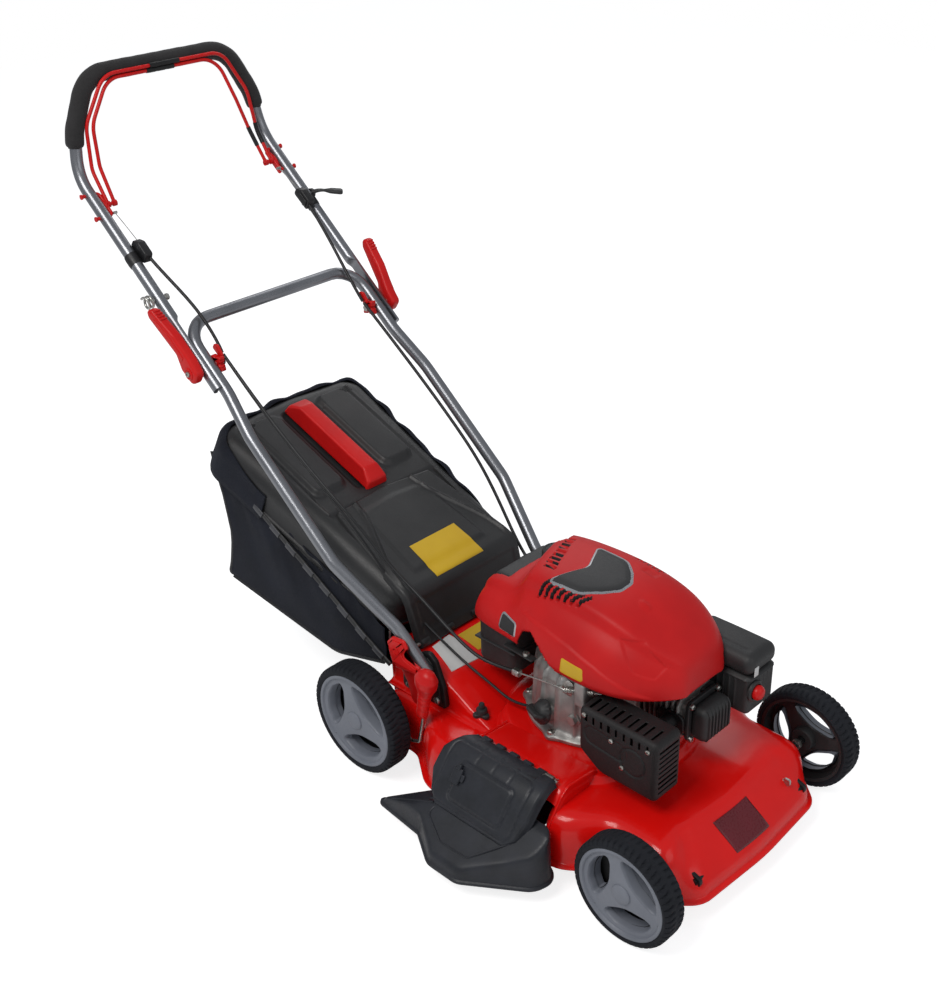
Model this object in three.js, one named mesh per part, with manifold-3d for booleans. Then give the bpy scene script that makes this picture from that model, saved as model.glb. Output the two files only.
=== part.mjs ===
// Petrol push lawn mower with a folding handle, a rear grass box and a side discharge chute.
// Millimetres, +X forwards, +Y to the operator's left, +Z up. Every piece is drawn with x = 0 at the
// rear wheel axle and z = 0 on the ground; the last lines move the origin to the middle of the footprint.
import * as THREE from "three";
import { mergeVertices } from "three/addons/utils/BufferGeometryUtils.js";
import Module from "manifold-3d";

const wasm = await Module();
wasm.setup();

// ---------- driving dimensions ----------

const GAP = 0.4; // clearance between pieces that touch
const MIN_RADIUS = 0.1; // corners tighter than this stay sharp
const SIDES = { right: -1, left: 1 };

const REAR_WHEEL = { x: 0, radius: 101.6, rim: 87, width: 48 };
const FRONT_WHEEL = { x: 580, radius: 90, rim: 78, width: 45 };
const TYRE_FACE_Y = 262; // outer face of the tyres from the middle line
const WHEEL_FACETS = 24;

const CRANK = { back: 51, rise: 21, innerY: 196, outerY: 202, rod: 6 };
const LINK = { dx: -8, dz: 25, y: 104, eye: 6 }; // link pins seen from the crank pivots

const BLADE_AXIS_X = 345;
const DECK = { rearX: -8, lipZ: 38, roofZ: 128, wall: 3, lip: 8, pedestalZ: 152 };
const TUNNEL = { halfWidth: 150, rearX: -12 };
const PORT = { fromX: 236, toX: 420, hingeY: -199, hingeZ: 163 };

const HANDLE_ANGLE = THREE.MathUtils.degToRad(40.7); // slope of both handle halves
const LOOP_ANGLE = THREE.MathUtils.degToRad(83.7); // the grip loop stands nearly upright
const FOLD = { x: -393, z: 627 }; // cross bolts that join the two handle halves
const HANDLE_TUBE = 11;
const UPPER_Y = 206;
const LOWER_Y = { top: 195, middle: 208, foot: 172 };
const LOWER_FOOT_S = -635; // along the handle slope, measured from the fold bolts
const LOOP_START_S = 423;
const LOOP_HEIGHT = 166;
const GRIP_RADIUS = 16.5;

const BAIL_PIVOT_S = 356;
const LID_SLOPE = THREE.MathUtils.degToRad(21.4);

// ---------- finishes ----------

const finish = (color, roughness, metalness) =>
  new THREE.MeshStandardMaterial({ color, roughness, metalness });
const redPaint = finish(0xc3151c, 0.3, 0.2);
const redPlastic = finish(0xc8171c, 0.45, 0);
const blackPlastic = finish(0x1b1b1d, 0.55, 0);
const blackFabric = finish(0x1a1c22, 0.9, 0);
const blackSteel = finish(0x161617, 0.5, 0.6);
const greyPlastic = finish(0x6b6f78, 0.5, 0);
const tyreRubber = finish(0x1d1e20, 0.85, 0);
const foam = finish(0x2a2a2b, 0.95, 0);
const silverPaint = finish(0x8d9094, 0.35, 0.8);
const greyPaint = finish(0x55575a, 0.45, 0.6);
const castAluminium = finish(0xa9abad, 0.5, 0.9);
const steel = finish(0xb5b8bc, 0.35, 0.95);

// ---------- geometry helpers ----------

// A closed three.js geometry as a manifold solid with its faces pointing out.
function solid(geometry) {
  geometry.deleteAttribute("normal");
  geometry.deleteAttribute("uv");
  const merged = mergeVertices(geometry, 1e-4);
  const corners = merged.attributes.position;
  const faces = merged.index.array;
  const [a, b, c] = [new THREE.Vector3(), new THREE.Vector3(), new THREE.Vector3()];
  let volume = 0;
  for (let i = 0; i < faces.length; i += 3) {
    a.fromBufferAttribute(corners, faces[i]);
    b.fromBufferAttribute(corners, faces[i + 1]);
    c.fromBufferAttribute(corners, faces[i + 2]);
    volume += a.dot(b.cross(c));
  }
  const triVerts = new Uint32Array(faces);
  if (volume < 0) {
    for (let i = 0; i < triVerts.length; i += 3) {
      [triVerts[i], triVerts[i + 1]] = [triVerts[i + 1], triVerts[i]];
    }
  }
  const vertProperties = new Float32Array(corners.array);
  return new wasm.Manifold(new wasm.Mesh({ numProp: 3, vertProperties, triVerts }));
}

const join = (first, ...rest) => rest.reduce((sum, next) => sum.add(next), first);
const cut = (first, ...rest) => rest.reduce((left, next) => left.subtract(next), first);

// Mirrors a right-hand piece to the left-hand side.
const onSide = (side, piece) => (side === SIDES.right ? piece : piece.mirror([0, 1, 0]));

const pieces = [];
function addPiece(name, piece, material) {
  const { vertProperties, triVerts } = piece.getMesh();
  const geometry = new THREE.BufferGeometry();
  geometry.setAttribute("position", new THREE.BufferAttribute(new Float32Array(vertProperties), 3));
  geometry.setIndex(new THREE.BufferAttribute(new Uint32Array(triVerts), 1));
  geometry.computeVertexNormals();
  const mesh = new THREE.Mesh(geometry, material);
  mesh.name = name;
  pieces.push(mesh);
}

// A polygon with rounded corners: each point is [x, y] or [x, y, its own corner radius].
function roundedOutline(points, radius, steps = 2) {
  const outline = [];
  points.forEach(([x, y, own], i) => {
    const corner = new THREE.Vector2(x, y);
    const before = new THREE.Vector2(...points.at(i - 1).slice(0, 2)).sub(corner);
    const after = new THREE.Vector2(...points[(i + 1) % points.length].slice(0, 2)).sub(corner);
    const turn = Math.PI - Math.acos(before.dot(after) / before.length() / after.length());
    const side = Math.sign(after.cross(before));
    const room = Math.min(before.length(), after.length()) / 2;
    const r = Math.min(own ?? radius, room / Math.tan(turn / 2));
    if (r < MIN_RADIUS || side === 0) {
      outline.push(corner);
      return;
    }
    const start = corner.clone().addScaledVector(before.normalize(), r * Math.tan(turn / 2));
    const centre = new THREE.Vector2(before.y, -before.x).multiplyScalar(side * r).add(start);
    for (let step = 0; step <= steps; step += 1) {
      outline.push(start.clone().rotateAround(centre, (side * turn * step) / steps));
    }
  });
  return new THREE.Shape(outline);
}

const AXES = { x: new THREE.Vector3(1, 0, 0), y: new THREE.Vector3(0, 1, 0), z: new THREE.Vector3(0, 0, 1) };

// Extrudes an outline drawn in plan (x, y) upwards from one height to another.
function plan(outline, fromZ, toZ) {
  const options = { depth: toZ - fromZ, bevelEnabled: false, curveSegments: 5 };
  return solid(new THREE.ExtrudeGeometry(outline, options).translate(0, 0, fromZ));
}

// Extrudes an outline drawn from the side (x, z) across the machine.
function across(outline, fromY, toY) {
  const geometry = new THREE.ExtrudeGeometry(outline, { depth: toY - fromY, bevelEnabled: false });
  return solid(geometry.rotateX(Math.PI / 2).translate(0, toY, 0));
}

// Extrudes an outline drawn from behind (y, z) along the machine.
function along(outline, fromX, toX) {
  const geometry = new THREE.ExtrudeGeometry(outline, { depth: toX - fromX, bevelEnabled: false });
  geometry.applyMatrix4(new THREE.Matrix4().makeBasis(AXES.y, AXES.z, AXES.x));
  return solid(geometry.translate(fromX, 0, 0));
}

// A plan outline raised to a flat top whose upper edge is rounded like a pressed pan.
function pan(outline, fromZ, toZ, shoulder, { inset = 0, segments = 2 } = {}) {
  const options = {
    depth: toZ - fromZ,
    bevelThickness: shoulder.height,
    bevelSize: shoulder.width,
    bevelOffset: -shoulder.width - inset,
    bevelSegments: segments,
  };
  const geometry = new THREE.ExtrudeGeometry(outline, options);
  geometry.translate(0, 0, fromZ - shoulder.height);
  return solid(geometry).trimByPlane([0, 0, 1], fromZ);
}

function block(fromX, toX, fromY, toY, fromZ, toZ) {
  const geometry = new THREE.BoxGeometry(toX - fromX, toY - fromY, toZ - fromZ);
  return solid(geometry.translate((fromX + toX) / 2, (fromY + toY) / 2, (fromZ + toZ) / 2));
}

const rectangle = (fromX, toX, fromY, toY) => [[fromX, fromY], [toX, fromY], [toX, toY], [fromX, toY]];

// A round bar between two points.
function rod(from, to, radius, sides = 12, endRadius = radius) {
  const start = new THREE.Vector3(...from);
  const direction = new THREE.Vector3(...to).sub(start);
  const geometry = new THREE.CylinderGeometry(endRadius, radius, direction.length(), sides);
  geometry.rotateY(Math.PI / sides);
  const turn = new THREE.Quaternion().setFromUnitVectors(AXES.y, direction.clone().normalize());
  geometry.applyQuaternion(turn);
  const middle = start.addScaledVector(direction, 0.5);
  return solid(geometry.translate(middle.x, middle.y, middle.z));
}

// Turns a profile of [radius, height] points about the vertical axis through (x, y).
function turned(profile, x, y, segments = 18) {
  const points = profile.map(([r, h]) => new THREE.Vector2(r, h));
  return solid(new THREE.LatheGeometry(points, segments).rotateX(Math.PI / 2).translate(x, y, 0));
}

// Turns a profile of [radius, y] points about the axle line through (x, z), one facet facing the ground.
function wheelTurned(profile, x, z, segments = WHEEL_FACETS) {
  const points = profile.map(([r, y]) => new THREE.Vector2(r, y));
  const geometry = new THREE.LatheGeometry(points, segments, Math.PI / segments);
  return solid(geometry.translate(x, 0, z));
}

// A path that runs straight between bends: it passes through its vertices at even parameters.
class BentPath extends THREE.Curve {
  constructor(vertices) {
    super();
    this.vertices = vertices;
  }

  getPoint(t, target = new THREE.Vector3()) {
    const place = t * (this.vertices.length - 1);
    const i = Math.min(Math.floor(place), this.vertices.length - 2);
    return target.lerpVectors(this.vertices[i], this.vertices[i + 1], place - i);
  }

  getUtoTmapping(u) {
    return u;
  }
}

// The vertices of a path with its inner corners rounded: each point is [x, y, z] or [x, y, z, bend radius].
function bentVertices(points, radius, bendSteps) {
  const vertices = [new THREE.Vector3(...points[0].slice(0, 3))];
  for (let i = 1; i < points.length - 1; i += 1) {
    const corner = new THREE.Vector3(...points[i].slice(0, 3));
    const before = new THREE.Vector3(...points[i - 1].slice(0, 3)).sub(corner);
    const after = new THREE.Vector3(...points[i + 1].slice(0, 3)).sub(corner);
    const halfAngle = before.angleTo(after) / 2;
    const wanted = (points[i][3] ?? radius) / Math.tan(halfAngle);
    const reach = Math.min(wanted, before.length() * 0.5, after.length() * 0.5);
    const start = corner.clone().addScaledVector(before.normalize(), reach);
    const end = corner.clone().addScaledVector(after.normalize(), reach);
    const bend = new THREE.QuadraticBezierCurve3(start, corner, end);
    vertices.push(...bend.getPoints(bendSteps));
  }
  vertices.push(new THREE.Vector3(...points.at(-1).slice(0, 3)));
  return vertices;
}

// A round bar or tube swept along a bent path.
function bentBar(points, barRadius, { bend = 20, sides = 10, bendSteps = 4 } = {}) {
  const path = new BentPath(bentVertices(points, bend, bendSteps));
  const corners = Array.from({ length: sides }, (_, i) => {
    const angle = (2 * Math.PI * i) / sides;
    return new THREE.Vector2(barRadius * Math.cos(angle), barRadius * Math.sin(angle));
  });
  const section = new THREE.Shape(corners);
  const steps = path.vertices.length - 1;
  return solid(new THREE.ExtrudeGeometry(section, { steps, extrudePath: path, bevelEnabled: false }));
}

// A point on the sloping handle: s along the slope up from the fold bolts, y across, lift square to it.
function onHandle(s, y, lift = 0) {
  const [cos, sin] = [Math.cos(HANDLE_ANGLE), Math.sin(HANDLE_ANGLE)];
  return [FOLD.x - s * cos + lift * sin, y, FOLD.z + s * sin + lift * cos];
}

// A point on the upright grip loop: up its slope from where the handle bends, y across, forward of it.
function onLoop(up, y, forward = 0) {
  const [cos, sin] = [Math.cos(LOOP_ANGLE), Math.sin(LOOP_ANGLE)];
  const [x, , z] = onHandle(LOOP_START_S, 0);
  return [x - up * cos + forward * sin, y, z + up * sin + forward * cos];
}

// ---------- deck ----------

const HOUSING_PLAN = [
  [95, -196], [160, -236], [440, -236], [506, -196], [506, 196], [440, 236], [160, 236], [95, 196],
];
const BODY_PLAN = [
  [-80, -186, 0], [598, -186, 60], [648, -128, 60], [667, 0, 300], [648, 128, 60], [598, 186, 60], [-80, 186, 0],
];

// The lip is flat outside, rolls in above and below, and overlaps the wall it grows from.
const LIP = { flat: 1.5, roll: 2.5, overlap: 1, rootRise: 1.2 };

// The pressed steel deck as one solid form, smaller all round by the inset.
function deckForm(inset) {
  const roof = DECK.roofZ - inset;
  const floor = inset ? 0 : DECK.lipZ + LIP.rootRise;
  const front = [[DECK.rearX, floor], [DECK.rearX, roof], [588, roof, 60], [638, 96, 60], [664 - inset, 46, 30]];
  front.push([668 - inset, floor]);
  const body = pan(roundedOutline(BODY_PLAN, 0), floor, roof, { width: 40, height: 46 }, { inset });
  const tunnel = [[215, 40], [215, 134 - inset], [120, 176 - inset], [40, 203 - inset]];
  tunnel.push([TUNNEL.rearX - inset * 5, 196 - inset], [TUNNEL.rearX - inset * 5, inset ? 62 : 40]);
  const tunnelHalf = TUNNEL.halfWidth - inset;
  const port = [
    [-100, 60], [-100, 150 - inset], [-188 + inset, 158 - inset], [-206 + inset, 148 - inset],
    [-241 + inset, 104], [-241 + inset, 60],
  ];
  const pedestal = [[0, 60], [190 - inset, 60], [190 - inset, 124 - inset]];
  pedestal.push([154 - inset, DECK.pedestalZ - inset], [0, DECK.pedestalZ - inset]);
  return join(
    pan(roundedOutline(HOUSING_PLAN, 60), floor, roof, { width: 38, height: 48 }, { inset }),
    body.intersect(across(roundedOutline(front, 0), -200, 200)),
    across(roundedOutline(tunnel, 0), -tunnelHalf, tunnelHalf),
    along(roundedOutline(port, 0), PORT.fromX + inset, PORT.toX - inset),
    turned(pedestal, BLADE_AXIS_X, 0, 24),
  );
}

// The rolled lip that stiffens the lower edge.
function deckLip() {
  const rolled = (outline) => {
    const { flat, roll, overlap } = LIP;
    const options = { depth: flat, bevelThickness: roll, bevelSize: DECK.lip + overlap, bevelSegments: 1 };
    options.bevelOffset = -overlap;
    return solid(new THREE.ExtrudeGeometry(outline, options).translate(0, 0, DECK.lipZ + roll));
  };
  return join(rolled(roundedOutline(HOUSING_PLAN, 60)), rolled(roundedOutline(BODY_PLAN, 0)).trimByPlane([1, 0, 0], DECK.rearX));
}

function deckShell() {
  const { fromX, toX, hingeY, hingeZ } = PORT;
  const mouth = block(fromX + 16, toX - 16, -300, -195, 50, 138);
  const crankshaftHole = rod([BLADE_AXIS_X, 0, 100], [BLADE_AXIS_X, 0, 200], 40, 24);
  const axleSlots = [REAR_WHEEL, FRONT_WHEEL].map((wheel) => {
    const { x, z } = crankPivot(wheel);
    const drop = wheel === REAR_WHEEL ? 32 : 12;
    const slot = across(roundedOutline(rectangle(x - 22, x + 22, z - drop, z + 12), 0), -230, -130);
    return join(slot, slot.mirror([0, 1, 0]));
  });
  const hingeLugs = [fromX + 6, toX - 16].map((x) =>
    across(roundedOutline([[x, 150], [x + 10, 150], [x + 10, hingeZ + 4], [x, hingeZ + 4]], 0), hingeY - 3, hingeY + 6),
  );
  const hingePin = rod([fromX + 8, hingeY, hingeZ], [toX - 8, hingeY, hingeZ], 2, 8);
  const shell = cut(join(deckForm(0), deckLip()), deckForm(DECK.wall), mouth, crankshaftHole, ...axleSlots);
  return join(shell, ...hingeLugs, hingePin);
}

// ---------- running gear ----------

const axleHeight = (wheel) => wheel.radius * Math.cos(Math.PI / WHEEL_FACETS);

// The cranks turn here when the cutting height is changed; the wheels sit behind and above.
function crankPivot(wheel) {
  return { x: wheel.x + CRANK.back, z: axleHeight(wheel) - CRANK.rise };
}

// A flat crank arm with the stub that carries one wheel.
function crankArm(wheel, side) {
  const pivot = crankPivot(wheel);
  const z = axleHeight(wheel);
  const arm = across(
    roundedOutline([
      [pivot.x + 13, pivot.z + 7], [pivot.x + 4, pivot.z + 14], [wheel.x - 8, z + 13], [wheel.x - 14, z],
      [wheel.x - 6, z - 12], [pivot.x - 6, pivot.z - 13], [pivot.x + 11, pivot.z - 9],
    ], 0),
    -CRANK.outerY,
    -CRANK.innerY,
  );
  const stub = rod([wheel.x, -CRANK.innerY - 1, z], [wheel.x, -TYRE_FACE_Y + 10, z], CRANK.rod, 8);
  return onSide(side, join(arm, stub));
}

const linkHead = (x, z) => [
  [x + LINK.dx + LINK.eye, z + LINK.dz + LINK.eye],
  [x + LINK.dx - LINK.eye, z + LINK.dz + LINK.eye],
];
const linkLever = (outline) => across(outline, LINK.y, LINK.y + 5);

function frontAxle() {
  const { x, z } = crankPivot(FRONT_WHEEL);
  const bar = rod([x, -CRANK.outerY, z], [x, CRANK.outerY, z], CRANK.rod, 12);
  const linkArm = linkLever(roundedOutline([[x - 8, z - 8], [x + 8, z - 8], ...linkHead(x, z)], 3));
  return join(crankArm(FRONT_WHEEL, SIDES.right), crankArm(FRONT_WHEEL, SIDES.left), bar, linkArm);
}

function rearAxle() {
  const { x, z } = crankPivot(REAR_WHEEL);
  const bearing = rod([x, -CRANK.outerY, z], [x, CRANK.outerY, z], 5.6, 12);
  const tie = block(x - 18, x - 2, -CRANK.outerY, CRANK.outerY, z - 26, z - 21);
  const tieEar = (side) => {
    const outline = roundedOutline([[x + 11, z - 4], [x - 2, z - 26], [x - 18, z - 26], [x - 14, z + 2]], 0);
    return onSide(side, across(outline, -CRANK.outerY, -CRANK.innerY));
  };
  const linkArm = linkLever(roundedOutline([[x - 18, z - 26], [x - 4, z - 26], ...linkHead(x, z)], 3));
  const arms = join(crankArm(REAR_WHEEL, SIDES.right), crankArm(REAR_WHEEL, SIDES.left));
  const tied = join(arms, tieEar(SIDES.right), tieEar(SIDES.left), tie, linkArm);
  return cut(tied, bearing);
}

function heightLink() {
  const ends = [REAR_WHEEL, FRONT_WHEEL].map((wheel) => {
    const pivot = crankPivot(wheel);
    return { x: pivot.x + LINK.dx, z: pivot.z + LINK.dz };
  });
  const [fromY, toY] = [LINK.y + 5 + GAP, LINK.y + 9 + GAP];
  const [rear, front] = ends;
  const bar = rod([rear.x, (fromY + toY) / 2, rear.z], [front.x, (fromY + toY) / 2, front.z], 2, 8);
  const eye = ({ x, z }) => across(roundedOutline(rectangle(x - 6, x + 6, z - 6, z + 6), 3), fromY, toY);
  return join(bar, eye(rear), eye(front));
}

function driveShaft() {
  const { x, z } = crankPivot(REAR_WHEEL);
  return rod([x, -208, z], [x, 208, z], 5, 10);
}

function gearbox() {
  const { x, z } = crankPivot(REAR_WHEEL);
  const outline = roundedOutline([[x - 26, z - 14], [x + 30, z - 14], [x + 40, z + 22], [x - 20, z + 30]], 10);
  const housing = across(outline, -32, 32);
  const neck = rod([x + 24, 0, z], [x + 24, 0, z + 31], 13, 12);
  return cut(join(housing, neck), rod([x, -60, z], [x, 60, z], 5.5, 12));
}

const PULLEY = { x: 75, z: 117, radius: 30 };
const ENGINE_PULLEY_RADIUS = 24;

function pulley(x, z, radius, bore) {
  const profile = [[bore, z - 7], [radius, z - 7], [radius - 5, z - 2], [radius - 5, z + 2], [radius, z + 7]];
  profile.push([bore, z + 7], [bore, z - 7]);
  return turned(profile, x, 0);
}

// A V belt around two pulleys of different size, as a closed band.
function driveBelt() {
  const loop = (grow) => {
    const [small, large] = [ENGINE_PULLEY_RADIUS - 5 + GAP + grow, PULLEY.radius - 5 + GAP + grow];
    const tilt = Math.asin((large - small) / (BLADE_AXIS_X - PULLEY.x));
    const shape = new THREE.Shape();
    shape.absarc(PULLEY.x, 0, large, Math.PI / 2 - tilt, -Math.PI / 2 + tilt, false);
    shape.absarc(BLADE_AXIS_X, 0, small, -Math.PI / 2 + tilt, Math.PI / 2 - tilt, false);
    return shape;
  };
  return cut(plan(loop(6), PULLEY.z - 1.6, PULLEY.z + 1.6), plan(loop(0), PULLEY.z - 9, PULLEY.z + 9));
}

function tyre(wheel, side) {
  const { radius, rim, width, x } = wheel;
  const outer = -TYRE_FACE_Y;
  const inner = outer + width;
  const profile = [
    [rim, outer + 4], [rim + 5, outer], [radius - 4, outer + 2], [radius, outer + 8], [radius, inner - 8],
    [radius - 5, inner], [rim, inner - 4], [rim, outer + 4],
  ];
  return onSide(side, wheelTurned(profile, x, axleHeight(wheel)));
}

// The hub: a rim, a dished disc pierced by three windows, and a boss on the stub axle.
function hub(wheel, side) {
  const { rim, width, x } = wheel;
  const z = axleHeight(wheel);
  const outer = -TYRE_FACE_Y;
  const inner = outer + width;
  const edge = rim - GAP;
  const bore = CRANK.rod + 0.4;
  const profile = [
    [bore, outer + 9], [edge - 12, outer + 11], [edge - 7, outer + 2], [edge, outer + 3], [edge, inner - 4],
    [edge - 6, inner - 4], [edge - 9, outer + 19], [20, outer + 19], [18, inner - 3], [bore, inner - 3],
    [bore, outer + 9],
  ];
  const disc = wheelTurned(profile, x, z);
  const windows = [0, 1, 2].map((i) => {
    const turn = (i * 2 * Math.PI) / 3 + Math.PI / 6;
    const [low, high, half] = [rim * 0.45, rim * 0.8, 0.62];
    const corner = (r, angle) => [x + r * Math.sin(turn + angle), z + r * Math.cos(turn + angle)];
    const points = [corner(low, -0.35), corner(high, -half), corner(high, half), corner(low, 0.35)];
    return across(roundedOutline(points, rim * 0.14, 1), outer - 5, inner + 5);
  });
  const capped = join(cut(disc, ...windows), rod([x, outer + 9.2, z], [x, outer + 6, z], 14, 12, 11));
  return onSide(side, capped);
}

// Steel height lever standing on the right crank, and its broad moulded grip.
const LEVER = { y: -201.5, halfGrip: 9, rod: 3.2, gripX: 119, gripZ: 150 };

function leverRod(radius) {
  const pivot = crankPivot(REAR_WHEEL);
  const at = (x, z) => [x, LEVER.y, z];
  const path = [at(pivot.x + 14, pivot.z + 2), at(80, 70), at(102, 78), at(113, 128), at(121, 192)];
  return bentBar(path, radius, { bend: 14, sides: 8, bendSteps: 3 });
}

function heightGrip() {
  const { gripX: x, gripZ: z, y, halfGrip } = LEVER;
  const outline = roundedOutline([
    [x - 13, z - 12], [x + 9, z - 14], [x + 15, z + 30], [x + 22, z + 72], [x + 8, z + 88], [x - 12, z + 86],
    [x - 20, z + 70], [x - 14, z + 30],
  ], 9);
  return cut(across(outline, y - halfGrip, y + halfGrip), leverRod(LEVER.rod + GAP));
}

// ---------- side discharge ----------

// The deflector as one solid form: its plan outline under a roof that slopes away from the deck.
function chuteForm(inset) {
  const inner = -243;
  const outline = roundedOutline([
    [250 + inset, inner + (inset ? 9 : 0)], [414 - inset, inner + (inset ? 9 : 0)], [432 - inset, -262],
    [424 - inset, -292 + inset], [345, -362 + inset, 26], [284 + inset, -362 + inset, 26],
    [226 + inset, -326 + inset, 18], [130 + inset * 3, -318 + inset, 6], [122 + inset * 3, -311 - inset, 4],
  ], 14);
  const roof = roundedOutline([
    [-225, inset ? 10 : 30], [-225, 132 - inset], [-262, 118 - inset], [-312, 82 - inset],
    [-366 + inset, 52 - inset], [-366 + inset, inset ? 10 : 30],
  ], 8);
  return plan(outline, inset ? 10 : 30, 160).intersect(along(roof, 100, 450));
}

function sideChute() {
  return cut(chuteForm(0), chuteForm(3), block(245, 420, -246, -230, 20, 122));
}

// The sprung cover over the discharge port, hinged along its top edge.
function sideFlap() {
  const { fromX, toX, hingeY, hingeZ } = PORT;
  const reach = 128;
  const drop = Math.atan2(72, 108);
  const outline = roundedOutline([
    [fromX, 4], [toX, 4], [toX + 12, 70, 60], [toX - 4, reach, 30], [fromX - 26, reach, 18], [fromX - 34, 64, 60],
  ], 8);
  const options = { depth: 2.5, bevelThickness: 4, bevelSize: 6, bevelOffset: -6, bevelSegments: 2 };
  const lay = new THREE.Matrix4().makeBasis(
    AXES.x,
    new THREE.Vector3(0, -Math.cos(drop), -Math.sin(drop)),
    new THREE.Vector3(0, -Math.sin(drop), Math.cos(drop)).negate(),
  );
  const geometry = new THREE.ExtrudeGeometry(outline, options).translate(0, 0, -4);
  geometry.applyMatrix4(lay).translate(0, hingeY, hingeZ);
  const pin = [[fromX, hingeY, hingeZ], [toX, hingeY, hingeZ]];
  const barrel = rod([fromX + 20, hingeY, hingeZ], [toX - 20, hingeY, hingeZ], 5, 10);
  const lugSlots = [fromX + 2, toX - 20].map((x) => block(x, x + 18, hingeY - 12, hingeY + 12, hingeZ - 30, hingeZ + 12));
  return cut(join(cut(solid(geometry), ...lugSlots), barrel), rod(...pin, 2.6, 8));
}

// ---------- engine ----------

const ENGINE_BASE = DECK.pedestalZ + GAP;

function crankcase() {
  const x = BLADE_AXIS_X;
  const z = ENGINE_BASE;
  const profile = [[24, z], [114, z], [114, z + 9], [97, z + 13], [94, z + 62], [86, z + 78], [24, z + 78], [24, z]];
  const case_ = turned(profile, x, 0, 24);
  const barrel = block(x + 55, x + 128, -44, 44, z + 20, z + 92);
  const fillerBoss = rod([x - 28, -70, z + 26], [x - 42, -108, z + 40], 17, 14);
  return cut(join(case_, barrel, fillerBoss), rod([x, 0, z - 5], [x, 0, z + 120], 24.5, 24));
}

function oilCap() {
  const x = BLADE_AXIS_X;
  const z = ENGINE_BASE;
  const direction = new THREE.Vector3(-14, -38, 14).normalize();
  const at = (d) => [x - 42 + direction.x * d, -108 + direction.y * d, z + 40 + direction.z * d];
  return join(rod(at(GAP), at(9), 17, 14), rod(at(8), at(24), 8, 10), block(x - 64, x - 40, -136, -127, z + 42, z + 55));
}

// Cooling fins stacked up the cylinder head.
function cylinderHead() {
  const [fromX, toX] = [BLADE_AXIS_X + 128 + GAP, BLADE_AXIS_X + 182];
  const z = ENGINE_BASE + 12;
  const [pitch, fins, half, thick] = [12, 6, 54, 5];
  const top = z + (fins - 1) * pitch + thick;
  const stack = [block(fromX, toX, -half + 14, half - 14, z, top)];
  for (let i = 0; i < fins; i += 1) stack.push(block(fromX, toX, -half, half, z + i * pitch, z + i * pitch + thick));
  return join(...stack);
}

function valveCover() {
  const fromX = BLADE_AXIS_X + 182 + GAP;
  const z = ENGINE_BASE + 16;
  const outline = roundedOutline(rectangle(-42, 42, z, z + 58), 14);
  return join(along(outline, fromX, fromX + 22), along(roundedOutline(rectangle(-36, 36, z + 6, z + 52), 12), fromX + 21, fromX + 36));
}

// The louvred guard over the silencer beside the cylinder head.
const MUFFLER = { fromX: 398, toX: 562, fromY: -206, toY: -100, fromZ: 158, toZ: 262 };

function mufflerGuard() {
  const { fromX, toX, fromY, toY, fromZ, toZ } = MUFFLER;
  const form = (inset) => {
    const side = roundedOutline([
      [fromX + inset, toZ - inset, 12], [toX - inset, toZ - 14 - inset, 16], [toX - inset, fromZ + inset, 20],
      [toX - 60, fromZ - 4 + inset, 20], [fromX + inset, fromZ + 34 + inset, 30],
    ], 12);
    const open = inset ? 40 : 0;
    return across(side, fromY + inset, toY + open);
  };
  const pitch = 11;
  const sideSlots = [];
  for (let i = 0; i < 9; i += 1) {
    const x = fromX + 24 + i * pitch * 1.15;
    sideSlots.push(block(x, x + 6, fromY - 5, fromY + 20, toZ - 44, toZ - 24));
  }
  const endSlots = [];
  for (let i = 0; i < 6; i += 1) {
    const z = fromZ + 26 + i * pitch;
    endSlots.push(block(toX - 20, toX + 5, fromY + 18, toY - 18, z, z + 5));
  }
  return cut(form(0), form(3), ...sideSlots, ...endSlots);
}

// The engine cover: a side profile and a plan outline meet in one crowned form.
function shroudForm(inset) {
  const low = inset ? 180 : 228;
  const profile = roundedOutline([
    [128 + inset, low], [128 + inset, 306, 10], [150 + inset, 336 - inset, 20], [214, 356 - inset, 30],
    [240, 396 - inset, 24], [330, 412 - inset, 40], [404, 402 - inset, 60], [500, 340 - inset, 60],
    [548 - inset, 282 - inset, 30], [548 - inset, low],
  ], 10);
  const outline = roundedOutline([
    [128 + inset, -84 + inset, 0], [236, -98 + inset, 70], [300, -128 + inset, 80], [456, -132 + inset, 70],
    [548 - inset, -76 + inset, 70], [552 - inset, 60 - inset, 70], [466, 124 - inset, 80], [250, 128 - inset, 80],
    [128 + inset, 92 - inset, 0],
  ], 0);
  const crowned = pan(outline, low, 412 - inset, { width: 52, height: 96 }, { segments: 4 });
  return across(profile, -200, 200).intersect(crowned);
}

const ROPE = { y: 30, z: 296 };
const FUEL_NECK = { x: 178, y: 62, topZ: 352 };

function engineShroud() {
  const nearArch = across(roundedOutline([[222, 180], [222, 262], [246, 292], [282, 286], [352, 244], [380, 180]], 12), -200, 0);
  const rearTrim = block(100, 226, -200, 200, 180, 262);
  const headTrim = across(roundedOutline([[378, 180], [378, 246], [470, 246], [560, 262], [560, 180]], 0), -200, 200);
  const mufflerTrim = block(384, 600, -200, -70, 180, 268);
  const farTrim = block(200, 400, 0, 200, 180, 256);
  const filterTrim = block(486, 620, 16, 200, 180, 336);
  const neckHole = rod([FUEL_NECK.x, FUEL_NECK.y, 200], [FUEL_NECK.x, FUEL_NECK.y, 420], 24, 20);
  const ropeHole = rod([100, ROPE.y, ROPE.z], [200, ROPE.y, ROPE.z], 5, 10);
  const trims = [nearArch, rearTrim, headTrim, mufflerTrim, farTrim, filterTrim, neckHole, ropeHole];
  return cut(shroudForm(0), shroudForm(3), ...trims);
}

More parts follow.
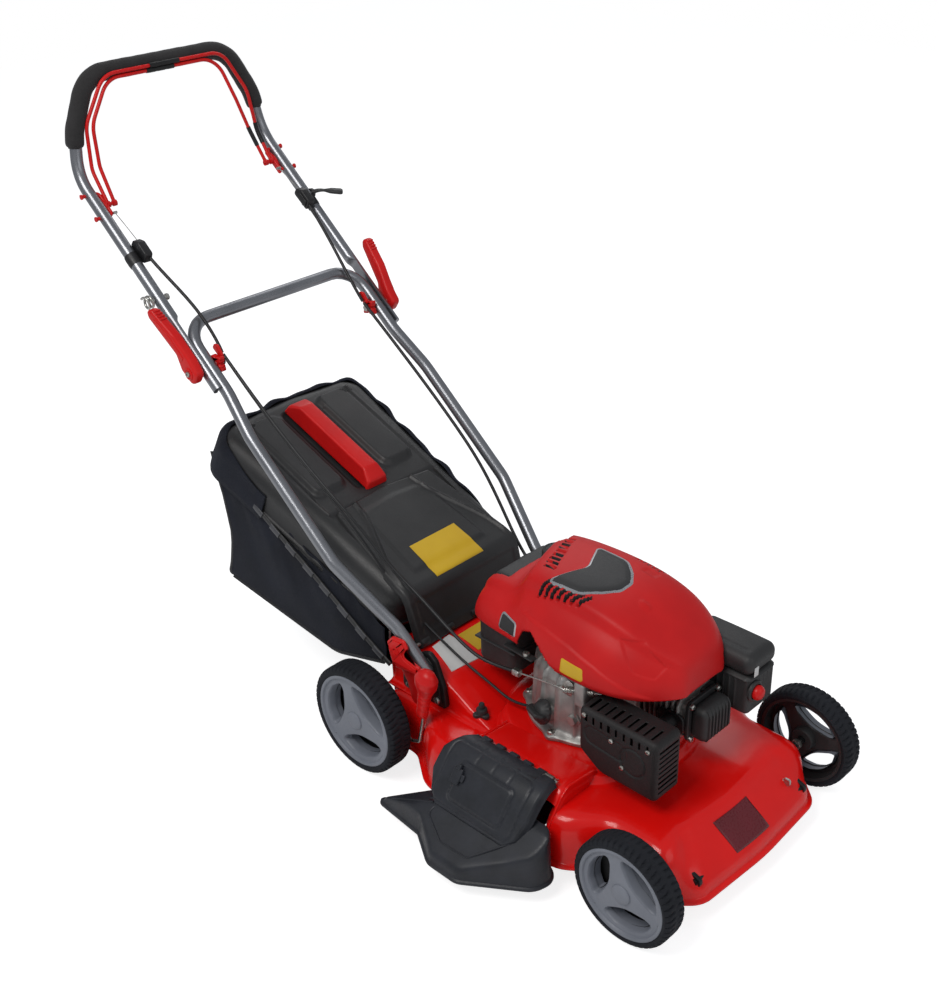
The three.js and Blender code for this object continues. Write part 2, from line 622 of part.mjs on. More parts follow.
function fuelTank() {
  const outline = roundedOutline([[140, -74], [226, -84], [226, 84], [140, 74]], 18);
  const tank = pan(outline, 196, 258, { width: 10, height: 10 }, { segments: 2 });
  const neck = rod([FUEL_NECK.x, FUEL_NECK.y, 250], [FUEL_NECK.x, FUEL_NECK.y, FUEL_NECK.topZ], 13, 14);
  const strap = block(200, 248, -16, 16, 214, 226);
  return join(tank, neck, strap);
}

function fuelCap() {
  const z = FUEL_NECK.topZ + GAP;
  return turned([[0, z], [21, z], [22, z + 12], [18, z + 18], [0, z + 18]], FUEL_NECK.x, FUEL_NECK.y, 20);
}

// Air filter box ahead of the head on the left, with its clipped cover and the primer bulb.
const PRIMER = { y: 72, z: 258 };
const FILTER = { fromX: 492, toX: 606, fromY: 22, toY: 168, splitZ: 284, topZ: 330, lowZ: 236 };

function airFilterBase() {
  const { fromX, toX, fromY, toY, splitZ, lowZ } = FILTER;
  const tray = pan(roundedOutline(rectangle(fromX, toX, fromY, toY), 22), lowZ, splitZ, { width: 1, height: 1 }, { segments: 1 });
  const hollow = plan(roundedOutline(rectangle(fromX + 5, toX - 5, fromY + 5, toY - 5), 14), lowZ + 22, splitZ + 10);
  const intake = rod([fromX + 30, fromY + 62, lowZ + 4], [fromX - 12, fromY + 62, 196], 16, 12);
  const { y, z } = PRIMER;
  const bulbRecess = rod([toX - 9, y, z], [toX + 5, y, z], 11.8, 14);
  return join(cut(tray, hollow, bulbRecess), intake);
}

function airFilterCover() {
  const { fromX, toX, fromY, toY, splitZ, topZ } = FILTER;
  const outline = roundedOutline(rectangle(fromX, toX, fromY, toY), 22);
  const lid = pan(outline, splitZ + GAP, topZ, { width: 16, height: 18 }, { segments: 2 });
  const inside = pan(outline, splitZ - 2, topZ - 4, { width: 16, height: 18 }, { inset: 4, segments: 1 });
  return cut(lid, inside);
}

function primerBulb() {
  const profile = [[0, 0], [11, 0], [11, 5], [9, 11], [5, 15], [0, 16]];
  const points = profile.map(([r, h]) => new THREE.Vector2(r, h));
  const dome = new THREE.LatheGeometry(points, 14).rotateZ(-Math.PI / 2);
  return solid(dome.translate(FILTER.toX - 2, PRIMER.y, PRIMER.z));
}

function crankshaft() {
  const z = ENGINE_BASE;
  const profile = [
    [0, 84], [11, 84], [11, 100], [14, 100], [14, 128], [24, z - 6], [24, z + 60], [14, z + 82], [14, z + 92], [84, z + 92],
    [88, z + 104], [88, z + 116], [30, z + 120], [30, z + 146], [0, z + 146],
  ];
  return turned(profile, BLADE_AXIS_X, 0);
}

function bladeAdapter() {
  const profile = [
    [11 + GAP, 70], [30, 70], [30, 80], [18, 84], [18, PULLEY.z - 8], [ENGINE_PULLEY_RADIUS, PULLEY.z - 7],
    [ENGINE_PULLEY_RADIUS - 5, PULLEY.z - 2], [ENGINE_PULLEY_RADIUS - 5, PULLEY.z + 2],
    [ENGINE_PULLEY_RADIUS, PULLEY.z + 7], [18, PULLEY.z + 8], [15 + GAP, PULLEY.z + 8], [14 + GAP * 2, 99.6],
    [11 + GAP, 99.6], [11 + GAP, 70],
  ];
  return turned(profile, BLADE_AXIS_X, 0);
}

// A lifting blade: flat in the middle, its trailing corners turned up, held by one bolt.
function blade() {
  const [x, z] = [BLADE_AXIS_X, 50];
  const length = 228;
  const bar = block(x - 28, x + 28, -length, length, z, z + 4);
  const lift = (side) => {
    const outline = roundedOutline([[0, z], [24, z + 14], [24, z + 18], [-4, z + 4]], 0);
    const wing = across(outline, length - 70, length);
    return side > 0 ? wing.translate([x + 28 - 1, 0, 0]) : wing.rotate([0, 0, 180]).translate([x - 28 + 1, 0, 0]);
  };
  const bolt = join(rod([x, 0, z - 9], [x, 0, z], 12, 6), rod([x, 0, z - 1], [x, 0, 83], 8, 12));
  const washer = rod([x, 0, z - 2], [x, 0, z + 1], 22, 16);
  const seat = rod([x, 0, z + 3], [x, 0, 70 - GAP], 26, 20);
  return join(bar, lift(1), lift(-1), washer, seat, bolt);
}

function starterHandle() {
  const [x, y, z] = [120, ROPE.y, ROPE.z];
  const bar = bentBar([[x - 16, y - 34, z], [x - 20, y, z], [x - 16, y + 34, z]], 9, { bend: 30, sides: 10, bendSteps: 3 });
  const rope = rod([x - 20, y, z], [x + 96, y, z], 2.2, 8);
  return join(bar, rope);
}

// ---------- handle ----------

function lowerHandle() {
  const { top, middle, foot } = LOWER_Y;
  const half = [
    onHandle(LOWER_FOOT_S - 14, -foot), onHandle(-560, -foot - 1), onHandle(-412, -middle), onHandle(-150, -middle),
    onHandle(-60, -top), onHandle(89, -top),
  ];
  const mirrored = half.map(([x, y, z]) => [x, -y, z]).reverse();
  const bends = [0, 90, 90, 160, 160, 52, 52, 160, 160, 90, 90, 0];
  const path = [...half, ...mirrored].map((point, i) => [...point, bends[i]]);
  const tube = bentBar(path, HANDLE_TUBE, { bendSteps: 3, sides: 10 });
  const bolt = (s, y) => {
    const [x, , z] = onHandle(s, 0);
    return rod([x, -y - 30, z], [x, y + 30, z], 4.4, 10);
  };
  return cut(tube, bolt(0, top), bolt(LOWER_FOOT_S, foot));
}

function upperHandle() {
  const leg = [
    onHandle(-47, -UPPER_Y), onHandle(LOOP_START_S, -UPPER_Y, 0), onLoop(78, -194), onLoop(LOOP_HEIGHT, -150),
  ];
  const mirrored = leg.map(([x, y, z]) => [x, -y, z]).reverse();
  const bends = [0, 85, 90, 62, 62, 90, 85, 0];
  const path = [...leg, ...mirrored].map((point, i) => [...point, bends[i]]);
  const tube = bentBar(path, HANDLE_TUBE, { bendSteps: 4, sides: 10 });
  const flattened = (side) => {
    const [x, , z] = onHandle(-60, 0);
    const inner = LOWER_Y.top + HANDLE_TUBE + GAP;
    const cheek = new THREE.BoxGeometry(150, 40, 60).translate(-75, -inner + 20, 0);
    cheek.rotateY(HANDLE_ANGLE).translate(x, 0, z);
    return onSide(side, solid(cheek));
  };
  const [x, , z] = onHandle(0, 0);
  const bolts = rod([x, -240, z], [x, 240, z], 4.4, 10);
  return cut(tube, flattened(SIDES.right), flattened(SIDES.left), bolts);
}

// Foam sleeve over the loop.
function gripFoam() {
  const leg = [onLoop(48, -200.5), onLoop(80, -193.5), onLoop(LOOP_HEIGHT, -150)];
  const mirrored = leg.map(([x, y, z]) => [x, -y, z]).reverse();
  const bends = [0, 90, 62, 62, 90, 0];
  const path = [...leg, ...mirrored].map((point, i) => [...point, bends[i]]);
  const sleeve = bentBar(path, GRIP_RADIUS, { bendSteps: 4, sides: 10 });
  const legBore = [
    onHandle(-47, -UPPER_Y), onHandle(LOOP_START_S, -UPPER_Y, 0), onLoop(78, -194), onLoop(LOOP_HEIGHT, -150),
  ];
  const boreMirrored = legBore.map(([x, y, z]) => [x, -y, z]).reverse();
  const boreBends = [0, 85, 90, 62, 62, 90, 85, 0];
  const borePath = [...legBore, ...boreMirrored].map((point, i) => [...point, boreBends[i]]);
  return cut(sleeve, bentBar(borePath, HANDLE_TUBE + GAP, { bendSteps: 4, sides: 10 }));
}

// Bracket that carries the foot of the lower handle beside the deck tunnel.
function deckBracket(side) {
  const [x, , z] = onHandle(LOWER_FOOT_S, 0);
  const outline = roundedOutline([
    [20, 132], [128, 132], [122, 176], [x + 16, z + 8], [x, z + 20], [x - 18, z + 12], [24, 188],
  ], 10);
  const plate = across(outline, -160, -150 - GAP);
  const bolt = rod([x, -160.5, z], [x, -150 - GAP, z], 4.6, 10);
  const pin = rod([x, -159, z], [x, -184, z], 4, 10);
  return onSide(side, join(plate, bolt, pin));
}

// Red quick lever that locks the lower handle at its bracket.
function lockLever(side) {
  const outline = roundedOutline([[22, 236], [60, 256], [66, 246], [58, 226], [98, 220], [98, 204], [42, 196], [32, 204]], 5);
  return onSide(side, across(outline, -190, -184.4));
}

// Over-centre cam lever that clamps the handle halves, lying along the outside of the tube.
function camLever(side) {
  const at = (s, lift) => {
    const [x, , z] = onHandle(s, 0, lift);
    return [x, z];
  };
  const outline = roundedOutline([
    at(-20, -16), at(18, -18), at(40, 2), at(116, 12), at(126, 22), at(118, 32), at(60, 30), at(12, 20), at(-16, 14),
  ], 9);
  const outer = UPPER_Y + HANDLE_TUBE + 2;
  return onSide(side, across(outline, -outer - 20, -outer));
}

// The clamp bolt with its moulded nut and cable hook on the inside.
function cableClamp(side) {
  const [x, , z] = onHandle(0, 0);
  const inner = LOWER_Y.top - HANDLE_TUBE - GAP;
  const at = (s, lift) => {
    const [px, , pz] = onHandle(s, 0, lift);
    return [px, pz];
  };
  const body = across(roundedOutline([at(-16, -12), at(14, -14), at(30, 6), at(8, 18), at(-18, 10)], 6), -inner, -inner + 14);
  const bolt = rod([x, -inner + 4, z], [x, -UPPER_Y - HANDLE_TUBE - 1.4, z], 4, 10);
  const slot = block(x - 2, x + 40, -inner + 4, -inner + 20, z - 3, z + 3);
  return onSide(side, join(cut(body, slot.translate([0, 0, 9])), bolt));
}

// The two hoops that the operator squeezes against the grip.
function bail(inset, forward) {
  const [px, , pz] = onHandle(BAIL_PIVOT_S, 0, -2);
  const pivotY = 184 - inset;
  const reach = LOOP_HEIGHT - 8 - inset * 0.9;
  const leg = [[px, -pivotY, pz], onLoop(20, -178 + inset, 30), onLoop(90, -158 + inset, forward), onLoop(reach, -118 + inset, forward)];
  const mirrored = leg.map(([x, y, z]) => [x, -y, z]).reverse();
  const bends = [0, 60, 60, 45, 45, 60, 60, 0];
  const path = [...leg, ...mirrored].map((point, i) => [...point, bends[i]]);
  return bentBar(path, 3.4, { bendSteps: 3, sides: 6 });
}

function bailBracket(side) {
  const at = (s, lift) => {
    const [x, , z] = onHandle(s, 0, lift);
    return [x, z];
  };
  const inner = UPPER_Y - HANDLE_TUBE - GAP;
  const outline = roundedOutline([at(330, -14), at(382, -14), at(384, 12), at(330, 12)], 6);
  return onSide(side, across(outline, -inner, -inner + 5));
}

function throttleLever() {
  const at = (s, lift) => {
    const [x, , z] = onHandle(s, 0, lift);
    return [x, z];
  };
  const inner = UPPER_Y + HANDLE_TUBE + GAP;
  const outline = roundedOutline([at(252, -8), at(272, -8), at(278, 12), at(312, 30), at(306, 38), at(256, 16)], 5);
  return across(outline, inner, inner + 8);
}

// ---------- cables ----------

// Each control cable is two lengths that meet inside the clamp at the fold.
function cable(points) {
  return bentBar(points, 2.6, { bend: 60, sides: 6, bendSteps: 3 });
}

function upperCableRight() {
  const guard = across(
    roundedOutline([onHandle(218, 0, 4), onHandle(262, 0, 4), onHandle(262, 0, 26), onHandle(222, 0, 26)].map(([x, , z]) => [x, z]), 5),
    -UPPER_Y + HANDLE_TUBE + GAP,
    -178,
  );
  const path = [onHandle(240, -186, 15), onHandle(150, -174, 20), onHandle(84, -163, 20), onHandle(12, -164, 8)];
  return join(guard, cable(path));
}

function upperCableLeft() {
  const guard = across(
    roundedOutline([onHandle(230, 0, 4), onHandle(274, 0, 4), onHandle(274, 0, 26), onHandle(234, 0, 26)].map(([x, , z]) => [x, z]), 5),
    178,
    UPPER_Y - HANDLE_TUBE - GAP,
  );
  const path = [onHandle(250, 186, 15), onHandle(150, 174, 20), onHandle(84, 163, 20), onHandle(12, 164, 8)];
  return join(guard, cable(path));
}

function lowerCableRight() {
  return cable([
    onHandle(8, -164, 8), onHandle(-120, -166, 16), onHandle(-380, -150, 40), [40, -120, 300], [150, -118, 236],
    [236, -96, 224], [270, -92, 214],
  ]);
}

function lowerCableLeft() {
  return cable([onHandle(8, 164, 8), onHandle(-140, 174, 8), onHandle(-380, 172, 14), [20, 150, 262], [80, 140, 226]]);
}

// ---------- grass box ----------

// A point in the plane of the lid's rim: back along its slope from the front edge, y across, height above.
const LID_FRONT = { x: -14, z: 232 };

function onLid(geometryOrSolid) {
  return geometryOrSolid.rotate([0, THREE.MathUtils.radToDeg(LID_SLOPE), 0]).translate([LID_FRONT.x, 0, LID_FRONT.z]);
}

const LID_LENGTH = 500;
const LID_HEIGHT = 73;

function lidOutline() {
  return roundedOutline([[0, -150, 36], [-LID_LENGTH, -176, 50], [-LID_LENGTH, 176, 50], [0, 150, 36]], 20);
}

const FLAP_SEAT = { back: 206, height: 69 }; // the rear flap lies on this lower front part of the lid

// The lid as one solid form, smaller all round by the inset: full height behind the flap's seat.
function lidForm(inset) {
  const { back, height } = FLAP_SEAT;
  const shoulder = { width: 34, height: 36 };
  const top = LID_HEIGHT - inset;
  const profile = [[20, -10], [20, height - inset], [-back - inset, height - inset], [-back - 12 - inset, top + 1]];
  profile.push([-LID_LENGTH - 10, top + 1], [-LID_LENGTH - 10, -10]);
  const full = pan(lidOutline(), inset ? -4 : 0, top, shoulder, { inset });
  return full.intersect(across(roundedOutline(profile, 0), -200, 200));
}

function bagLid() {
  return onLid(cut(lidForm(0), lidForm(3)));
}

function lidHandle() {
  const rise = LID_HEIGHT + GAP;
  const outline = roundedOutline([
    [-226, rise], [-230, rise + 14], [-254, rise + 28], [-440, rise + 28], [-462, rise + 16], [-460, rise],
    [-436, rise], [-430, rise + 14], [-276, rise + 14], [-250, rise],
  ], 6);
  return onLid(across(outline, -17, 17));
}

// The cloth bag hangs from the lid's rim; it is open on top, under the lid, and at its mouth.
function bagForm(inset) {
  const mouthX = inset ? 10 : -16;
  const outline = roundedOutline([
    [mouthX, 240], [-466 + inset, 424], [-450 + inset, 330], [-444 + inset, 267], [-463 + inset, 148 + inset, 10],
    [-150, 110 + inset], [mouthX, 150 + inset],
  ], 14);
  return across(outline, -160 + inset, 160 - inset);
}

function bag() {
  const underLid = onLid(block(-LID_LENGTH - 60, 40, -220, 220, -7, 120));
  return cut(bagForm(0), bagForm(5), underLid);
}

// Wire hoop that holds the mouth and the lid's edge in shape.
function bagFrame() {
  const at = (back, y) => {
    const [cos, sin] = [Math.cos(LID_SLOPE), Math.sin(LID_SLOPE)];
    return [LID_FRONT.x - back * cos - 4 * sin, y, LID_FRONT.z + back * sin - 4 * cos];
  };
  const path = [
    [-27, -110, 162], [-27, -146, 170], at(14, -138), at(LID_LENGTH - 24, -150), at(LID_LENGTH - 24, 150),
    at(14, 138), [-27, 146, 170], [-27, 110, 162],
  ];
  return bentBar(path, 3, { bend: 24, sides: 6, bendSteps: 3 });
}

// The sprung rear flap that closes the deck tunnel and rests on the grass box.
function rearFlap() {
  const tip = -FLAP_SEAT.back + 2;
  const seat = FLAP_SEAT.height;
  const onSeat = (along, above) => {
    const [cos, sin] = [Math.cos(LID_SLOPE), Math.sin(LID_SLOPE)];
    return [LID_FRONT.x + along * cos + (seat + above) * sin, LID_FRONT.z - along * sin + (seat + above) * cos];
  };
  const side = roundedOutline([
    [44, 209], [42, 219], onSeat(2, 6), onSeat(tip, 8), onSeat(tip, 3), onSeat(0, 1), [34, 214],
  ], 0);
  const width = roundedOutline([[60, -140], [-10, -140], [-190, -118], [-190, 118], [-10, 140], [60, 140]], 0);
  return across(side, -150, 150).intersect(plan(width, 150, 450));
}

// ---------- assembly ----------

addPiece("deck_shell", deckShell(), redPaint);
addPiece("side_chute", sideChute(), blackPlastic);
addPiece("side_flap", sideFlap(), blackPlastic);
addPiece("rear_flap", rearFlap(), blackPlastic);
addPiece("crankcase", crankcase(), castAluminium);
addPiece("cylinder_head", cylinderHead(), blackSteel);
addPiece("valve_cover", valveCover(), blackSteel);
addPiece("muffler_guard", mufflerGuard(), blackSteel);
addPiece("engine_shroud", engineShroud(), redPlastic);
addPiece("fuel_tank", fuelTank(), blackPlastic);
addPiece("fuel_cap", fuelCap(), blackPlastic);
addPiece("oil_cap", oilCap(), blackPlastic);
addPiece("air_filter_base", airFilterBase(), blackPlastic);
addPiece("air_filter_cover", airFilterCover(), blackPlastic);
addPiece("primer_bulb", primerBulb(), redPlastic);
addPiece("starter_handle", starterHandle(), blackPlastic);
addPiece("crankshaft", crankshaft(), steel);
addPiece("blade_adapter", bladeAdapter(), castAluminium);
addPiece("blade", blade(), blackSteel);
addPiece("gearbox", gearbox(), castAluminium);
addPiece("gearbox_pulley", pulley(PULLEY.x, PULLEY.z, PULLEY.radius, 13 + GAP), blackPlastic);
addPiece("drive_belt", driveBelt(), tyreRubber);
addPiece("drive_shaft", driveShaft(), steel);
addPiece("rear_axle", rearAxle(), blackSteel);
addPiece("front_axle", frontAxle(), blackSteel);
addPiece("height_link", heightLink(), steel);
addPiece("height_lever", leverRod(LEVER.rod), steel);
addPiece("height_grip", heightGrip(), redPlastic);
for (const [name, side] of Object.entries(SIDES)) {
  for (const [place, wheel] of [["rear", REAR_WHEEL], ["front", FRONT_WHEEL]]) {
    addPiece(`${place}_tyre_${name}`, tyre(wheel, side), tyreRubber);
    addPiece(`${place}_hub_${name}`, hub(wheel, side), greyPlastic);
  }
  addPiece(`deck_bracket_${name}`, deckBracket(side), blackSteel);
  addPiece(`lock_lever_${name}`, lockLever(side), redPlastic);
  addPiece(`cam_lever_${name}`, camLever(side), redPlastic);
  addPiece(`cable_clamp_${name}`, cableClamp(side), redPlastic);
  addPiece(`bail_bracket_${name}`, bailBracket(side), redPlastic);
}
addPiece("lower_handle", lowerHandle(), silverPaint);
addPiece("upper_handle", upperHandle(), silverPaint);
addPiece("grip_foam", gripFoam(), foam);
addPiece("stop_bail", bail(0, 22), redPlastic);
addPiece("drive_bail", bail(13, 22), redPlastic);
addPiece("throttle_lever", throttleLever(), blackPlastic);
addPiece("upper_cable_right", upperCableRight(), blackPlastic);
addPiece("upper_cable_left", upperCableLeft(), blackPlastic);
addPiece("lower_cable_right", lowerCableRight(), blackPlastic);
addPiece("lower_cable_left", lowerCableLeft(), blackPlastic);
addPiece("bag_lid", bagLid(), blackPlastic);
addPiece("lid_handle", lidHandle(), redPlastic);
addPiece("bag", bag(), blackFabric);
addPiece("bag_frame", bagFrame(), steel);

const mower = new THREE.Group();
mower.add(...pieces);
const box = new THREE.Box3().setFromObject(mower);
mower.position.set(-(box.min.x + box.max.x) / 2, -(box.min.y + box.max.y) / 2, -box.min.z);

export default mower;
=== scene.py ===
# %% [markdown]
# # A petrol lawn mower, dressed piece by piece
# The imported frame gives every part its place, its body and its joints. This lesson loads it, then
# makes each visible surface again with numpy, finishes it, and lets it ride on the body it belongs to.

# %% Load the frame
import bpy
import bmesh
import numpy as np
from mathutils import Matrix, Vector


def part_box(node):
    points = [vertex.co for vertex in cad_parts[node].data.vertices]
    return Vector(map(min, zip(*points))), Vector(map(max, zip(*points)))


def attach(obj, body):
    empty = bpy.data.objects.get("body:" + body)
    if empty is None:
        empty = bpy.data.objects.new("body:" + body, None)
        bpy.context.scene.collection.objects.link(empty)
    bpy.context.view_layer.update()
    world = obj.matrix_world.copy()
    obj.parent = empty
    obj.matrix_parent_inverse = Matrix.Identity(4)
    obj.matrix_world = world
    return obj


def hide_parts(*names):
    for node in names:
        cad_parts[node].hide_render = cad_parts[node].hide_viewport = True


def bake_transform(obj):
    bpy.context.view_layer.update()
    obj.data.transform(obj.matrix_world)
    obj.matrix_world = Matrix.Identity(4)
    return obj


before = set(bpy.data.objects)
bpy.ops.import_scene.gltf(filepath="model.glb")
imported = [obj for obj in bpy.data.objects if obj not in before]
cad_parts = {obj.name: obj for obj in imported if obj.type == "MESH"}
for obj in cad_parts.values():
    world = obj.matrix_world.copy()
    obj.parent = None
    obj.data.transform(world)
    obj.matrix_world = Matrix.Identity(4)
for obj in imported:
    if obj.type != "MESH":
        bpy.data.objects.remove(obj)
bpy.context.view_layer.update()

# %% [markdown]
# ## One set of axes for every piece
# The mower is easiest to think about from its rear axle: x forwards, y to the left, z up from the
# ground, in millimetres. The hubs of the frame say where that point is, so one function turns such
# numbers into the frame's metres, and nothing has to be fitted by eye.

# %% From rear-axle millimetres to frame metres
MM = 0.001
SIDES = ((-1, "right"), (1, "left"))
rear_hubs = [np.array(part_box(f"rear_hub_{side}")) for side in ("right", "left")]
axle_x = rear_hubs[0][:, 0].mean()
middle_y = (rear_hubs[0][:, 1].mean() + rear_hubs[1][:, 1].mean()) / 2
ORIGIN = np.array([axle_x, middle_y, 0.0])


def in_frame(points):
    """Frame position = rear-axle position in mm / 1000 + the place of the rear axle in the frame."""
    return np.asarray(points, float) * MM + ORIGIN


print("rear axle at", ORIGIN.round(4).tolist())

# %% [markdown]
# ## The camera
# A mower shows most of itself from its front right corner and from above: the engine, the discharge
# side and the long handle. A camera is a position and three directions at right angles, worked out
# here from two angles, a slight roll and a distance to one point in the middle of the mower.

# %% Camera at the front right corner
AZIMUTH, ELEVATION, ROLL, DISTANCE = 0.786, 0.5036, -0.0297, 2.3205
look_at = np.array([36.6, 0.0, 438.7])
backward = np.array([np.sin(AZIMUTH) * np.cos(ELEVATION), -np.cos(AZIMUTH) * np.cos(ELEVATION), np.sin(ELEVATION)])
level_right = np.cross(-backward, [0, 0, 1])
level_right /= np.linalg.norm(level_right)
level_up = np.cross(level_right, -backward)
right = np.cos(ROLL) * level_right + np.sin(ROLL) * level_up
up = -np.sin(ROLL) * level_right + np.cos(ROLL) * level_up
camera_data = bpy.data.cameras.new("camera")
camera_data.sensor_fit = "AUTO"
camera_data.sensor_width = 36.0
camera_data.lens = 49.457
camera = bpy.data.objects.new("camera", camera_data)
bpy.context.scene.collection.objects.link(camera)
pose = np.eye(4)
pose[:3, 0], pose[:3, 1], pose[:3, 2] = right, up, backward
pose[:3, 3] = in_frame(look_at) + backward * DISTANCE
camera.matrix_world = Matrix(pose.tolist())
bpy.context.scene.camera = camera
print("camera at", pose[:3, 3].round(3).tolist())

# %% [markdown]
# ## A plain studio
# The sky is plain white to the camera, and the floor adds a soft shadow to a white that lights nothing.
# The light itself is soft: one wide key light from above the camera, a weaker fill, and an even sky.

# %% An even sky
scene = bpy.context.scene
scene.view_settings.view_transform = "Standard"


def camera_sees(tree, seen, lit, output):
    """Shader = seen where the ray comes from the camera, and lit elsewhere."""
    path = tree.nodes.new("ShaderNodeLightPath")
    mix = tree.nodes.new("ShaderNodeMixShader")
    tree.links.new(path.outputs["Is Camera Ray"], mix.inputs["Fac"])
    tree.links.new(lit, mix.inputs[1])
    tree.links.new(seen, mix.inputs[2])
    tree.links.new(mix.outputs[0], output.inputs["Surface"])


world = bpy.data.worlds.new("sky")
world.use_nodes = True
scene.world = world
sky = world.node_tree.nodes["Background"]
sky.inputs["Color"].default_value = (0.92, 0.95, 1.0, 1)
sky.inputs["Strength"].default_value = 0.36
white = world.node_tree.nodes.new("ShaderNodeBackground")
white.inputs["Color"].default_value = (1, 1, 1, 1)
white.inputs["Strength"].default_value = 1.0
camera_sees(world.node_tree, white.outputs[0], sky.outputs[0], world.node_tree.nodes["World Output"])
print("sky strength", sky.inputs["Strength"].default_value)

# %% [markdown]
# The floor is a sheet of pale paper. The camera sees it lit and a little brighter than it is, and every
# other ray meets plain paper, so it throws an even light back up at the mower.

# %% A pale floor
floor_mesh = bpy.data.meshes.new("floor")
corners = np.array([[-6, -6, 0], [6, -6, 0], [6, 6, 0], [-6, 6, 0]], float)
floor_mesh.from_pydata((corners + [0, 0, -0.0004]).tolist(), [], [[0, 1, 2, 3]])
floor = bpy.data.objects.new("floor", floor_mesh)
scene.collection.objects.link(floor)
paper = bpy.data.materials.new("pale_paper")
paper.use_nodes = True
bright = paper.node_tree.nodes["Principled BSDF"]
bright.inputs["Base Color"].default_value = (0.93, 0.93, 0.93, 1)
bright.inputs["Roughness"].default_value = 0.9
shaded = paper.node_tree.nodes.new("ShaderNodeBsdfDiffuse")
shaded.inputs["Color"].default_value = (0.56, 0.56, 0.57, 1)
glow = paper.node_tree.nodes.new("ShaderNodeEmission")
glow.inputs["Strength"].default_value = 0.8
seen = paper.node_tree.nodes.new("ShaderNodeAddShader")
paper.node_tree.links.new(shaded.outputs[0], seen.inputs[0])
paper.node_tree.links.new(glow.outputs[0], seen.inputs[1])
camera_sees(paper.node_tree, seen.outputs[0], bright.outputs[0], paper.node_tree.nodes["Material Output"])
floor_mesh.materials.append(paper)
print("floor of", len(floor_mesh.vertices), "corners")

# %% [markdown]
# Three square lamps give soft edges to every shadow. Point lamps would be simpler, but gloss paint would
# then show hard dots instead of broad highlights.

# %% Three soft lamps


def soft_lamp(name, position, aim, size, watts, colour=(1, 1, 1)):
    """A square area lamp at one point, turned to face another."""
    data = bpy.data.lights.new(name, "AREA")
    data.shape, data.size, data.energy, data.color = "SQUARE", size, watts, colour
    lamp = bpy.data.objects.new(name, data)
    scene.collection.objects.link(lamp)
    lamp.location = position
    lamp.rotation_euler = (Vector(aim) - Vector(position)).to_track_quat("-Z", "Y").to_euler()
    return lamp


soft_lamp("key", (0.2, -2.2, 3.4), (0.1, 0.05, 0.4), 1.6, 62, (1.0, 0.98, 0.95))
soft_lamp("fill", (3.4, 0.2, 2.2), (0.0, 0.0, 0.4), 2.4, 15)
soft_lamp("back", (-2.0, 2.4, 2.6), (0.0, 0.0, 0.5), 2.0, 20)
print("stage set with", len(bpy.data.lights), "lamps")

# %% [markdown]
# ## Turning arrays into meshes
# Every new piece below is a grid of points: row after row of a profile, or a sheet over two numbers.
# A few helpers turn such grids into faces, join several grids into one mesh, face it outwards, and
# smooth it except where it truly has an edge.

# %% Grids of points become faces


def unit(vectors):
    """Each vector divided by its length."""
    return vectors / np.linalg.norm(vectors, axis=-1, keepdims=True)


def full_turn(count):
    """So many angles evenly round the circle, from 0."""
    return np.linspace(0, 2 * np.pi, count, endpoint=False)


def quads(rows, columns, ring=False, tube=False):
    """Face k joins point (i, j) to (i, j+1), (i+1, j+1), (i+1, j); ring closes the columns, tube the rows."""
    i, j = np.meshgrid(np.arange(rows if tube else rows - 1),
                       np.arange(columns if ring else columns - 1), indexing="ij")
    below, beside = (i + 1) % rows, (j + 1) % columns
    return np.stack([i * columns + j, i * columns + beside, below * columns + beside, below * columns + j],
                    -1).reshape(-1, 4)


def sheet(grid, ring=False, tube=False, keep=None, away_from=None, toward=None):
    """One surface: a grid of points with its faces, which keep can thin out and away_from or toward can turn.

    A face points outwards when the sum over faces of (face normal . (face middle - reference)) is positive."""
    grid = np.asarray(grid, float)
    rows, columns = grid.shape[:2]
    points = grid.reshape(-1, 3)
    faces = quads(rows, columns, ring, tube)
    corner = points[faces]
    normal = np.cross(corner[:, 2] - corner[:, 0], corner[:, 3] - corner[:, 1])
    if toward is not None:
        score = (normal @ np.asarray(toward, float)).sum()
    else:
        middle = points.mean(0) if away_from is None else np.asarray(away_from, float)
        score = (normal * (corner.mean(1) - middle)).sum()
    if score < 0:
        faces = faces[:, ::-1]
    if keep is not None:
        faces = faces[np.asarray(keep).reshape(-1)]
    return points, faces.tolist()


def moved(surfaces, change):
    """The same surfaces with their points changed by a function."""
    return [(change(points), faces) for points, faces in surfaces]


def outward_fill(points, toward):
    """One flat many-cornered face over a closed outline, turned toward a direction."""
    points = np.asarray(points, float)
    area = np.cross(points, np.roll(points, -1, 0)).sum(0)
    order = list(range(len(points)))
    return points, [order if area @ np.asarray(toward, float) > 0 else order[::-1]]


print("faces of a 3 x 4 grid:", len(quads(3, 4)))

# %% [markdown]
# A piece is one mesh of several surfaces, with its finish, its body and the nodes it stands for. Every
# piece below is made by this one function, so doubles are merged and edges kept sharp in the same way.

# %% One function makes every piece


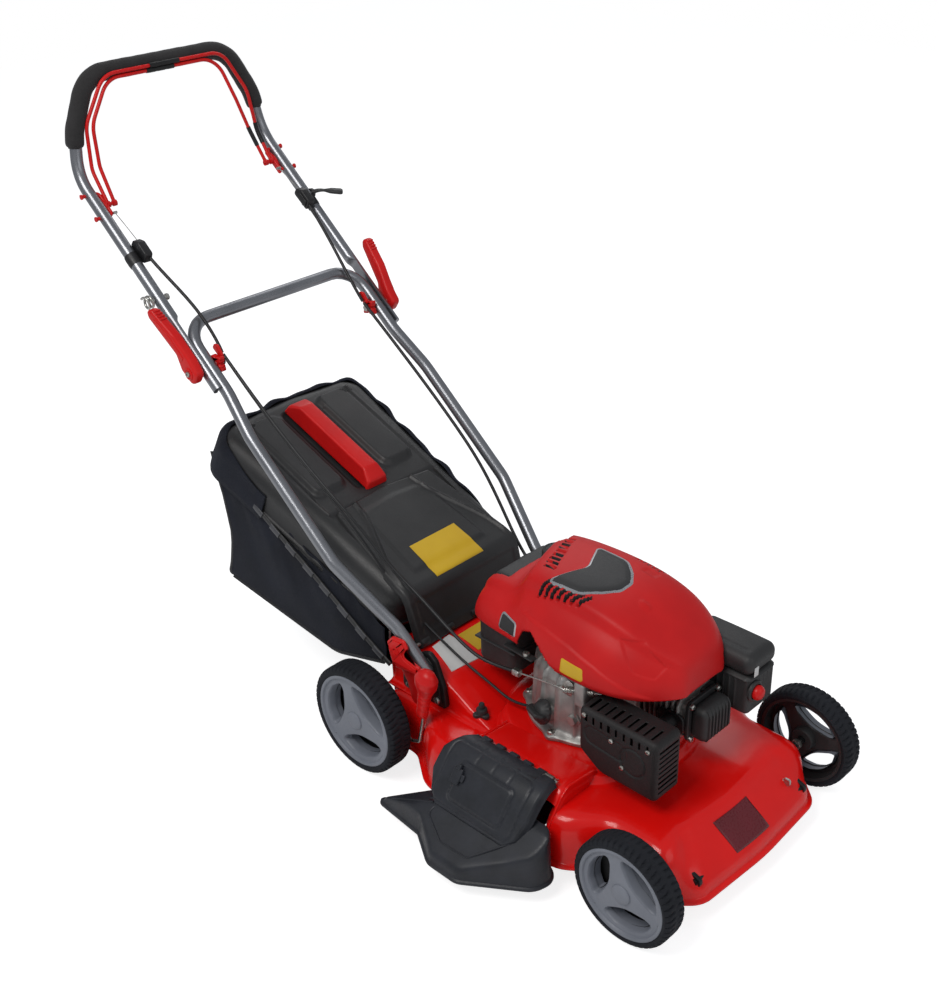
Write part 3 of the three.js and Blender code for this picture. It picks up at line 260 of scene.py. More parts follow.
def piece(name, surfaces, material, body, stands_for=(), sharp=38, wall=None):
    """One object from several surfaces: points in mm, doubles merged, edges over sharp degrees kept sharp."""
    points, faces, start = [], [], 0
    for surface_points, surface_faces in surfaces:
        points.append(surface_points)
        faces += [[start + corner for corner in face] for face in surface_faces]
        start += len(surface_points)
    mesh = bpy.data.meshes.new(name)
    mesh.from_pydata(in_frame(np.concatenate(points)).tolist(), [], faces)
    work = bmesh.new()
    work.from_mesh(mesh)
    bmesh.ops.remove_doubles(work, verts=work.verts, dist=2e-5)
    bmesh.ops.dissolve_degenerate(work, edges=work.edges, dist=1e-6)
    loose = [vert for vert in work.verts if not vert.link_faces]
    bmesh.ops.delete(work, geom=loose, context="VERTS")
    work.to_mesh(mesh)
    work.free()
    mesh.shade_smooth()
    mesh.set_sharp_from_angle(angle=np.radians(sharp))
    for finish in material if isinstance(material, (list, tuple)) else [material]:
        mesh.materials.append(finish)
    obj = bpy.data.objects.new(name, mesh)
    scene.collection.objects.link(obj)
    if wall:
        shell = obj.modifiers.new("wall", "SOLIDIFY")
        shell.thickness, shell.offset = wall * MM, -1.0
    if body:
        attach(obj, body)
    if stands_for:
        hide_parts(*([stands_for] if isinstance(stands_for, str) else stands_for))
    print(f"{name}: {len(mesh.polygons)} faces on {body}")
    return obj

# %% [markdown]
# ## Paths, outlines and the shapes carried along them
# Tubes, rods and cables are a round section carried along a bent path. Brackets, levers and ribs are
# a flat outline carried through its thickness. Wheels and caps are a profile carried round an axis.

# %% Paths and outlines with true arcs in their corners


def bent(points, radii, closed=False, per_arc=7):
    """Straight runs joined by arcs: each corner of radius r is cut back by r tan(turn / 2) and bridged by its arc."""
    points = np.asarray(points, float)
    count = len(points)
    radii = np.broadcast_to(np.asarray(radii, float), (count,))
    path = []
    for index in range(count):
        corner, reach = points[index], radii[index]
        inner = closed or 0 < index < count - 1
        before, after = points[index - 1] - corner, points[(index + 1) % count] - corner
        long_before, long_after = np.linalg.norm(before), np.linalg.norm(after)
        if not inner or reach <= 0:
            path.append(corner[None])
            continue
        before, after = before / long_before, after / long_after
        turn = np.pi - np.arccos(np.clip(before @ after, -1, 1))
        if turn < 1e-3:
            path.append(corner[None])
            continue
        cut = min(reach * np.tan(turn / 2), 0.499 * min(long_before, long_after))
        radius = cut / np.tan(turn / 2)
        inward = (before + after) / np.linalg.norm(before + after)
        centre = corner + inward * radius / np.cos(turn / 2)
        start, end = corner + before * cut - centre, corner + after * cut - centre
        share = np.linspace(0, 1, per_arc)[:, None]
        arc = (np.sin((1 - share) * turn) * start + np.sin(share * turn) * end) / np.sin(turn)
        path.append(centre + arc)
    return np.concatenate(path)


def closed_line(points, radii):
    """A closed outline with an arc in each corner."""
    return bent(points, radii, closed=True)


def evenly(path, count, closed=False):
    """Points at equal distances along a path."""
    path = np.vstack([path, path[:1]]) if closed else np.asarray(path, float)
    run = np.concatenate([[0], np.cumsum(np.linalg.norm(np.diff(path, axis=0), axis=1))])
    at = np.linspace(0, run[-1], count, endpoint=not closed)
    return np.stack([np.interp(at, run, path[:, axis]) for axis in range(path.shape[1])], -1)


print("points round a square with arcs:", len(closed_line([(0, 0), (9, 0), (9, 9), (0, 9)], 2)))

# %% [markdown]
# Soft forms are drawn with few control points and a cubic B-spline. It passes near its points instead of
# through them, and so it never swings beyond them.

# %% Smooth curves near control points


def spline_weights(count, samples):
    """Weights of a clamped cubic B-spline: row k says how much of each control point sample k takes (Cox-de Boor)."""
    degree = min(3, count - 1)
    knots = np.concatenate([np.zeros(degree), np.linspace(0, 1, count - degree + 1), np.ones(degree)])
    at = np.linspace(0, 1, samples)
    at[-1] = 1 - 1e-9
    basis = ((knots[:-1] <= at[:, None]) & (at[:, None] < knots[1:])).astype(float)
    for order in range(1, degree + 1):
        left = knots[order:-1] - knots[: -order - 1]
        rightward = knots[order + 1:] - knots[1:-order]
        rise = np.where(left > 0, (at[:, None] - knots[: -order - 1]) / np.where(left > 0, left, 1), 0)
        fall = np.where(rightward > 0, (knots[order + 1:] - at[:, None]) / np.where(rightward > 0, rightward, 1), 0)
        basis = rise * basis[:, :-1] + fall * basis[:, 1:]
    return basis


def flowing(points, samples):
    """A smooth curve near its control points: spline weights times points."""
    points = np.asarray(points, float)
    return spline_weights(len(points), samples) @ points


print("weights add up to", spline_weights(5, 9).sum(1).round(6).max())

# %% [markdown]
# Tubes, cables, beads and seams are one section carried along a path. The section keeps one side level,
# so it does not twist in the bends.

# %% Sections carried along a path


def carried(path, section, upward=(0, 0, 1), scale=None, closed=False, caps=True):
    """Point = path point + a * side + b * top, for each (a, b) round the section.

    Side is tangent x upward, and top is side x tangent."""
    path, section = np.asarray(path, float), np.asarray(section, float)
    if closed:
        tangent = np.roll(path, -1, 0) - np.roll(path, 1, 0)
    else:
        tangent = np.gradient(path, axis=0)
    tangent = unit(tangent)
    upward = np.broadcast_to(np.asarray(upward, float), path.shape)
    side = unit(np.cross(tangent, upward))
    top = np.cross(side, tangent)
    scale = np.ones(len(path)) if scale is None else np.asarray(scale, float)
    ring = section[None] * scale[:, None, None]
    grid = path[:, None] + ring[..., :1] * side[:, None] + ring[..., 1:] * top[:, None]
    if closed:
        return [sheet(grid, ring=True, tube=True)]
    if caps:
        grid = np.concatenate([np.repeat(path[:1, None], len(section), 1), grid,
                               np.repeat(path[-1:, None], len(section), 1)])
    middle = np.broadcast_to(path[:, None], (len(path), len(section), 3))
    first = grid[1 if caps else 0: -1 if caps else None]
    rows, columns = grid.shape[:2]
    faces = quads(rows, columns, ring=True)
    points = grid.reshape(-1, 3)
    check = quads(*first.shape[:2], ring=True)
    corner = first.reshape(-1, 3)[check]
    normal = np.cross(corner[:, 2] - corner[:, 0], corner[:, 3] - corner[:, 1])
    if (normal * (corner.mean(1) - middle.reshape(-1, 3)[check].mean(1))).sum() < 0:
        faces = faces[:, ::-1]
    return [(points, faces.tolist())]


def circle(radius, sides=20, squash=1.0):
    """(radius cos a, squash radius sin a) for a round the circle."""
    a = full_turn(sides)
    return np.stack([radius * np.cos(a), squash * radius * np.sin(a)], -1)


def tubing(path, radius, upward=(0, 0, 1), sides=20, scale=None):
    """A round bar: the circle carried along a path."""
    return carried(path, circle(radius, sides), upward, scale)


print("points in a short tube:", len(tubing([(0, 0, 0), (5, 0, 0), (9, 0, 1)], 2)[0][0]))

# %% [markdown]
# Turned parts are a profile round an axis, and flat ones an outline through a thickness. Both take an
# axis by its name or as a direction.

# %% Turned parts and plates
AXES = {
    "x": (np.array([0, 1.0, 0]), np.array([0, 0, 1.0]), np.array([1.0, 0, 0])),
    "y": (np.array([1.0, 0, 0]), np.array([0, 0, 1.0]), np.array([0, 1.0, 0])),
    "z": (np.array([1.0, 0, 0]), np.array([0, 1.0, 0]), np.array([0, 0, 1.0])),
}


def basis(along):
    """Two directions across and one along: a named axis, or any direction."""
    if isinstance(along, str):
        return AXES[along]
    along = np.asarray(along, float) / np.linalg.norm(along)
    across = np.cross(along, [0.0, 0.0, 1.0] if abs(along[2]) < 0.9 else [1.0, 0.0, 0.0])
    across /= np.linalg.norm(across)
    return across, np.cross(along, across), along


def lathed(profile, centre, along="y", turns=48, closed_profile=False):
    """Point = centre + r cos a * across + r sin a * across' + h * along, for each (r, h) and angle a."""
    across, second, axis = basis(along)
    profile = np.asarray(profile, float)
    a = full_turn(turns)
    r, h = profile[:, 0][:, None, None], profile[:, 1][:, None, None]
    spoke = np.cos(a)[None, :, None] * across + np.sin(a)[None, :, None] * second
    grid = np.asarray(centre, float) + r * spoke + h * axis
    middle = np.asarray(centre, float) + axis * profile[:, 1].mean()
    return [sheet(grid, ring=True, tube=closed_profile, away_from=middle)]


def shrink(outline, amount):
    """Each point moves inwards along the mean of its two edge normals, as far as keeps the edges parallel."""
    outline = np.asarray(outline, float)
    edge = np.roll(outline, -1, 0) - outline
    edge /= np.linalg.norm(edge, axis=1, keepdims=True) + 1e-12
    normal = np.stack([-edge[:, 1], edge[:, 0]], -1)
    x, y = outline.T
    if (x * np.roll(y, -1) - np.roll(x, -1) * y).sum() < 0:
        normal = -normal
    mean = normal + np.roll(normal, 1, 0)
    mean /= (mean * mean).sum(1, keepdims=True).clip(0.3) / 2
    return outline + mean * np.asarray(amount, float).reshape(-1, 1)


def slab(outline, low, high, along="y", centre=(0, 0, 0), edge=1.2, steps=3):
    """A plate: an outline carried through a thickness, drawn in by a quarter circle at both rims."""
    across, second, axis = basis(along)
    turn = np.linspace(0, np.pi / 2, steps + 1)
    inset = edge * (1 - np.sin(turn))
    height = low + edge * (1 - np.cos(turn))
    insets = np.concatenate([inset, inset[::-1]])
    heights = np.concatenate([height, high - edge * (1 - np.cos(turn[::-1]))])
    rings = np.stack([shrink(outline, amount) for amount in insets])
    at = np.asarray(centre, float) + rings[..., :1] * across + rings[..., 1:] * second + heights[:, None, None] * axis
    middle = at.mean((0, 1))
    return [sheet(at, ring=True, away_from=middle), outward_fill(at[0], -axis), outward_fill(at[-1], axis)]


def side_slab(outline, side, near, far, edge, steps=3):
    """A slab in side view at the right (side -1) or left (1), between two distances from the middle."""
    return slab(outline, *sorted((side * near, side * far)), "y", edge=edge, steps=steps)


print("surfaces of a plate:", len(slab(circle(5), 0, 4)))

# %% [markdown]
# Boxes with rounded edges are six grids pushed onto balls, so each face stays a grid that a mask can open
# or a function can swell.

# %% Boxes with rounded edges


def rounded_box(low, high, radius, counts=(10, 10, 10), shape=None, sides="xXyYzZ", keep=None):
    """Six sheets over a box; each point moves onto the ball round its nearest point of the inner box."""
    low, high = np.asarray(low, float), np.asarray(high, float)
    half, middle = (high - low) / 2, (high + low) / 2
    surfaces = []
    for axis in range(3):
        for end, letter in ((-1, "xyz"[axis]), (1, "XYZ"[axis])):
            if letter not in sides:
                continue
            others = [k for k in range(3) if k != axis]
            lines = []
            for k in others:
                flat = half[k] - radius
                bend = flat + radius * np.tan(np.linspace(0, np.pi / 4, 5))[1:]
                lines.append(np.concatenate([-bend[::-1], np.linspace(-flat, flat, counts[k]), bend]))
            a, b = np.meshgrid(*lines, indexing="ij")
            box = np.empty(a.shape + (3,))
            box[..., others[0]], box[..., others[1]], box[..., axis] = a, b, end * half[axis]
            core = np.clip(box, -(half - radius), half - radius)
            out = box - core
            out /= np.linalg.norm(out, axis=-1, keepdims=True).clip(1e-9)
            grid = middle + core + out * radius
            flat_sheet = sheet(grid, away_from=middle, keep=None if keep is None else keep(letter, box + middle))
            points = flat_sheet[0] if shape is None else shape(flat_sheet[0])
            surfaces.append((points, flat_sheet[1]))
    return surfaces


print("surfaces of a box:", len(rounded_box((0, 0, 0), (9, 9, 9), 2)))

# %% [markdown]
# Two small helpers close the set: a screw head, and a height read from a cloud of nearby points.

# %% Screw heads and nearby heights


def screw_head(centre, radius, along="z", height=None):
    """A pan head with a six-sided recess: one lathed profile with a hexagonal cup pressed into it."""
    height = height or radius * 0.6
    across, second, axis = basis(along)
    centre = np.asarray(centre, float)
    profile = np.array([[1.0, 0], [1.0, 0.5], [0.92, 0.82], [0.7, 1.0], [0.42, 1.0], [0.38, 0.3],
                        [0, 0.3]]) * [radius, height]
    a = full_turn(18)
    six = np.cos(np.pi / 6) / np.cos((a % (np.pi / 3)) - np.pi / 6)
    factor = np.where(np.arange(7)[:, None] >= 4, six[None], 1.0)
    r = profile[:, :1] * factor
    grid = centre + r[..., None] * (np.cos(a)[:, None] * across + np.sin(a)[:, None] * second) + profile[:, 1][:,
        None, None] * axis
    return [sheet(grid, ring=True, away_from=centre)]


def nearest_mean(cloud, at, across, read, window):
    """The mean of one coordinate over the six nearest cloud points, weighted by 1 / distance squared."""
    near = cloud[window]
    gap = np.linalg.norm(near[None, :, across] - at[:, None], axis=-1)
    pick = np.argpartition(gap, 6, axis=1)[:, :6]
    weight = 1 / (np.take_along_axis(gap, pick, 1) ** 2 + 0.5)
    return (near[pick, read] * weight).sum(1) / weight.sum(1)


print("helpers ready")

# %% [markdown]
# ## Finishes
# A mower has few finishes, and each is seen at many scales: gloss paint with a faint orange peel on
# the pressed deck, textured moulded plastic, soft foam, woven cloth, silver lacquer on the tubes.
# Each one below is a Principled shader whose colour, roughness and small relief come from noise in
# object coordinates, so the pattern is fixed to the piece wherever it moves.

# %% One recipe for paint, plastic, rubber and metal
def tone(text):
    """The linear colour of a #rrggbb tone."""
    value = np.array([int(text[k:k + 2], 16) for k in (1, 3, 5)]) / 255
    return np.where(value <= 0.04045, value / 12.92, ((value + 0.055) / 1.055) ** 2.4)


def noise_into(tree, coordinates, scale, detail, low, high):
    """Noise at so many cells per metre: the raw noise, and the same mapped to run from low to high."""
    noise = tree.nodes.new("ShaderNodeTexNoise")
    noise.inputs["Scale"].default_value = scale
    noise.inputs["Detail"].default_value = detail
    tree.links.new(coordinates, noise.inputs["Vector"])
    spread = tree.nodes.new("ShaderNodeMapRange")
    spread.inputs["From Min"].default_value, spread.inputs["From Max"].default_value = 0.3, 0.7
    spread.inputs["To Min"].default_value, spread.inputs["To Max"].default_value = low, high
    tree.links.new(noise.outputs["Fac"], spread.inputs["Value"])
    return noise.outputs["Fac"], spread.outputs["Result"]


def finish(name, light, dark, roughness, grain, relief, metal=0.0, coat=0.0, patch=14.0, sheen=0.0, specular=0.5):
    """Base colour runs between two tones in broad patches, roughness between two values, and grain makes the bump.

    grain is cells per metre of the small relief; relief is its height in mm."""
    material = bpy.data.materials.new(name)
    material.use_nodes = True
    tree = material.node_tree
    shader = tree.nodes["Principled BSDF"]
    place = tree.nodes.new("ShaderNodeTexCoord").outputs["Object"]
    for socket, value in (("Metallic", metal), ("Coat Weight", coat), ("Coat Roughness", 0.08),
                          ("Sheen Weight", sheen), ("Specular IOR Level", specular)):
        shader.inputs[socket].default_value = value
    _, share = noise_into(tree, place, patch, 3.0, 0.0, 1.0)
    ramp = tree.nodes.new("ShaderNodeMix")
    ramp.data_type = "RGBA"
    ramp.inputs["A"].default_value = (*tone(light), 1)
    ramp.inputs["B"].default_value = (*tone(dark), 1)
    tree.links.new(share, ramp.inputs["Factor"])
    tree.links.new(ramp.outputs["Result"], shader.inputs["Base Color"])
    _, rough = noise_into(tree, place, grain * 0.35, 2.0, roughness[0], roughness[1])
    tree.links.new(rough, shader.inputs["Roughness"])
    small, _ = noise_into(tree, place, grain, 2.0, 0.0, 1.0)
    bump = tree.nodes.new("ShaderNodeBump")
    bump.inputs["Distance"].default_value = relief * MM
    bump.inputs["Strength"].default_value = 1.0
    tree.links.new(small, bump.inputs["Height"])
    tree.links.new(bump.outputs["Normal"], shader.inputs["Normal"])
    return material


print("mid grey is", tone("#808080").round(3).tolist())

# %% [markdown]
# The reds differ: the deck is stoved gloss enamel, the engine cover is satin moulded plastic, and the
# levers are a harder, shinier plastic. The blacks differ too: the lid is grained polypropylene, the
# muffler guard has rough heat-proof paint, and the foam swallows light.

# %% The finishes of this mower
deck_enamel = finish("deck_enamel", "#ec1410", "#e4110e", (0.16, 0.24), 260, 0.05, coat=0.2, specular=0.3)
cover_red = finish("cover_red", "#cf1a1b", "#c21719", (0.42, 0.52), 1500, 0.05, specular=0.25)
lever_red = finish("lever_red", "#d81a18", "#cb1516", (0.3, 0.4), 900, 0.04, specular=0.3)
panel_maroon = finish("panel_maroon", "#6b1622", "#5c1019", (0.25, 0.32), 700, 0.02)
moulded_black = finish("moulded_black", "#2f2f30", "#272728", (0.46, 0.6), 1300, 0.12)
lid_black = finish("lid_black", "#2a2a2b", "#222223", (0.4, 0.52), 1100, 0.10)
chute_black = finish("chute_black", "#2b2d34", "#222429", (0.34, 0.5), 700, 0.12, patch=30, specular=0.4)
guard_black = finish("guard_black", "#232021", "#1a1718", (0.5, 0.66), 900, 0.22, metal=0.2)
satin_steel_black = finish("satin_steel_black", "#202021", "#19191a", (0.38, 0.5), 600, 0.06, metal=0.3)
foam_black = finish("foam_black", "#2b2a2b", "#201f20", (0.88, 0.97), 700, 0.5, sheen=0.12)
tyre_black = finish("tyre_black", "#22242a", "#1b1d22", (0.72, 0.86), 420, 0.25, specular=0.25)
clip_grey = finish("clip_grey", "#434449", "#3a3b3f", (0.4, 0.5), 900, 0.08)
hub_grey = finish("hub_grey", "#7d818b", "#71757f", (0.42, 0.55), 800, 0.08)
tube_silver = finish("tube_silver", "#93959a", "#85878c", (0.26, 0.36), 2200, 0.015, metal=0.85)
plate_silver = finish("plate_silver", "#c4c6c9", "#b2b4b8", (0.25, 0.36), 900, 0.03, metal=0.9)
cast_grey = finish("cast_grey", "#b4b2af", "#8f8d8b", (0.42, 0.6), 500, 0.35, metal=0.75, patch=40)
zinc_steel = finish("zinc_steel", "#c9c8c4", "#a9a8a2", (0.24, 0.4), 700, 0.05, metal=0.95, patch=60)
blade_steel = finish("blade_steel", "#3a3a3c", "#29292a", (0.4, 0.6), 300, 0.12, metal=0.8, patch=30)
cable_black = finish("cable_black", "#1d1d1f", "#161618", (0.4, 0.5), 900, 0.03)
label_yellow = finish("label_yellow", "#d9b21c", "#cfa616", (0.35, 0.42), 500, 0.01)
label_white = finish("label_white", "#dcdcda", "#cfcfce", (0.35, 0.42), 500, 0.01)
belt_rubber = finish("belt_rubber", "#222223", "#1a1a1b", (0.7, 0.85), 500, 0.1)
print(len(bpy.data.materials), "finishes")

# %% [markdown]
# The frame's own parts that already have their true shape keep it, and only change their finish.

# %% Finishes for the parts that stay as they are
KEPT = {
    "crankshaft": zinc_steel, "blade_adapter": cast_grey, "blade": blade_steel, "gearbox": cast_grey,
    "gearbox_pulley": moulded_black, "drive_belt": belt_rubber, "drive_shaft": zinc_steel,
    "rear_axle": satin_steel_black, "height_link": zinc_steel,
    "bag_frame": zinc_steel,
}


def refinish(node, material):
    """The node's slots all take one material; its mesh is left as it is."""
    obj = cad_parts[node]
    for slot in obj.material_slots:
        slot.material = material
    if not obj.material_slots:
        obj.data.materials.append(material)


for node_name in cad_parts:
    refinish(node_name, KEPT.get(node_name, moulded_black))
print("parts finished:", len(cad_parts))

# %% [markdown]
# ## The deck
# The deck is one sheet of steel pressed between dies: a flat top with a raised round seat for the
# engine, broad rolled shoulders, a steep wall and a lip turned out at the bottom. It could be cut from
# boxes and rounded, but a pressing is easier to think of as a profile carried round its outline: the
# height depends only on how far in from the edge a point lies, and that profile is gentler at the front.

# %% Outline of the deck and the profile carried round it


def smooth_step(value, low, high):
    """0 below low, 1 above high, and 3t^2 - 2t^3 between them."""
    t = np.clip((np.asarray(value, float) - low) / (high - low), 0, 1)
    return t * t * (3 - 2 * t)


def mirrored(corners):
    """The right half of an outline, followed by its mirror image on the left."""
    left = [(x, -y, r) for x, y, r in corners[::-1] if abs(y) > 1e-6]
    return corners + left


wall_corners = mirrored([(-8, -186, 12), (92, -189, 50), (158, -236, 58), (440, -236, 58), (500, -190, 50),
                         (602, -188, 46), (646, -148, 40), (655, 0, 500)])
roof_corners = mirrored([(38, -142, 12), (106, -144, 50), (166, -189, 60), (432, -189, 60), (488, -146, 50),
                         (556, -142, 40), (580, -106, 50), (587, 0, 400)])


def rounded_outline(corners):
    """A closed outline through corners (x, y, radius)."""
    return closed_line([c[:2] for c in corners], [c[2] for c in corners])


def paired_outlines(outer, inner, count):
    """Points round two outlines with the same corners, sampled at the same shares of each stretch between corners."""
    loops = [np.vstack([loop, loop[:1]]) for loop in map(rounded_outline, (outer, inner))]
    run = np.concatenate([[0], np.cumsum(np.linalg.norm(np.diff(loops[0], axis=0), axis=1))])
    at = np.interp(np.linspace(0, run[-1], count, endpoint=False), run, np.arange(len(run)))
    steps = np.arange(len(run))
    return [np.stack([np.interp(at, steps, loop[:, k]) for k in (0, 1)], -1) for loop in loops]


wall_line, roof_line = paired_outlines(wall_corners, roof_corners, 420)
side_profile = flowing([(0, 46), (0, 62), (0, 84), (0.06, 106), (0.3, 123), (0.62, 128), (1, 128)], 22)
front_profile = flowing([(0, 46), (0, 54), (0.12, 68), (0.45, 92), (0.74, 113), (0.86, 127), (1, 128)], 22)
lip_profile = np.array([[1, 38.2], [5, 38.0], [7.4, 38.8], [8.2, 40.6], [7.4, 42.6], [5, 43.6],
                        [2.4, 44.0], [0.7, 44.8]])
print("deck outline of", len(wall_line), "points")

# %% [markdown]
# The deck itself is one grid: the lip, the wall and shoulder, the flat, and the seat for the engine, each
# a set of rings round the same outline. Faces under the tunnel and at the side port are left out.

# %% The deck as rows from the lip to the engine seat
forward = smooth_step(wall_line[:, 0], 600, 652)[None, :, None]
profile = side_profile[:, None] * (1 - forward) + front_profile[:, None] * forward
share, height = profile[..., :1], profile[..., 1:]
shoulder = np.concatenate([wall_line + (roof_line - wall_line) * share, height], -1)
lip = np.stack([np.column_stack([shrink(wall_line, -out), np.full(len(wall_line), z)]) for out, z in lip_profile])
BLADE_AXIS = 320.0
from_axis = roof_line - [BLADE_AXIS, 0]
direction = unit(from_axis)
seat_foot = np.column_stack([BLADE_AXIS + 178 * direction[:, 0], 178 * direction[:, 1],
                             np.full(len(direction), 127.8)])
rest = np.linspace(0, 1, 7)[1:, None, None]
flat = shoulder[-1] * (1 - rest) + seat_foot * rest
seat_profile = flowing([(178, 127.8), (173, 127.9), (169.5, 130), (165, 138.5), (161.5, 141.5),
                        (158, 142), (155.5, 143),
                        (150, 150.8), (145, 152.3), (120, 152.4), (66, 152.4)], 30)[1:]
seat = np.stack([np.column_stack([BLADE_AXIS + r * direction[:, 0], r * direction[:, 1], np.full(len(direction), z)])
                 for r, z in seat_profile])
deck_grid = np.concatenate([lip, shoulder, flat, seat])


def cell_middles(grid, ring=True):
    """The middle of each face of a grid: the mean of its four corners."""
    beside = np.roll(grid, -1, 1) if ring else grid[:, 1:]
    here = grid if ring else grid[:, :-1]
    return (here[:-1] + here[1:] + beside[:-1] + beside[1:]) / 4


x, y, z = np.moveaxis(cell_middles(deck_grid), -1, 0)
under_tunnel = (x < 203) & (np.abs(y) < 147) & (z > 62) & (np.hypot(x - BLADE_AXIS, y) > 150)
discharge = (x > 243) & (x < 413) & (y < -188) & (z > 50)
piece("deck_body", [sheet(deck_grid, ring=True, keep=~(under_tunnel | discharge), away_from=(BLADE_AXIS, 0, 60))],
      deck_enamel, "deck", "deck_shell", wall=2.2)

# %% [markdown]
# The cut grass leaves the deck through a tunnel to the rear box, and through a port at the right
# side. Both are raised forms of the same pressing, so each is its own surface that flares into the
# deck. The tunnel is a net of control points: sections across it, set along its sloping roof.

# %% The grass tunnel and its rolled rim
tunnel_x = np.array([-12, 2, 40, 80, 120, 165, 212, 244])
tunnel_top = np.array([195, 200, 205, 194, 177, 157, 136, 126.5])
rise = (tunnel_top - 127.4)[:, None]
half_section = np.array([[166, 0, 0.0], [156, 0.2, 0], [150.5, 4, 0.04], [150, 2, 0.4],
                         [150, 0, 0.72], [146, 0, 0.98],
                         [120, 1, 1.0], [60, 2, 1.0]])
section = np.concatenate([half_section, [[0, 2.2, 1.0]], half_section[::-1] * [-1, 1, 1]])
net = np.empty((len(tunnel_x), len(section), 3))
net[..., 0] = tunnel_x[:, None]
net[..., 1] = -section[None, :, 0]
net[..., 2] = 127.4 + section[None, :, 1] * np.clip(rise / 20, 0, 1) + section[None, :, 2] * rise
tunnel_grid = np.einsum("ri,sj,ijk->rsk", spline_weights(len(tunnel_x), 44), spline_weights(len(section), 84), net)
rim_path = np.vstack([[-11, -148, 66], tunnel_grid[0][np.abs(tunnel_grid[0][:, 1]) < 150.2], [-11, 148, 66]])
piece("deck_tunnel", [sheet(tunnel_grid, away_from=(100, 0, 60))], deck_enamel, "deck", "deck_shell", wall=2.0)
piece("deck_tunnel_rim", tubing(rim_path, 2.6, (1, 0.05, 0), 10), deck_enamel, "deck", "deck_shell")

# %% [markdown]
# The side port is a short roof that runs out to the flap's hinge, with a flat cheek at either end. Its
# roof is a spline net like the tunnel's.

# %% The side port: a roof to the hinge and a cheek at each end
port_roof = flowing([(-96, 149), (-130, 152.5), (-170, 157), (-190, 158.5), (-202, 155), (-210, 145),
                     (-216, 137)], 24)
stations = np.array([233, 235.5, 240, 328, 416, 420.5, 423.0])
drop = np.array([16.0, 4, 0, 0, 0, 4, 16])
net = np.stack([np.column_stack([np.full(24, at), port_roof[:, 0], port_roof[:, 1] - down]) for at,
                down in zip(stations, drop)])
roof_grid = np.einsum("ri,ijk->rjk", spline_weights(len(stations), 40), net)
cheek = closed_line([(-120, 120), (-120, 149), (-190, 157), (-206, 146), (-238, 104), (-238, 47), (-200, 47)], 8)
port = [sheet(roof_grid, away_from=(328, -150, 60))]
port += slab(cheek, 234, 238.5, "x", edge=1) + slab(cheek, 417.5, 422, "x", edge=1)
piece("deck_port", port, deck_enamel, "deck", "deck_shell", sharp=30)

# %% [markdown]
# Small things on the deck: the wash connector with its three lobes, and the bare plates where
# a maker would put labels. The plates stay plain, with a slight bevel, and follow the surface below.

# %% Wash connector and bare plates
a = full_turn(72)
lobed = (12 + 3.6 * np.cos(3 * a)[:, None]) * np.stack([np.cos(a), np.sin(a)], -1)
wash = slab(lobed, 0, 7, "z", (189, -138, 142), edge=1.6)
wash += lathed([(9.5, 6), (9.5, 14), (8, 16), (0, 16)], (189, -138, 142), "z", 24)
wash += lathed([(5, 14), (5, 24), (3.8, 26), (0, 26)], (189, -138, 142), "z", 20)
piece("wash_connector", wash, moulded_black, "deck")


PLATE_POINTS = 26


def plate_on_tunnel(name, corners, lift, material):
    """A bare plate: bilinear between four corners in plan, its height read from the tunnel."""
    corners = np.asarray(corners, float)
    share = np.linspace(0, 1, PLATE_POINTS)
    u, v = (part[..., None] for part in np.meshgrid(share, share, indexing="ij"))
    plan = (1 - u) * (1 - v) * corners[0] + u * (1 - v) * corners[1] + u * v * corners[2] + (1 - u) * v * corners[3]
    cloud = tunnel_grid.reshape(-1, 3)
    window = (cloud[:, 0] > plan[..., 0].min() - 25) & (cloud[:, 0] < plan[..., 0].max() + 25) & (cloud[:, 2] > 120)
    height = nearest_mean(cloud, plan.reshape(-1, 2), [0, 1], 2, window).reshape(u.shape[:2])
    top = np.concatenate([plan, (height + lift)[..., None]], -1)
    rim = np.concatenate([top[0], top[1:, -1], top[-1, -2::-1], top[-2:0:-1, 0]])
    band = sheet(np.stack([rim - [0, 0, lift + 0.6], rim]), ring=True, away_from=top.mean((0, 1)))
    return piece(name, [sheet(top, toward=(0, 0, 1)), band], material, "deck", sharp=60)


plate_on_tunnel("plain_plate_on_tunnel", [(49, -113), (106, -124), (112, -63), (46, -69)], 1.2, label_white)
plate_on_tunnel("plain_strip_on_tunnel", [(57, -58), (100, -52), (100, 34), (57, 40)], 1.2, label_yellow)

# %% [markdown]
# The plate on the deck's front slope is cut from the deck's own rows, so it lies on the slope exactly. It
# is then lifted a little along the surface normal.

# %% The bare plate on the front slope
across_panel = np.linspace(-58, 26, 22)
ahead = np.where(wall_line[:, 0] > 560)[0]
order = ahead[np.argsort(shoulder[0, ahead, 1])]
slope = shoulder[:, order]
coarse_rows = np.arange(len(slope))
fine_rows = np.linspace(0, coarse_rows[-1], 200)
dense = np.stack([[np.interp(fine_rows, coarse_rows, slope[:, c, k]) for k in range(3)]
                  for c in range(slope.shape[1])])
pick = (np.linspace(0.24, 0.74, 18) * (len(fine_rows) - 1)).astype(int)
panel = np.stack([[np.interp(across_panel, dense[:, 1, r], dense[:, k, r]) for k in range(3)]
                  for r in pick]).transpose(0, 2, 1)
panel[..., 1] += np.linspace(6, -6, len(pick))[:, None]
normal = np.cross(np.gradient(panel, axis=0), np.gradient(panel, axis=1))
normal /= np.linalg.norm(normal, axis=-1, keepdims=True)
normal *= np.sign(normal[..., 2:].mean())
piece("plain_panel_on_front", [sheet(panel + normal * 0.7, toward=(0.6, 0, 1))], panel_maroon, "deck", wall=0.6)

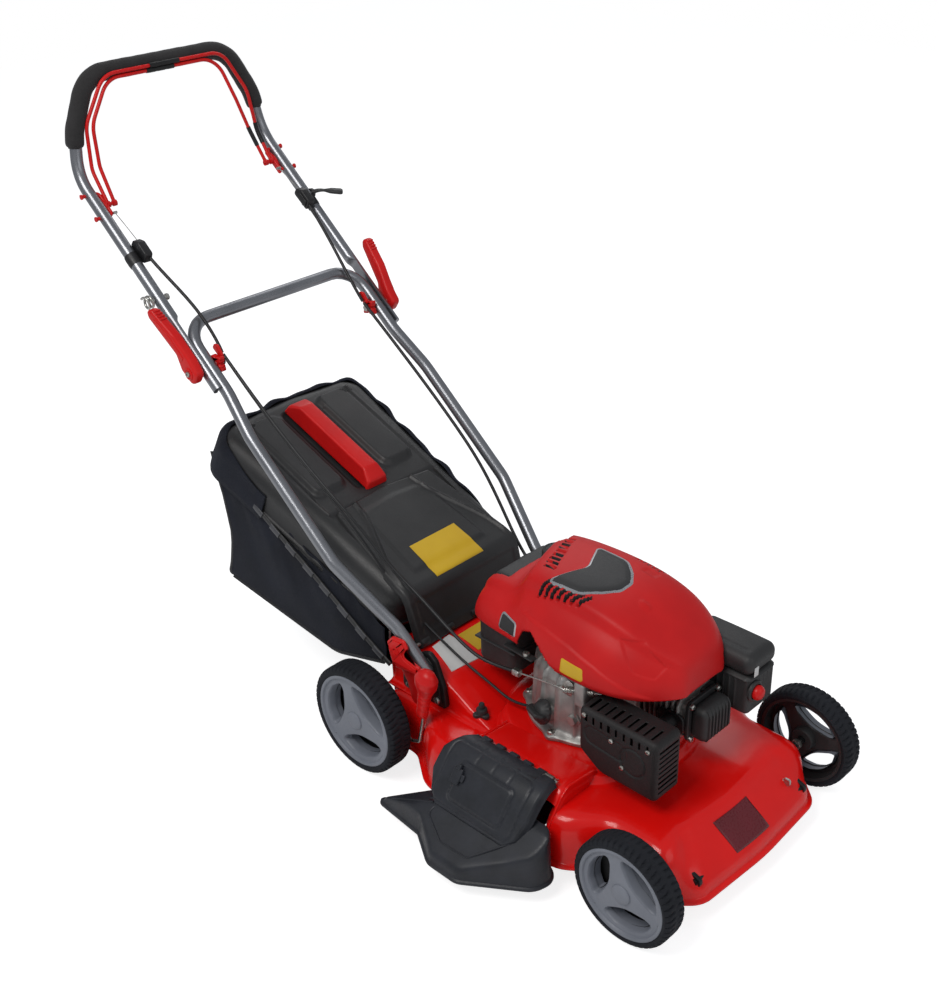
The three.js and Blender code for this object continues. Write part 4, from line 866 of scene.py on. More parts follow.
# %% [markdown]
# ## Wheels
# Each wheel is a grey moulded hub with three wide windows and a solid rubber tyre. The tyre is a
# profile turned round the axle, and its tread is a second function: the radius drops where a pattern
# of lugs, counted round the wheel, leaves a groove. The hub's face is drawn between two closed lines:
# the edge of a window and the edge of its third of the wheel.

# %% Tyres: a turned profile whose radius the tread lowers
REAR = {"x": 0.0, "z": 100.73, "rim": 87.0, "inner": 214.0, "lugs": 58}
FRONT = {"x": 580.0, "z": 89.23, "rim": 78.0, "inner": 217.0, "lugs": 52}
WHEELS = (("rear", REAR), ("front", FRONT))
OUTER_FACE = 262.0
RIM_WIDTH = 8.5
TREAD_DEPTH = 2.6


def tyre(wheel, side):
    """Radius(a, h) = profile(h) - tread depth x groove, where groove is 1 between the lugs and 0 on them."""
    radius, rim, inner = wheel["z"], wheel["rim"], wheel["inner"]
    width = OUTER_FACE - inner
    shape = flowing([(rim - 1, 3), (rim + 1, 1), (rim + 5, 0), (radius - 6, 1.5), (radius - 1, 4), (radius, 9),
                     (radius, width / 2), (radius, width - 9), (radius - 1, width - 4), (radius - 6, width - 1.5),
                     (rim + 5, width), (rim + 1, width - 1), (rim - 1, width - 3)], 46)
    count = wheel["lugs"]
    a = full_turn(count * 8)
    r, h = shape[:, :1], shape[:, 1:]
    shoulder_band = smooth_step(r, radius - 7, radius - 3)
    outer_half = h < width / 2
    slant = np.where(outer_half, 0.10, -0.10) * (h - width / 2)
    wave = np.sin(count * a[None] + slant + np.where(outer_half, 0, np.pi))
    groove = smooth_step(wave, 0.35, 0.75) * shoulder_band * smooth_step(np.abs(h - width / 2), 3.5, 5.5)
    waist = np.exp(-((h - width / 2) / 1.6) ** 2) * shoulder_band * 0.8
    lowered = r - TREAD_DEPTH * np.maximum(groove, waist)
    y = side * (OUTER_FACE - h)
    grid = np.stack([wheel["x"] + lowered * np.sin(a), np.broadcast_to(y, lowered.shape),
                     wheel["z"] + lowered * np.cos(a)], -1)
    return [sheet(grid, ring=True, away_from=(wheel["x"], side * (inner + width / 2), wheel["z"]))]


for place, wheel in WHEELS:
    for side, side_name in SIDES:
        piece(f"{place}_tread_{side_name}", tyre(wheel, side), tyre_black, f"{place}_wheel_{side_name}",
              f"{place}_tyre_{side_name}", sharp=50)

# %% [markdown]
# A hub's face could be a disc with holes cut by a boolean, which leaves long thin faces. Rings that run
# from a window's edge to the edge of its third give even faces and a rounded edge instead.

# %% Hubs: a sheet between each window and its third of the wheel


def window_line(rim):
    """The closed edge of one window, seen with its middle straight up: a wide lens whose ends are rounded."""
    k = rim / 87
    corners = [(-53, 47, 9), (-30, 66, 34), (0, 73, 60), (30, 66, 34), (53, 47, 9), (40, 37, 20),
               (0, 27, 70), (-40, 37, 20)]
    return evenly(rounded_outline(np.array(corners) * k), 96, closed=True)


def third_line(points, middle, radius):
    """Each direction from the window's middle followed out to the circle of the radius or to a line at 60 degrees."""
    way = unit(points - middle)
    b = way @ middle
    far = -b + np.sqrt(b * b - middle @ middle + radius * radius)
    for sign in (-1, 1):
        across_line = np.array([np.cos(np.pi / 3), -sign * np.sin(np.pi / 3)])
        speed = -(way @ across_line)
        reach = (middle @ across_line) / np.where(np.abs(speed) < 1e-9, 1e-9, speed)
        far = np.where((reach > 0) & (reach < far), reach, far)
    return middle + way * far[:, None]


def hub_face(wheel, side, depth_at, turn, wall_depth, outward):
    """Three sheets: rows run from the window's inner wall over its rounded edge out to the edge of the third."""
    rim = wheel["rim"]
    window = window_line(rim)
    middle = np.array([0.0, 50 * rim / 87])
    edge = third_line(window, middle, rim - RIM_WIDTH)
    rows = [(shrink(window, 4.5), -wall_depth), (shrink(window, 1.6), -4.0), (shrink(window, 0.5), -1.3),
            (shrink(window, -0.6), -0.35)]
    rows = [(line, np.full(len(line), down)) for line, down in rows]
    for share in (0.04, 0.12, 0.3, 0.5, 0.7, 0.85, 1.0):
        rows.append((window * (1 - share) + edge * share, np.zeros(len(window))))
    plan = np.stack([line for line, _ in rows])
    down = np.stack([fall for _, fall in rows])
    radius = np.linalg.norm(plan, axis=-1)
    depth = depth_at(radius) + down * outward
    surfaces = []
    for third in range(3):
        angle = np.radians(turn + 120 * third)
        x = plan[..., 0] * np.cos(angle) + plan[..., 1] * np.sin(angle)
        z = -plan[..., 0] * np.sin(angle) + plan[..., 1] * np.cos(angle)
        grid = np.stack([wheel["x"] + x, side * depth, wheel["z"] + z], -1)
        surfaces.append(sheet(grid, ring=True, toward=(0, side * outward, 0)))
    return surfaces


print("window edge of", len(window_line(REAR["rim"])), "points")

# %% [markdown]
# The rest of the hub is turned: the rim's lip and the cap outside, the barrel and the boss inside. They
# are sheets seen from one side, like the mould's own faces.

# %% Rim, cap, barrel and boss of a hub


def turned_face(profile, centre, turns, way):
    """A lathed sheet seen from one side only: turned toward way along y."""
    points = lathed(profile, centre, "y", turns)[0][0]
    return sheet(points.reshape(len(profile), turns, 3), ring=True, toward=(0, way, 0))


def hub(wheel, side, turn):
    """The outer face and rim in one finish, and the inner face with its barrel and boss in a second, black as painted
    shade for the inside of the wheel.
    """
    rim, inner = wheel["rim"], wheel["inner"]
    centre = (wheel["x"], 0, wheel["z"])
    edge = rim - RIM_WIDTH

    def outer_depth(r):
        """How far out the face lies: domed in the middle, lifted again at the rim."""
        return 254.5 + 2.2 * np.exp(-(r / 30) ** 2) + 1.6 * smooth_step(r, edge - 9, edge)

    face = hub_face(wheel, side, outer_depth, turn, 24, 1)
    outer_rim = [(edge, side * 256.1), (edge + 0.6, side * 256.6), (edge + 1.4, side * 259.0),
                 (edge + 2.4, side * 259.9),
                 (rim - 2.4, side * 260.1), (rim - 1.1, side * 259.4), (rim - 0.8, side * 256.5)]
    face += [turned_face(outer_rim, centre, 120, side)]
    cap = flowing([(17, side * 256.3), (17, side * 257.8), (14.5, side * 259.4), (6, side * 260.2),
                   (0, side * 260.2)], 12)
    face += [turned_face(cap, centre, 60, side)]

    def inner_depth(r):
        """How far out the back lies: it falls away towards the rim."""
        return inner + 16 + 6 * smooth_step(r, edge - 30, edge)

    # The inner face, barrel and boss are black as painted shade for the inside of the wheel seen through its windows.
    back = hub_face(wheel, side, inner_depth, turn, 7, -1)
    barrel = [(edge, inner + 22), (edge + 1, inner + 14), (edge + 2.2, inner + 3), (rim - 1.2, inner + 2),
              (rim - 1.0, inner + 6)]
    back += [turned_face([(r, side * h) for r, h in barrel], centre, 120, -side)]
    boss = [(21, inner + 17), (20, inner + 7), (18.5, inner + 4.6), (9, inner + 4.4), (7.2, inner + 5)]
    back += [turned_face([(r, side * h) for r, h in boss], centre, 60, -side)]
    return face, back


print("surfaces of a hub:", sum(len(part) for part in hub(REAR, -1, 0)))

# %% [markdown]
# Each wheel stands at its own angle, as wheels do when a mower has been pushed.

# %% Four hubs at their own angles
PHASE = {"rear_right": 44.0, "front_right": 44.0, "rear_left": 20.0, "front_left": 20.0}
for place, wheel in WHEELS:
    for side, side_name in SIDES:
        face, back = hub(wheel, side, PHASE[f"{place}_{side_name}"])
        body = f"{place}_wheel_{side_name}"
        piece(f"{place}_hub_face_{side_name}", face, hub_grey, body, f"{place}_hub_{side_name}", sharp=40)
        # The hub's back takes black as painted shade for the inside of the wheel.
        piece(f"{place}_hub_shaded_back_{side_name}", back, moulded_black, body, f"{place}_hub_{side_name}", sharp=40)

# %% [markdown]
# A nut holds each wheel on its stub, and a shallow dished black plate inside the two near wheels is painted shade,
# darkening what shows through their windows. The nut is a six-sided slab on a turned stub; the plate is one closed
# profile turned round the axle.
# The nut is a six-sided slab on a turned stub; the plate is one closed profile turned round the axle.

# %% Axle nuts on the inner side of each wheel
for place, wheel, body in (("rear", REAR, "rear_crank"), ("front", FRONT, "front_crank")):
    for side, side_name in SIDES:
        at = (wheel["x"], side * 207.5, wheel["z"])
        six = [(9.5 * np.cos(t), 9.5 * np.sin(t)) for t in np.arange(6) * np.pi / 3]
        nut = slab(six, -4, 3, "y", at, edge=0.8)
        nut += lathed([(6.4, -5.5), (6.4, -3), (6.4, 8)], at, "y", 24)
        piece(f"{place}_axle_nut_{side_name}", nut, zinc_steel, body, sharp=30)

# %% [markdown]
# The shade plate is a closed profile, so it has a real thickness.

# %% Dark plates inside the near wheels, painted shade
for place, wheel in WHEELS:
    reach, face = wheel["rim"] * 0.92, -(wheel["inner"] + 5)
    dish = [(11, face - 1.2), (reach * 0.5, face - 3), (reach * 0.8, face - 2), (reach, face), (reach, face + 1.6),
            (reach * 0.5, face - 1), (11, face + 1)]
    # Painted shade: a black plate that darkens the view through the near wheels' windows.
    piece(f"{place}_shade_plate", lathed(dish, (wheel["x"], 0, wheel["z"]), "y", 64, closed_profile=True),
          moulded_black, f"{place}_wheel_right")

# %% [markdown]
# ## The side chute
# The chute is one thin moulding that throws the grass to the side: a hood with a sloping roof, a bead
# round its open rim, and a fin that trails back. It could be a box with its corners pulled about, but
# every point of its roof can be told from two things: where it lies between the rim and a ridge, and
# how high the roof is there.

# %% Chute: rows from the beaded rim up the wall and over to the ridge
rim_corners = [(252, -244, 4), (434, -244, 20), (452, -262, 28), (444, -294, 34), (345, -361, 26), (284, -361, 26),
               (226, -325, 18), (131, -317, 6), (123, -310, 4)]
rim = evenly(rounded_outline(rim_corners), 220, closed=True)
ridge = np.array([[222.0, -296.0], [392.0, -276.0]])


def roof_height(points):
    """Lower of two slopes: the hood falls away from the deck, and the fin falls to its tip."""
    hood = np.interp(-points[..., 1], [225, 262, 312, 366], [130, 117, 81, 51])
    fin = 40 + 0.46 * (points[..., 0] - 122)
    blend = np.minimum(hood, fin)
    return blend - 3 * np.exp(-np.abs(hood - fin) / 7)


along_ridge = ridge[1] - ridge[0]
share = np.clip((rim - ridge[0]) @ along_ridge / (along_ridge @ along_ridge), 0, 1)
target = ridge[0] + share[:, None] * along_ridge
rows = []
for out, z in ((0.0, 30.5), (3.4, 31.5), (4.2, 34), (3.4, 36.5), (0.8, 38)):
    rows.append(np.column_stack([shrink(rim, -out), np.full(len(rim), z)]))
for share_up, inset in ((0.25, 0.3), (0.55, 0.8), (0.8, 1.3)):
    line = shrink(rim, inset)
    rows.append(np.column_stack([line, 38 + (roof_height(line) - 42) * share_up]))
for fraction, down in ((0.015, 4.5), (0.045, 1.7), (0.09, 0.4), (0.16, 0), (0.26, 0), (0.4, 0), (0.55, 0), (0.7, 0),
                       (0.85, 0), (1, 0)):
    line = shrink(rim, 1.4) * (1 - fraction) + target * fraction
    rows.append(np.column_stack([line, roof_height(line) - down]))
chute_grid = np.stack(rows)
middle = cell_middles(chute_grid)
mouth = (middle[..., 1] > -247) & (middle[..., 0] > 262) & (middle[..., 0] < 420) & (middle[..., 2] > 40)
piece("side_chute_hood", [sheet(chute_grid, ring=True, keep=~mouth, away_from=(300, -290, 30))], chute_black, "deck",
      "side_chute", wall=2.6, sharp=32)

# %% [markdown]
# A bead frames a panel on the chute's roof and a rib stiffens its fin. Both are thin rods that take
# their height from the roof's own function.

# %% A raised panel and ribs on the chute's roof
panel_line = closed_line([(248, -258), (392, -258), (404, -284), (346, -338), (290, -340), (240, -316)], 10)
bead = np.column_stack([panel_line, roof_height(panel_line) + 0.1])
piece("side_chute_bead", carried(bead, circle(1.5, 8), closed=True), chute_black, "deck")
fin_rib = np.array([[150, -313.0], [200, -306], [236, -300]])
fin_rib = flowing(np.column_stack([fin_rib, roof_height(fin_rib) + 0.4]), 20)
piece("side_chute_rib", tubing(fin_rib, 1.7, sides=10), chute_black, "deck")

# %% [markdown]
# ## The sprung flap over the port
# The flap hangs from a pin and lies over the chute. It is a domed plate: a curve from the pin outwards,
# carried from one side to the other, with its left edge bellied out and all its edges turned down.
# The moulded lines on it are narrow valleys, written as a distance from a rounded rectangle.

# %% Flap: a surface over x and the distance from the pin


def rounded_rectangle(u, v, middle, half, radius):
    """Signed distance = |max(q, 0)| + min(max q, 0) - radius, where q = |p - middle| - half + radius."""
    qx, qy = np.abs(u - middle[0]) - half[0] + radius, np.abs(v - middle[1]) - half[1] + radius
    return np.hypot(np.maximum(qx, 0), np.maximum(qy, 0)) + np.minimum(np.maximum(qx, qy), 0) - radius


def valley(distance, width=1.6, depth=1.4):
    """A groove along distance 0: depth x exp(-(distance / width)^2)."""
    return depth * np.exp(-(distance / width) ** 2)


spine = evenly(flowing([(-201, 168), (-218, 170), (-242, 163), (-262, 137), (-284, 108), (-306, 87)], 60), 90)
run = np.linspace(0, 1, 90)
left_edge = np.interp(run, [0, 0.12, 0.35, 0.62, 0.85, 1], [234, 220, 203, 201, 216, 240])
right_edge = np.interp(run, [0, 0.3, 0.6, 0.85, 1], [410, 414, 413, 406, 386])
width_share = 0.5 - 0.5 * np.cos(np.pi * np.linspace(0, 1, 110))
u = np.linspace(0, 1, 110) * 0.6 + width_share * 0.4
x = left_edge[:, None] * (1 - u) + right_edge[:, None] * u
length = 152.0
v = np.broadcast_to(run[:, None] * length, x.shape)
lift = 5 * np.sin(np.pi * np.clip(u, 0, 1))[None] ** 0.6 * np.sin(np.pi * run)[:, None] ** 0.5
edge_gap = np.minimum(np.minimum(x - left_edge[:, None], right_edge[:, None] - x), (1 - run)[:, None] * length)
turned_down = 11 * (1 - smooth_step(edge_gap, 0, 9)) ** 1.5
marks = valley(rounded_rectangle(x, v, (308, 84), (82, 56), 14))
marks = np.maximum(marks, valley(rounded_rectangle(x, v, (312, 92), (56, 36), 10), 1.3, 1.2))
for at in (282, 316, 350):
    marks = np.maximum(marks, valley(x - at, 1.3, 1.1) * smooth_step(60 - v, 4, 8) * smooth_step(v, 12, 22))
raised = 1.6 * smooth_step(-rounded_rectangle(x, v, (312, 92), (54, 34), 9), 0, 4)
tangent = unit(np.gradient(spine, axis=0))
up_normal = np.stack([tangent[:, 1], -tangent[:, 0]], -1)
up_normal *= np.sign(up_normal[:, 1:2].mean())
height = lift - turned_down - marks + raised
flap_grid = np.stack([x, spine[:, :1] + up_normal[:, :1] * height, spine[:, 1:] + up_normal[:, 1:] * height], -1)
piece("side_flap_plate", [sheet(flap_grid, toward=(0, -0.6, 1))], chute_black, "side_flap", "side_flap",
      wall=2.6, sharp=50)

# %% [markdown]
# The flap turns on a steel pin through five knuckles, closed by a coil spring. The latch is set on the
# flap's surface by its own directions there.

# %% Knuckles, pin, latch and spring of the flap
hinge_y, hinge_z = -199.0, 163.0
knuckles = []
for at in (252, 281, 310, 339, 368):
    knuckles += lathed([(0, 0), (6.2, 0), (6.8, 0.8), (6.8, 15.2), (6.2, 16), (0, 16)],
                       (at, hinge_y, hinge_z), "x", 24)
    leaf = [(hinge_y - 2, hinge_z + 6.6), (hinge_y - 24, hinge_z + 7.4), (hinge_y - 26, hinge_z + 3),
            (hinge_y - 4, hinge_z - 4)]
    knuckles += slab(np.array(leaf), at, at + 16, "x", edge=0.8)
piece("side_flap_knuckles", knuckles, chute_black, "side_flap", sharp=30)
pin = tubing([(238, hinge_y, hinge_z), (408, hinge_y, hinge_z)], 2.5, (0, 0, 1), 16)
piece("side_flap_pin", pin, zinc_steel, "deck")
turns = np.linspace(0, 2 * np.pi * 7, 150)
coil = np.stack([384 + turns / (2 * np.pi) * 2.3, hinge_y + 5.2 * np.cos(turns), hinge_z + 5.2 * np.sin(turns)], -1)
coil = np.vstack([[384, hinge_y - 20, hinge_z + 5.4], [384, hinge_y - 4, hinge_z + 6], coil,
                  [400.4, hinge_y + 12, hinge_z - 6]])
piece("side_flap_spring", tubing(coil, 0.9, (1, 0.01, 0), 8), zinc_steel, "side_flap")


def flap_row(v_at):
    """The row of the flap's grid at a distance from the pin."""
    return int(round(v_at / length * (len(run) - 1)))


def on_flap(x_at, v_at):
    """A point of the flap's surface, by its x and its distance from the pin."""
    row = flap_row(v_at)
    column = np.abs(flap_grid[row, :, 0] - x_at).argmin()
    return flap_grid[row, column]


latch = rounded_box((-9, -13, -2), (9, 13, 6), 1.6, (2, 2, 2)) + rounded_box((-4, -19, -1),
    (4, -10, 8), 1.4, (2, 2, 2))
latch += rounded_box((6, -6, -1), (15, 6, 4), 1.4, (2, 2, 2))
row = flap_row(84)
down_way = np.array([0, *tangent[row]])
up_way = np.array([0, *up_normal[row]])
turn_matrix = np.stack([[1, 0, 0], down_way, up_way])
latch = moved(latch, lambda points: points @ turn_matrix + on_flap(262, 84))
piece("side_flap_latch", latch, chute_black, "side_flap", sharp=30)

# %% [markdown]
# ## The engine cover
# The cover is one moulding over the flywheel, the tank and the starter: a low lobe at the back, then a
# step up to a dome that falls away to the front. It is drawn as sections across the engine, each made
# from the same two half profiles stretched to a width and a height, and skinned with a spline. Vents,
# recesses and the long fold on its flank are then pressed in along the surface normal.

# %% Engine cover: two half profiles and a list of sections
near_half = np.array([(1, 0), (1.012, 0.1), (1.0, 0.27), (0.945, 0.45), (0.86, 0.6), (0.78, 0.69),
                      (0.73, 0.73), (0.69, 0.77),
                      (0.665, 0.85), (0.63, 0.91), (0.55, 0.945), (0.36, 0.98), (0, 1)])
far_half = np.array([(0.40, 0.99), (0.62, 0.95), (0.76, 0.88), (0.88, 0.71), (0.965, 0.48), (1, 0.25),
                     (1.005, 0.1), (1, 0)])
SECTIONS = [  # x, lean, near width, far width, lower edge, top
    (119, 0, 70, 78, 287, 289), (118, 0, 75, 82, 286, 318), (120, 0, 79, 85, 286, 342), (130, 0, 84, 88, 286, 354),
    (150, 0, 90, 93, 286, 360), (170, -0.08, 93, 98, 286, 361), (186, -0.2, 95, 102, 286, 364),
    (197, -0.28, 97, 107, 286, 388),
    (204, -0.3, 98, 111, 286, 402), (214, -0.3, 100, 116, 286, 408), (240, -0.2, 104, 122, 286, 412),
    (276, -0.08, 110, 127, 286, 413.5), (320, 0, 113, 129, 286, 413), (365, 0, 114, 129, 286, 410),
    (405, 0, 112, 128, 286, 402), (440, 0, 104, 126, 286, 388), (470, 0, 88, 115, 286, 371),
    (492, 0, 68, 100, 286, 357),
    (507, 0, 50, 84, 286, 344), (515, 0, 38, 72, 286, 328), (518, 0, 31, 64, 286, 306), (518, 0, 26, 58, 286, 288),
]
net = np.empty((len(SECTIONS), len(near_half) + len(far_half), 3))
for row, (x, lean, near, far, low, top) in enumerate(SECTIONS):
    y = np.concatenate([-near * near_half[:, 0], far * far_half[:, 0]])
    z = low + (top - low) * np.concatenate([near_half[:, 1], far_half[:, 1]])
    net[row] = np.stack([x + lean * y, y, z], -1)
cover = np.einsum("ri,sj,ijk->rsk", spline_weights(len(SECTIONS), 256), spline_weights(net.shape[1], 188), net)
print("cover grid", cover.shape[:2])

# %% [markdown]
# Openings, vents and recesses are all written as distances: to a polygon, to a line, to the nearest slot.
# A negative distance is inside. One number can then cut, press or colour the surface.

# %% Distances to polygons, lines and vents


def polygon_distance(px, py, corners):
    """Signed distance to a polygon: the nearest edge, negative inside by the even-odd rule."""
    corners = np.asarray(corners, float)
    ahead = np.roll(corners, -1, 0)
    nearest = np.full(np.shape(px), 1e9)
    inside = np.zeros(np.shape(px), bool)
    for (ax, ay), (bx, by) in zip(corners, ahead):
        along = ((px - ax) * (bx - ax) + (py - ay) * (by - ay)) / ((bx - ax) ** 2 + (by - ay) ** 2)
        along = np.clip(along, 0, 1)
        nearest = np.minimum(nearest, np.hypot(px - ax - along * (bx - ax), py - ay - along * (by - ay)))
        crosses = (ay > py) != (by > py)
        inside ^= crosses & (px < (bx - ax) * (py - ay) / np.where(by == ay, 1e-9, by - ay) + ax)
    return np.where(inside, -nearest, nearest)


def segment_distance(px, py, start, end):
    """Distance in the plane from points to one segment."""
    (ax, ay), (bx, by) = start, end
    along = np.clip(((px - ax) * (bx - ax) + (py - ay) * (by - ay)) / ((bx - ax) ** 2 + (by - ay) ** 2), 0, 1)
    return np.hypot(px - ax - along * (bx - ax), py - ay - along * (by - ay))


def vent_distance(x, y, z):
    """Distance to the nearest vent: slanted slots on the near shoulder, fine ones behind and ahead of the dome."""
    nearest = np.full(np.shape(x), 1e9)
    for k in range(7):
        at = 262 + 13.2 * k
        start, end = (at + 9, -60 + 0.5 * k), (at - 2, -76 + 0.3 * k)
        nearest = np.minimum(nearest, segment_distance(x, y, start, end) - 2.5)
    for k in range(9):
        at = -34 + 11.5 * k
        start, end = (226 - 0.3 * at, at), (246 - 0.3 * at - 1.2 * k, at + 1)
        nearest = np.minimum(nearest, np.where(z > 372, segment_distance(x, y, start, end) - 2.6, 1e9))
    for k in range(5):
        start, end = (330 + 11 * k, 82), (336 + 11 * k, 98)
        nearest = np.minimum(nearest, np.where(z > 370, segment_distance(x, y, start, end) - 1.6, 1e9))
    return np.where(z > 340, nearest, 1e9)


print("from a corner to a line:", segment_distance(3.0, 4.0, (0, 0), (-1, 0)))

# %% [markdown]
# Now the cover is pressed in along its own normal: the vents deepest, then a pad, a square and the fold
# on the near flank, while a small oval stands out.

# %% Vents, pad and fold pressed into the cover
plain_cover = cover
x, y, z = np.moveaxis(cover, -1, 0)
near_side = y < 0
pressed = 5.0 * smooth_step(-vent_distance(x, y, z), 0, 1.4)
pad = polygon_distance(x, z, [(421, 372), (455, 374), (493, 338), (486, 322), (458, 331), (440, 352)])
pressed = pressed + np.where(near_side, 1.8 * smooth_step(-pad, -1, 2), 0)
square = np.maximum(np.abs(x - 372) - 12, np.abs(y - 66) - 9)
pressed = pressed + 1.6 * smooth_step(-square, -1, 2) * (z > 380)
oval = np.hypot((x - 416) / 1.5, y + 6) - 6.5
pressed = pressed - 2.2 * smooth_step(-oval, -1, 1.5) * (z > 380)
fold = np.interp(x, [200, 250, 300, 350, 400, 440, 470, 500], [345, 352, 350, 343, 330, 314, 300, 286])
pressed = pressed - np.where(near_side, 3.2 * smooth_step(fold - z, 0, 5) * smooth_step(x, 228, 262)
                             * smooth_step(z, 286, 296), 0)
along_rows, along_columns = np.gradient(cover, axis=0), np.gradient(cover, axis=1)
normal = np.cross(along_columns, along_rows)
normal /= np.linalg.norm(normal, axis=-1, keepdims=True).clip(1e-9)
normal *= np.sign((normal[..., 2] * (z > 380)).sum())
cover = cover - normal * pressed[..., None]
print("deepest pressing", round(float(pressed.max()), 2), "mm")

# %% [markdown]
# The openings are faces left out: an arch over the near flank, the fuel neck, an opening at the rear lobe where the
# black tank shoulder beneath shows as painted shade for a recess, and the corner of the air filter. The bottoms of
# the vents take a black finish as painted shade for the dark inside of the slots.

# %% Openings, and the cover as one piece
middle = cell_middles(cover, ring=False)
arch = polygon_distance(middle[..., 0], middle[..., 2],
                        closed_line([(233, 260), (233, 292), (248, 322), (270, 332), (293, 316), (334, 280),
                                     (334, 260)], 12))
arch_open = (middle[..., 1] < 0) & (arch < 0)
neck_open = (np.hypot(middle[..., 0] - 178, middle[..., 1] - 62) < 29) & (middle[..., 2] > 340)
# This opening shows the black tank shoulder beneath it: painted shade for a recess in the cover.
recess_shade_open = (middle[..., 0] < 164) & (middle[..., 1] > -40) & (middle[..., 2] > 322)
filter_open = (middle[..., 0] > 428) & (middle[..., 1] > 72) & (middle[..., 2] < 312)
# The cover's second finish, guard_black, is painted shade on the bottoms of the vents.
shroud = piece("engine_cover",
               [sheet(cover, away_from=(310, 0, 300), keep=~(arch_open | neck_open | filter_open | recess_shade_open))],
               [cover_red, guard_black], "deck", "engine_shroud", wall=2.4, sharp=48)
count = len(shroud.data.polygons)
centres = np.empty(count * 3)
shroud.data.polygons.foreach_get("center", centres)
centres = (centres.reshape(-1, 3) - ORIGIN) / MM
unpressed = centres + np.array([0, 0, 3.0])
unpressed[:, 1] += np.where(centres[:, 1] < -45, -3.2, 0)
# Faces at the bottoms of the vents take the black second finish: painted shade for the dark inside of the slots.
slot_shade_faces = vent_distance(*unpressed.T) < -0.3
shroud.data.polygons.foreach_set("material_index", slot_shade_faces.astype(np.int32))
print("vent faces:", int(slot_shade_faces.sum()))

# %% [markdown]
# ## Plates that lie on the engine cover
# The cover carries a dark shield with a silver edge, a yellow plate and a dark one. On the real engine
# they are thin stickers and pressed plates that follow the moulding. Each is made as a small grid whose
# height is read from the nearest points of the cover, then lifted by its own thickness, so that it
# follows every curve; a flat plate would cut into the dome.

# %% Plates over the cover


def filled_rings(outline, middle):
    """Nine rings from an outline to its middle: point = middle + share (outline - middle)."""
    share = np.linspace(1, 0, 9)[:, None, None]
    return np.asarray(middle, float) + share * (np.asarray(outline, float)[None] - middle)


CLOUDS = {"top": plain_cover.reshape(-1, 3), "near": cover.reshape(-1, 3)}


def plate_over_cover(name, outline, plane, lift, material, low, high):
    """A domed sticker: rings of an outline laid on the cover, its rim pulled down to the surface."""
    across, read = ([0, 1], 2) if plane == "top" else ([0, 2], 1)
    side = 1.0 if plane == "top" else -1.0
    outline = evenly(outline, 96, closed=True)
    flat = filled_rings(outline, outline.mean(0))
    cloud = CLOUDS[plane]
    window = (cloud > low).all(1) & (cloud < high).all(1)
    surface = nearest_mean(cloud, flat.reshape(-1, 2), across, read, window).reshape(flat.shape[:2])
    raised = surface + side * lift * (np.arange(len(flat)) > 0)[:, None]
    grid = np.empty(flat.shape[:2] + (3,))
    grid[..., across[0]], grid[..., across[1]], grid[..., read] = flat[..., 0], flat[..., 1], raised
    under = grid[:1].copy()
    under[..., read] -= side * 2.0
    normal = [0, 0, 1] if plane == "top" else [0, -1, 0]
    return piece(name, [sheet(np.concatenate([under, grid]), ring=True, toward=normal)], material, "deck")


shield = closed_line([(268, -62), (296, -6), (296, 6), (268, 62), (330, 60), (357, 37), (374, 14), (374, -14),
                      (357, -37), (330, -60)],
              [5, 3, 3, 5, 30, 12, 14, 14, 12, 30])
plate_over_cover("shield_rim", shrink(shield, -2.2), "top", 1.5, plate_silver, (240, -90, 380), (400, 90, 420))
plate_over_cover("shield_plate", shield, "top", 2.8, moulded_black, (240, -90, 380), (400, 90, 420))
near_label = closed_line([(340, 294), (382, 294), (386, 300), (384, 318), (342, 321)], 3)
plate_over_cover("yellow_plate", near_label, "near", 1.0, label_yellow, (310, -130, 280), (420, -60, 335))
side_plate = closed_line([(190, 298), (227, 297), (229, 322), (193, 325)], 4)
plate_over_cover("lobe_rim", shrink(side_plate, -1.6), "near", 1.0, plate_silver, (160, -130, 286), (260, -60, 345))
plate_over_cover("lobe_plate", side_plate, "near", 1.8, moulded_black, (160, -130, 286), (260, -60, 345))

# %% [markdown]
# ## The muffler guard
# The exhaust box sits in a pressed steel guard full of slots, painted rough black. A rounded box gives
# its form, one corner of which is cut away to clear the deck, and the slots are left out of its sheets
# where a mask says so. Real thickness comes from a Solidify wall, so each slot shows its edge.

# %% The guard's form and its slots
GUARD_LOW, GUARD_HIGH = np.array([396.0, -138.0, 160.0]), np.array([546.0, -74.0, 269.0])


def cut_corner(points):
    """The low rear corner is pushed up to a slanting line from (396, 196) to (456, 156)."""
    points = points.copy()
    floor_line = 196 - (points[:, 0] - 396) * 40 / 60
    points[:, 2] = np.maximum(points[:, 2], floor_line)
    return points


def guard_keep(letter, points):
    """Faces outside the slots: comb slots on the top and along the front's upper band, level slots on the end."""
    x, y, z = np.moveaxis(cell_middles(points, ring=False), -1, 0)
    comb = np.abs((x - 404) % 14.6 - 7.3) < 2.3
    if letter == "Z":
        return ~(comb & (y > -128) & (y < -100) & (x > 405) & (x < 536))
    if letter == "y":
        shoulder = comb & (z > 247) & (z < 262) & (x > 405) & (x < 536)
        return ~shoulder
    if letter == "X":
        level = np.abs((z - 172) % 9.4 - 4.7) < 1.9
        return ~(level & (y > -130) & (y < -84) & (z > 172) & (z < 256))
    return np.ones(x.shape, bool)


def guard_shape(points):
    """The front sheet carries two shallow pressed rings and a long oval recess, under the cut corner."""
    points = cut_corner(points)
    x, y, z = points.T
    oval = segment_distance(x, z, (424, 226), (474, 222)) - 15
    round_mark = np.hypot(x - 502, z - 216) - 24
    press = valley(oval, 1.6, 1.8) + valley(round_mark, 1.6, 1.8) + 1.2 * smooth_step(-oval, 0, 3)
    points[:, 1] = y + press * (y < -137)
    return points


print("guard size", (GUARD_HIGH - GUARD_LOW).tolist())

# %% [markdown]
# The guard is the box with these masks; the silencer inside is a smaller box with a rolled seam, an
# exhaust pipe to the head and a flange.

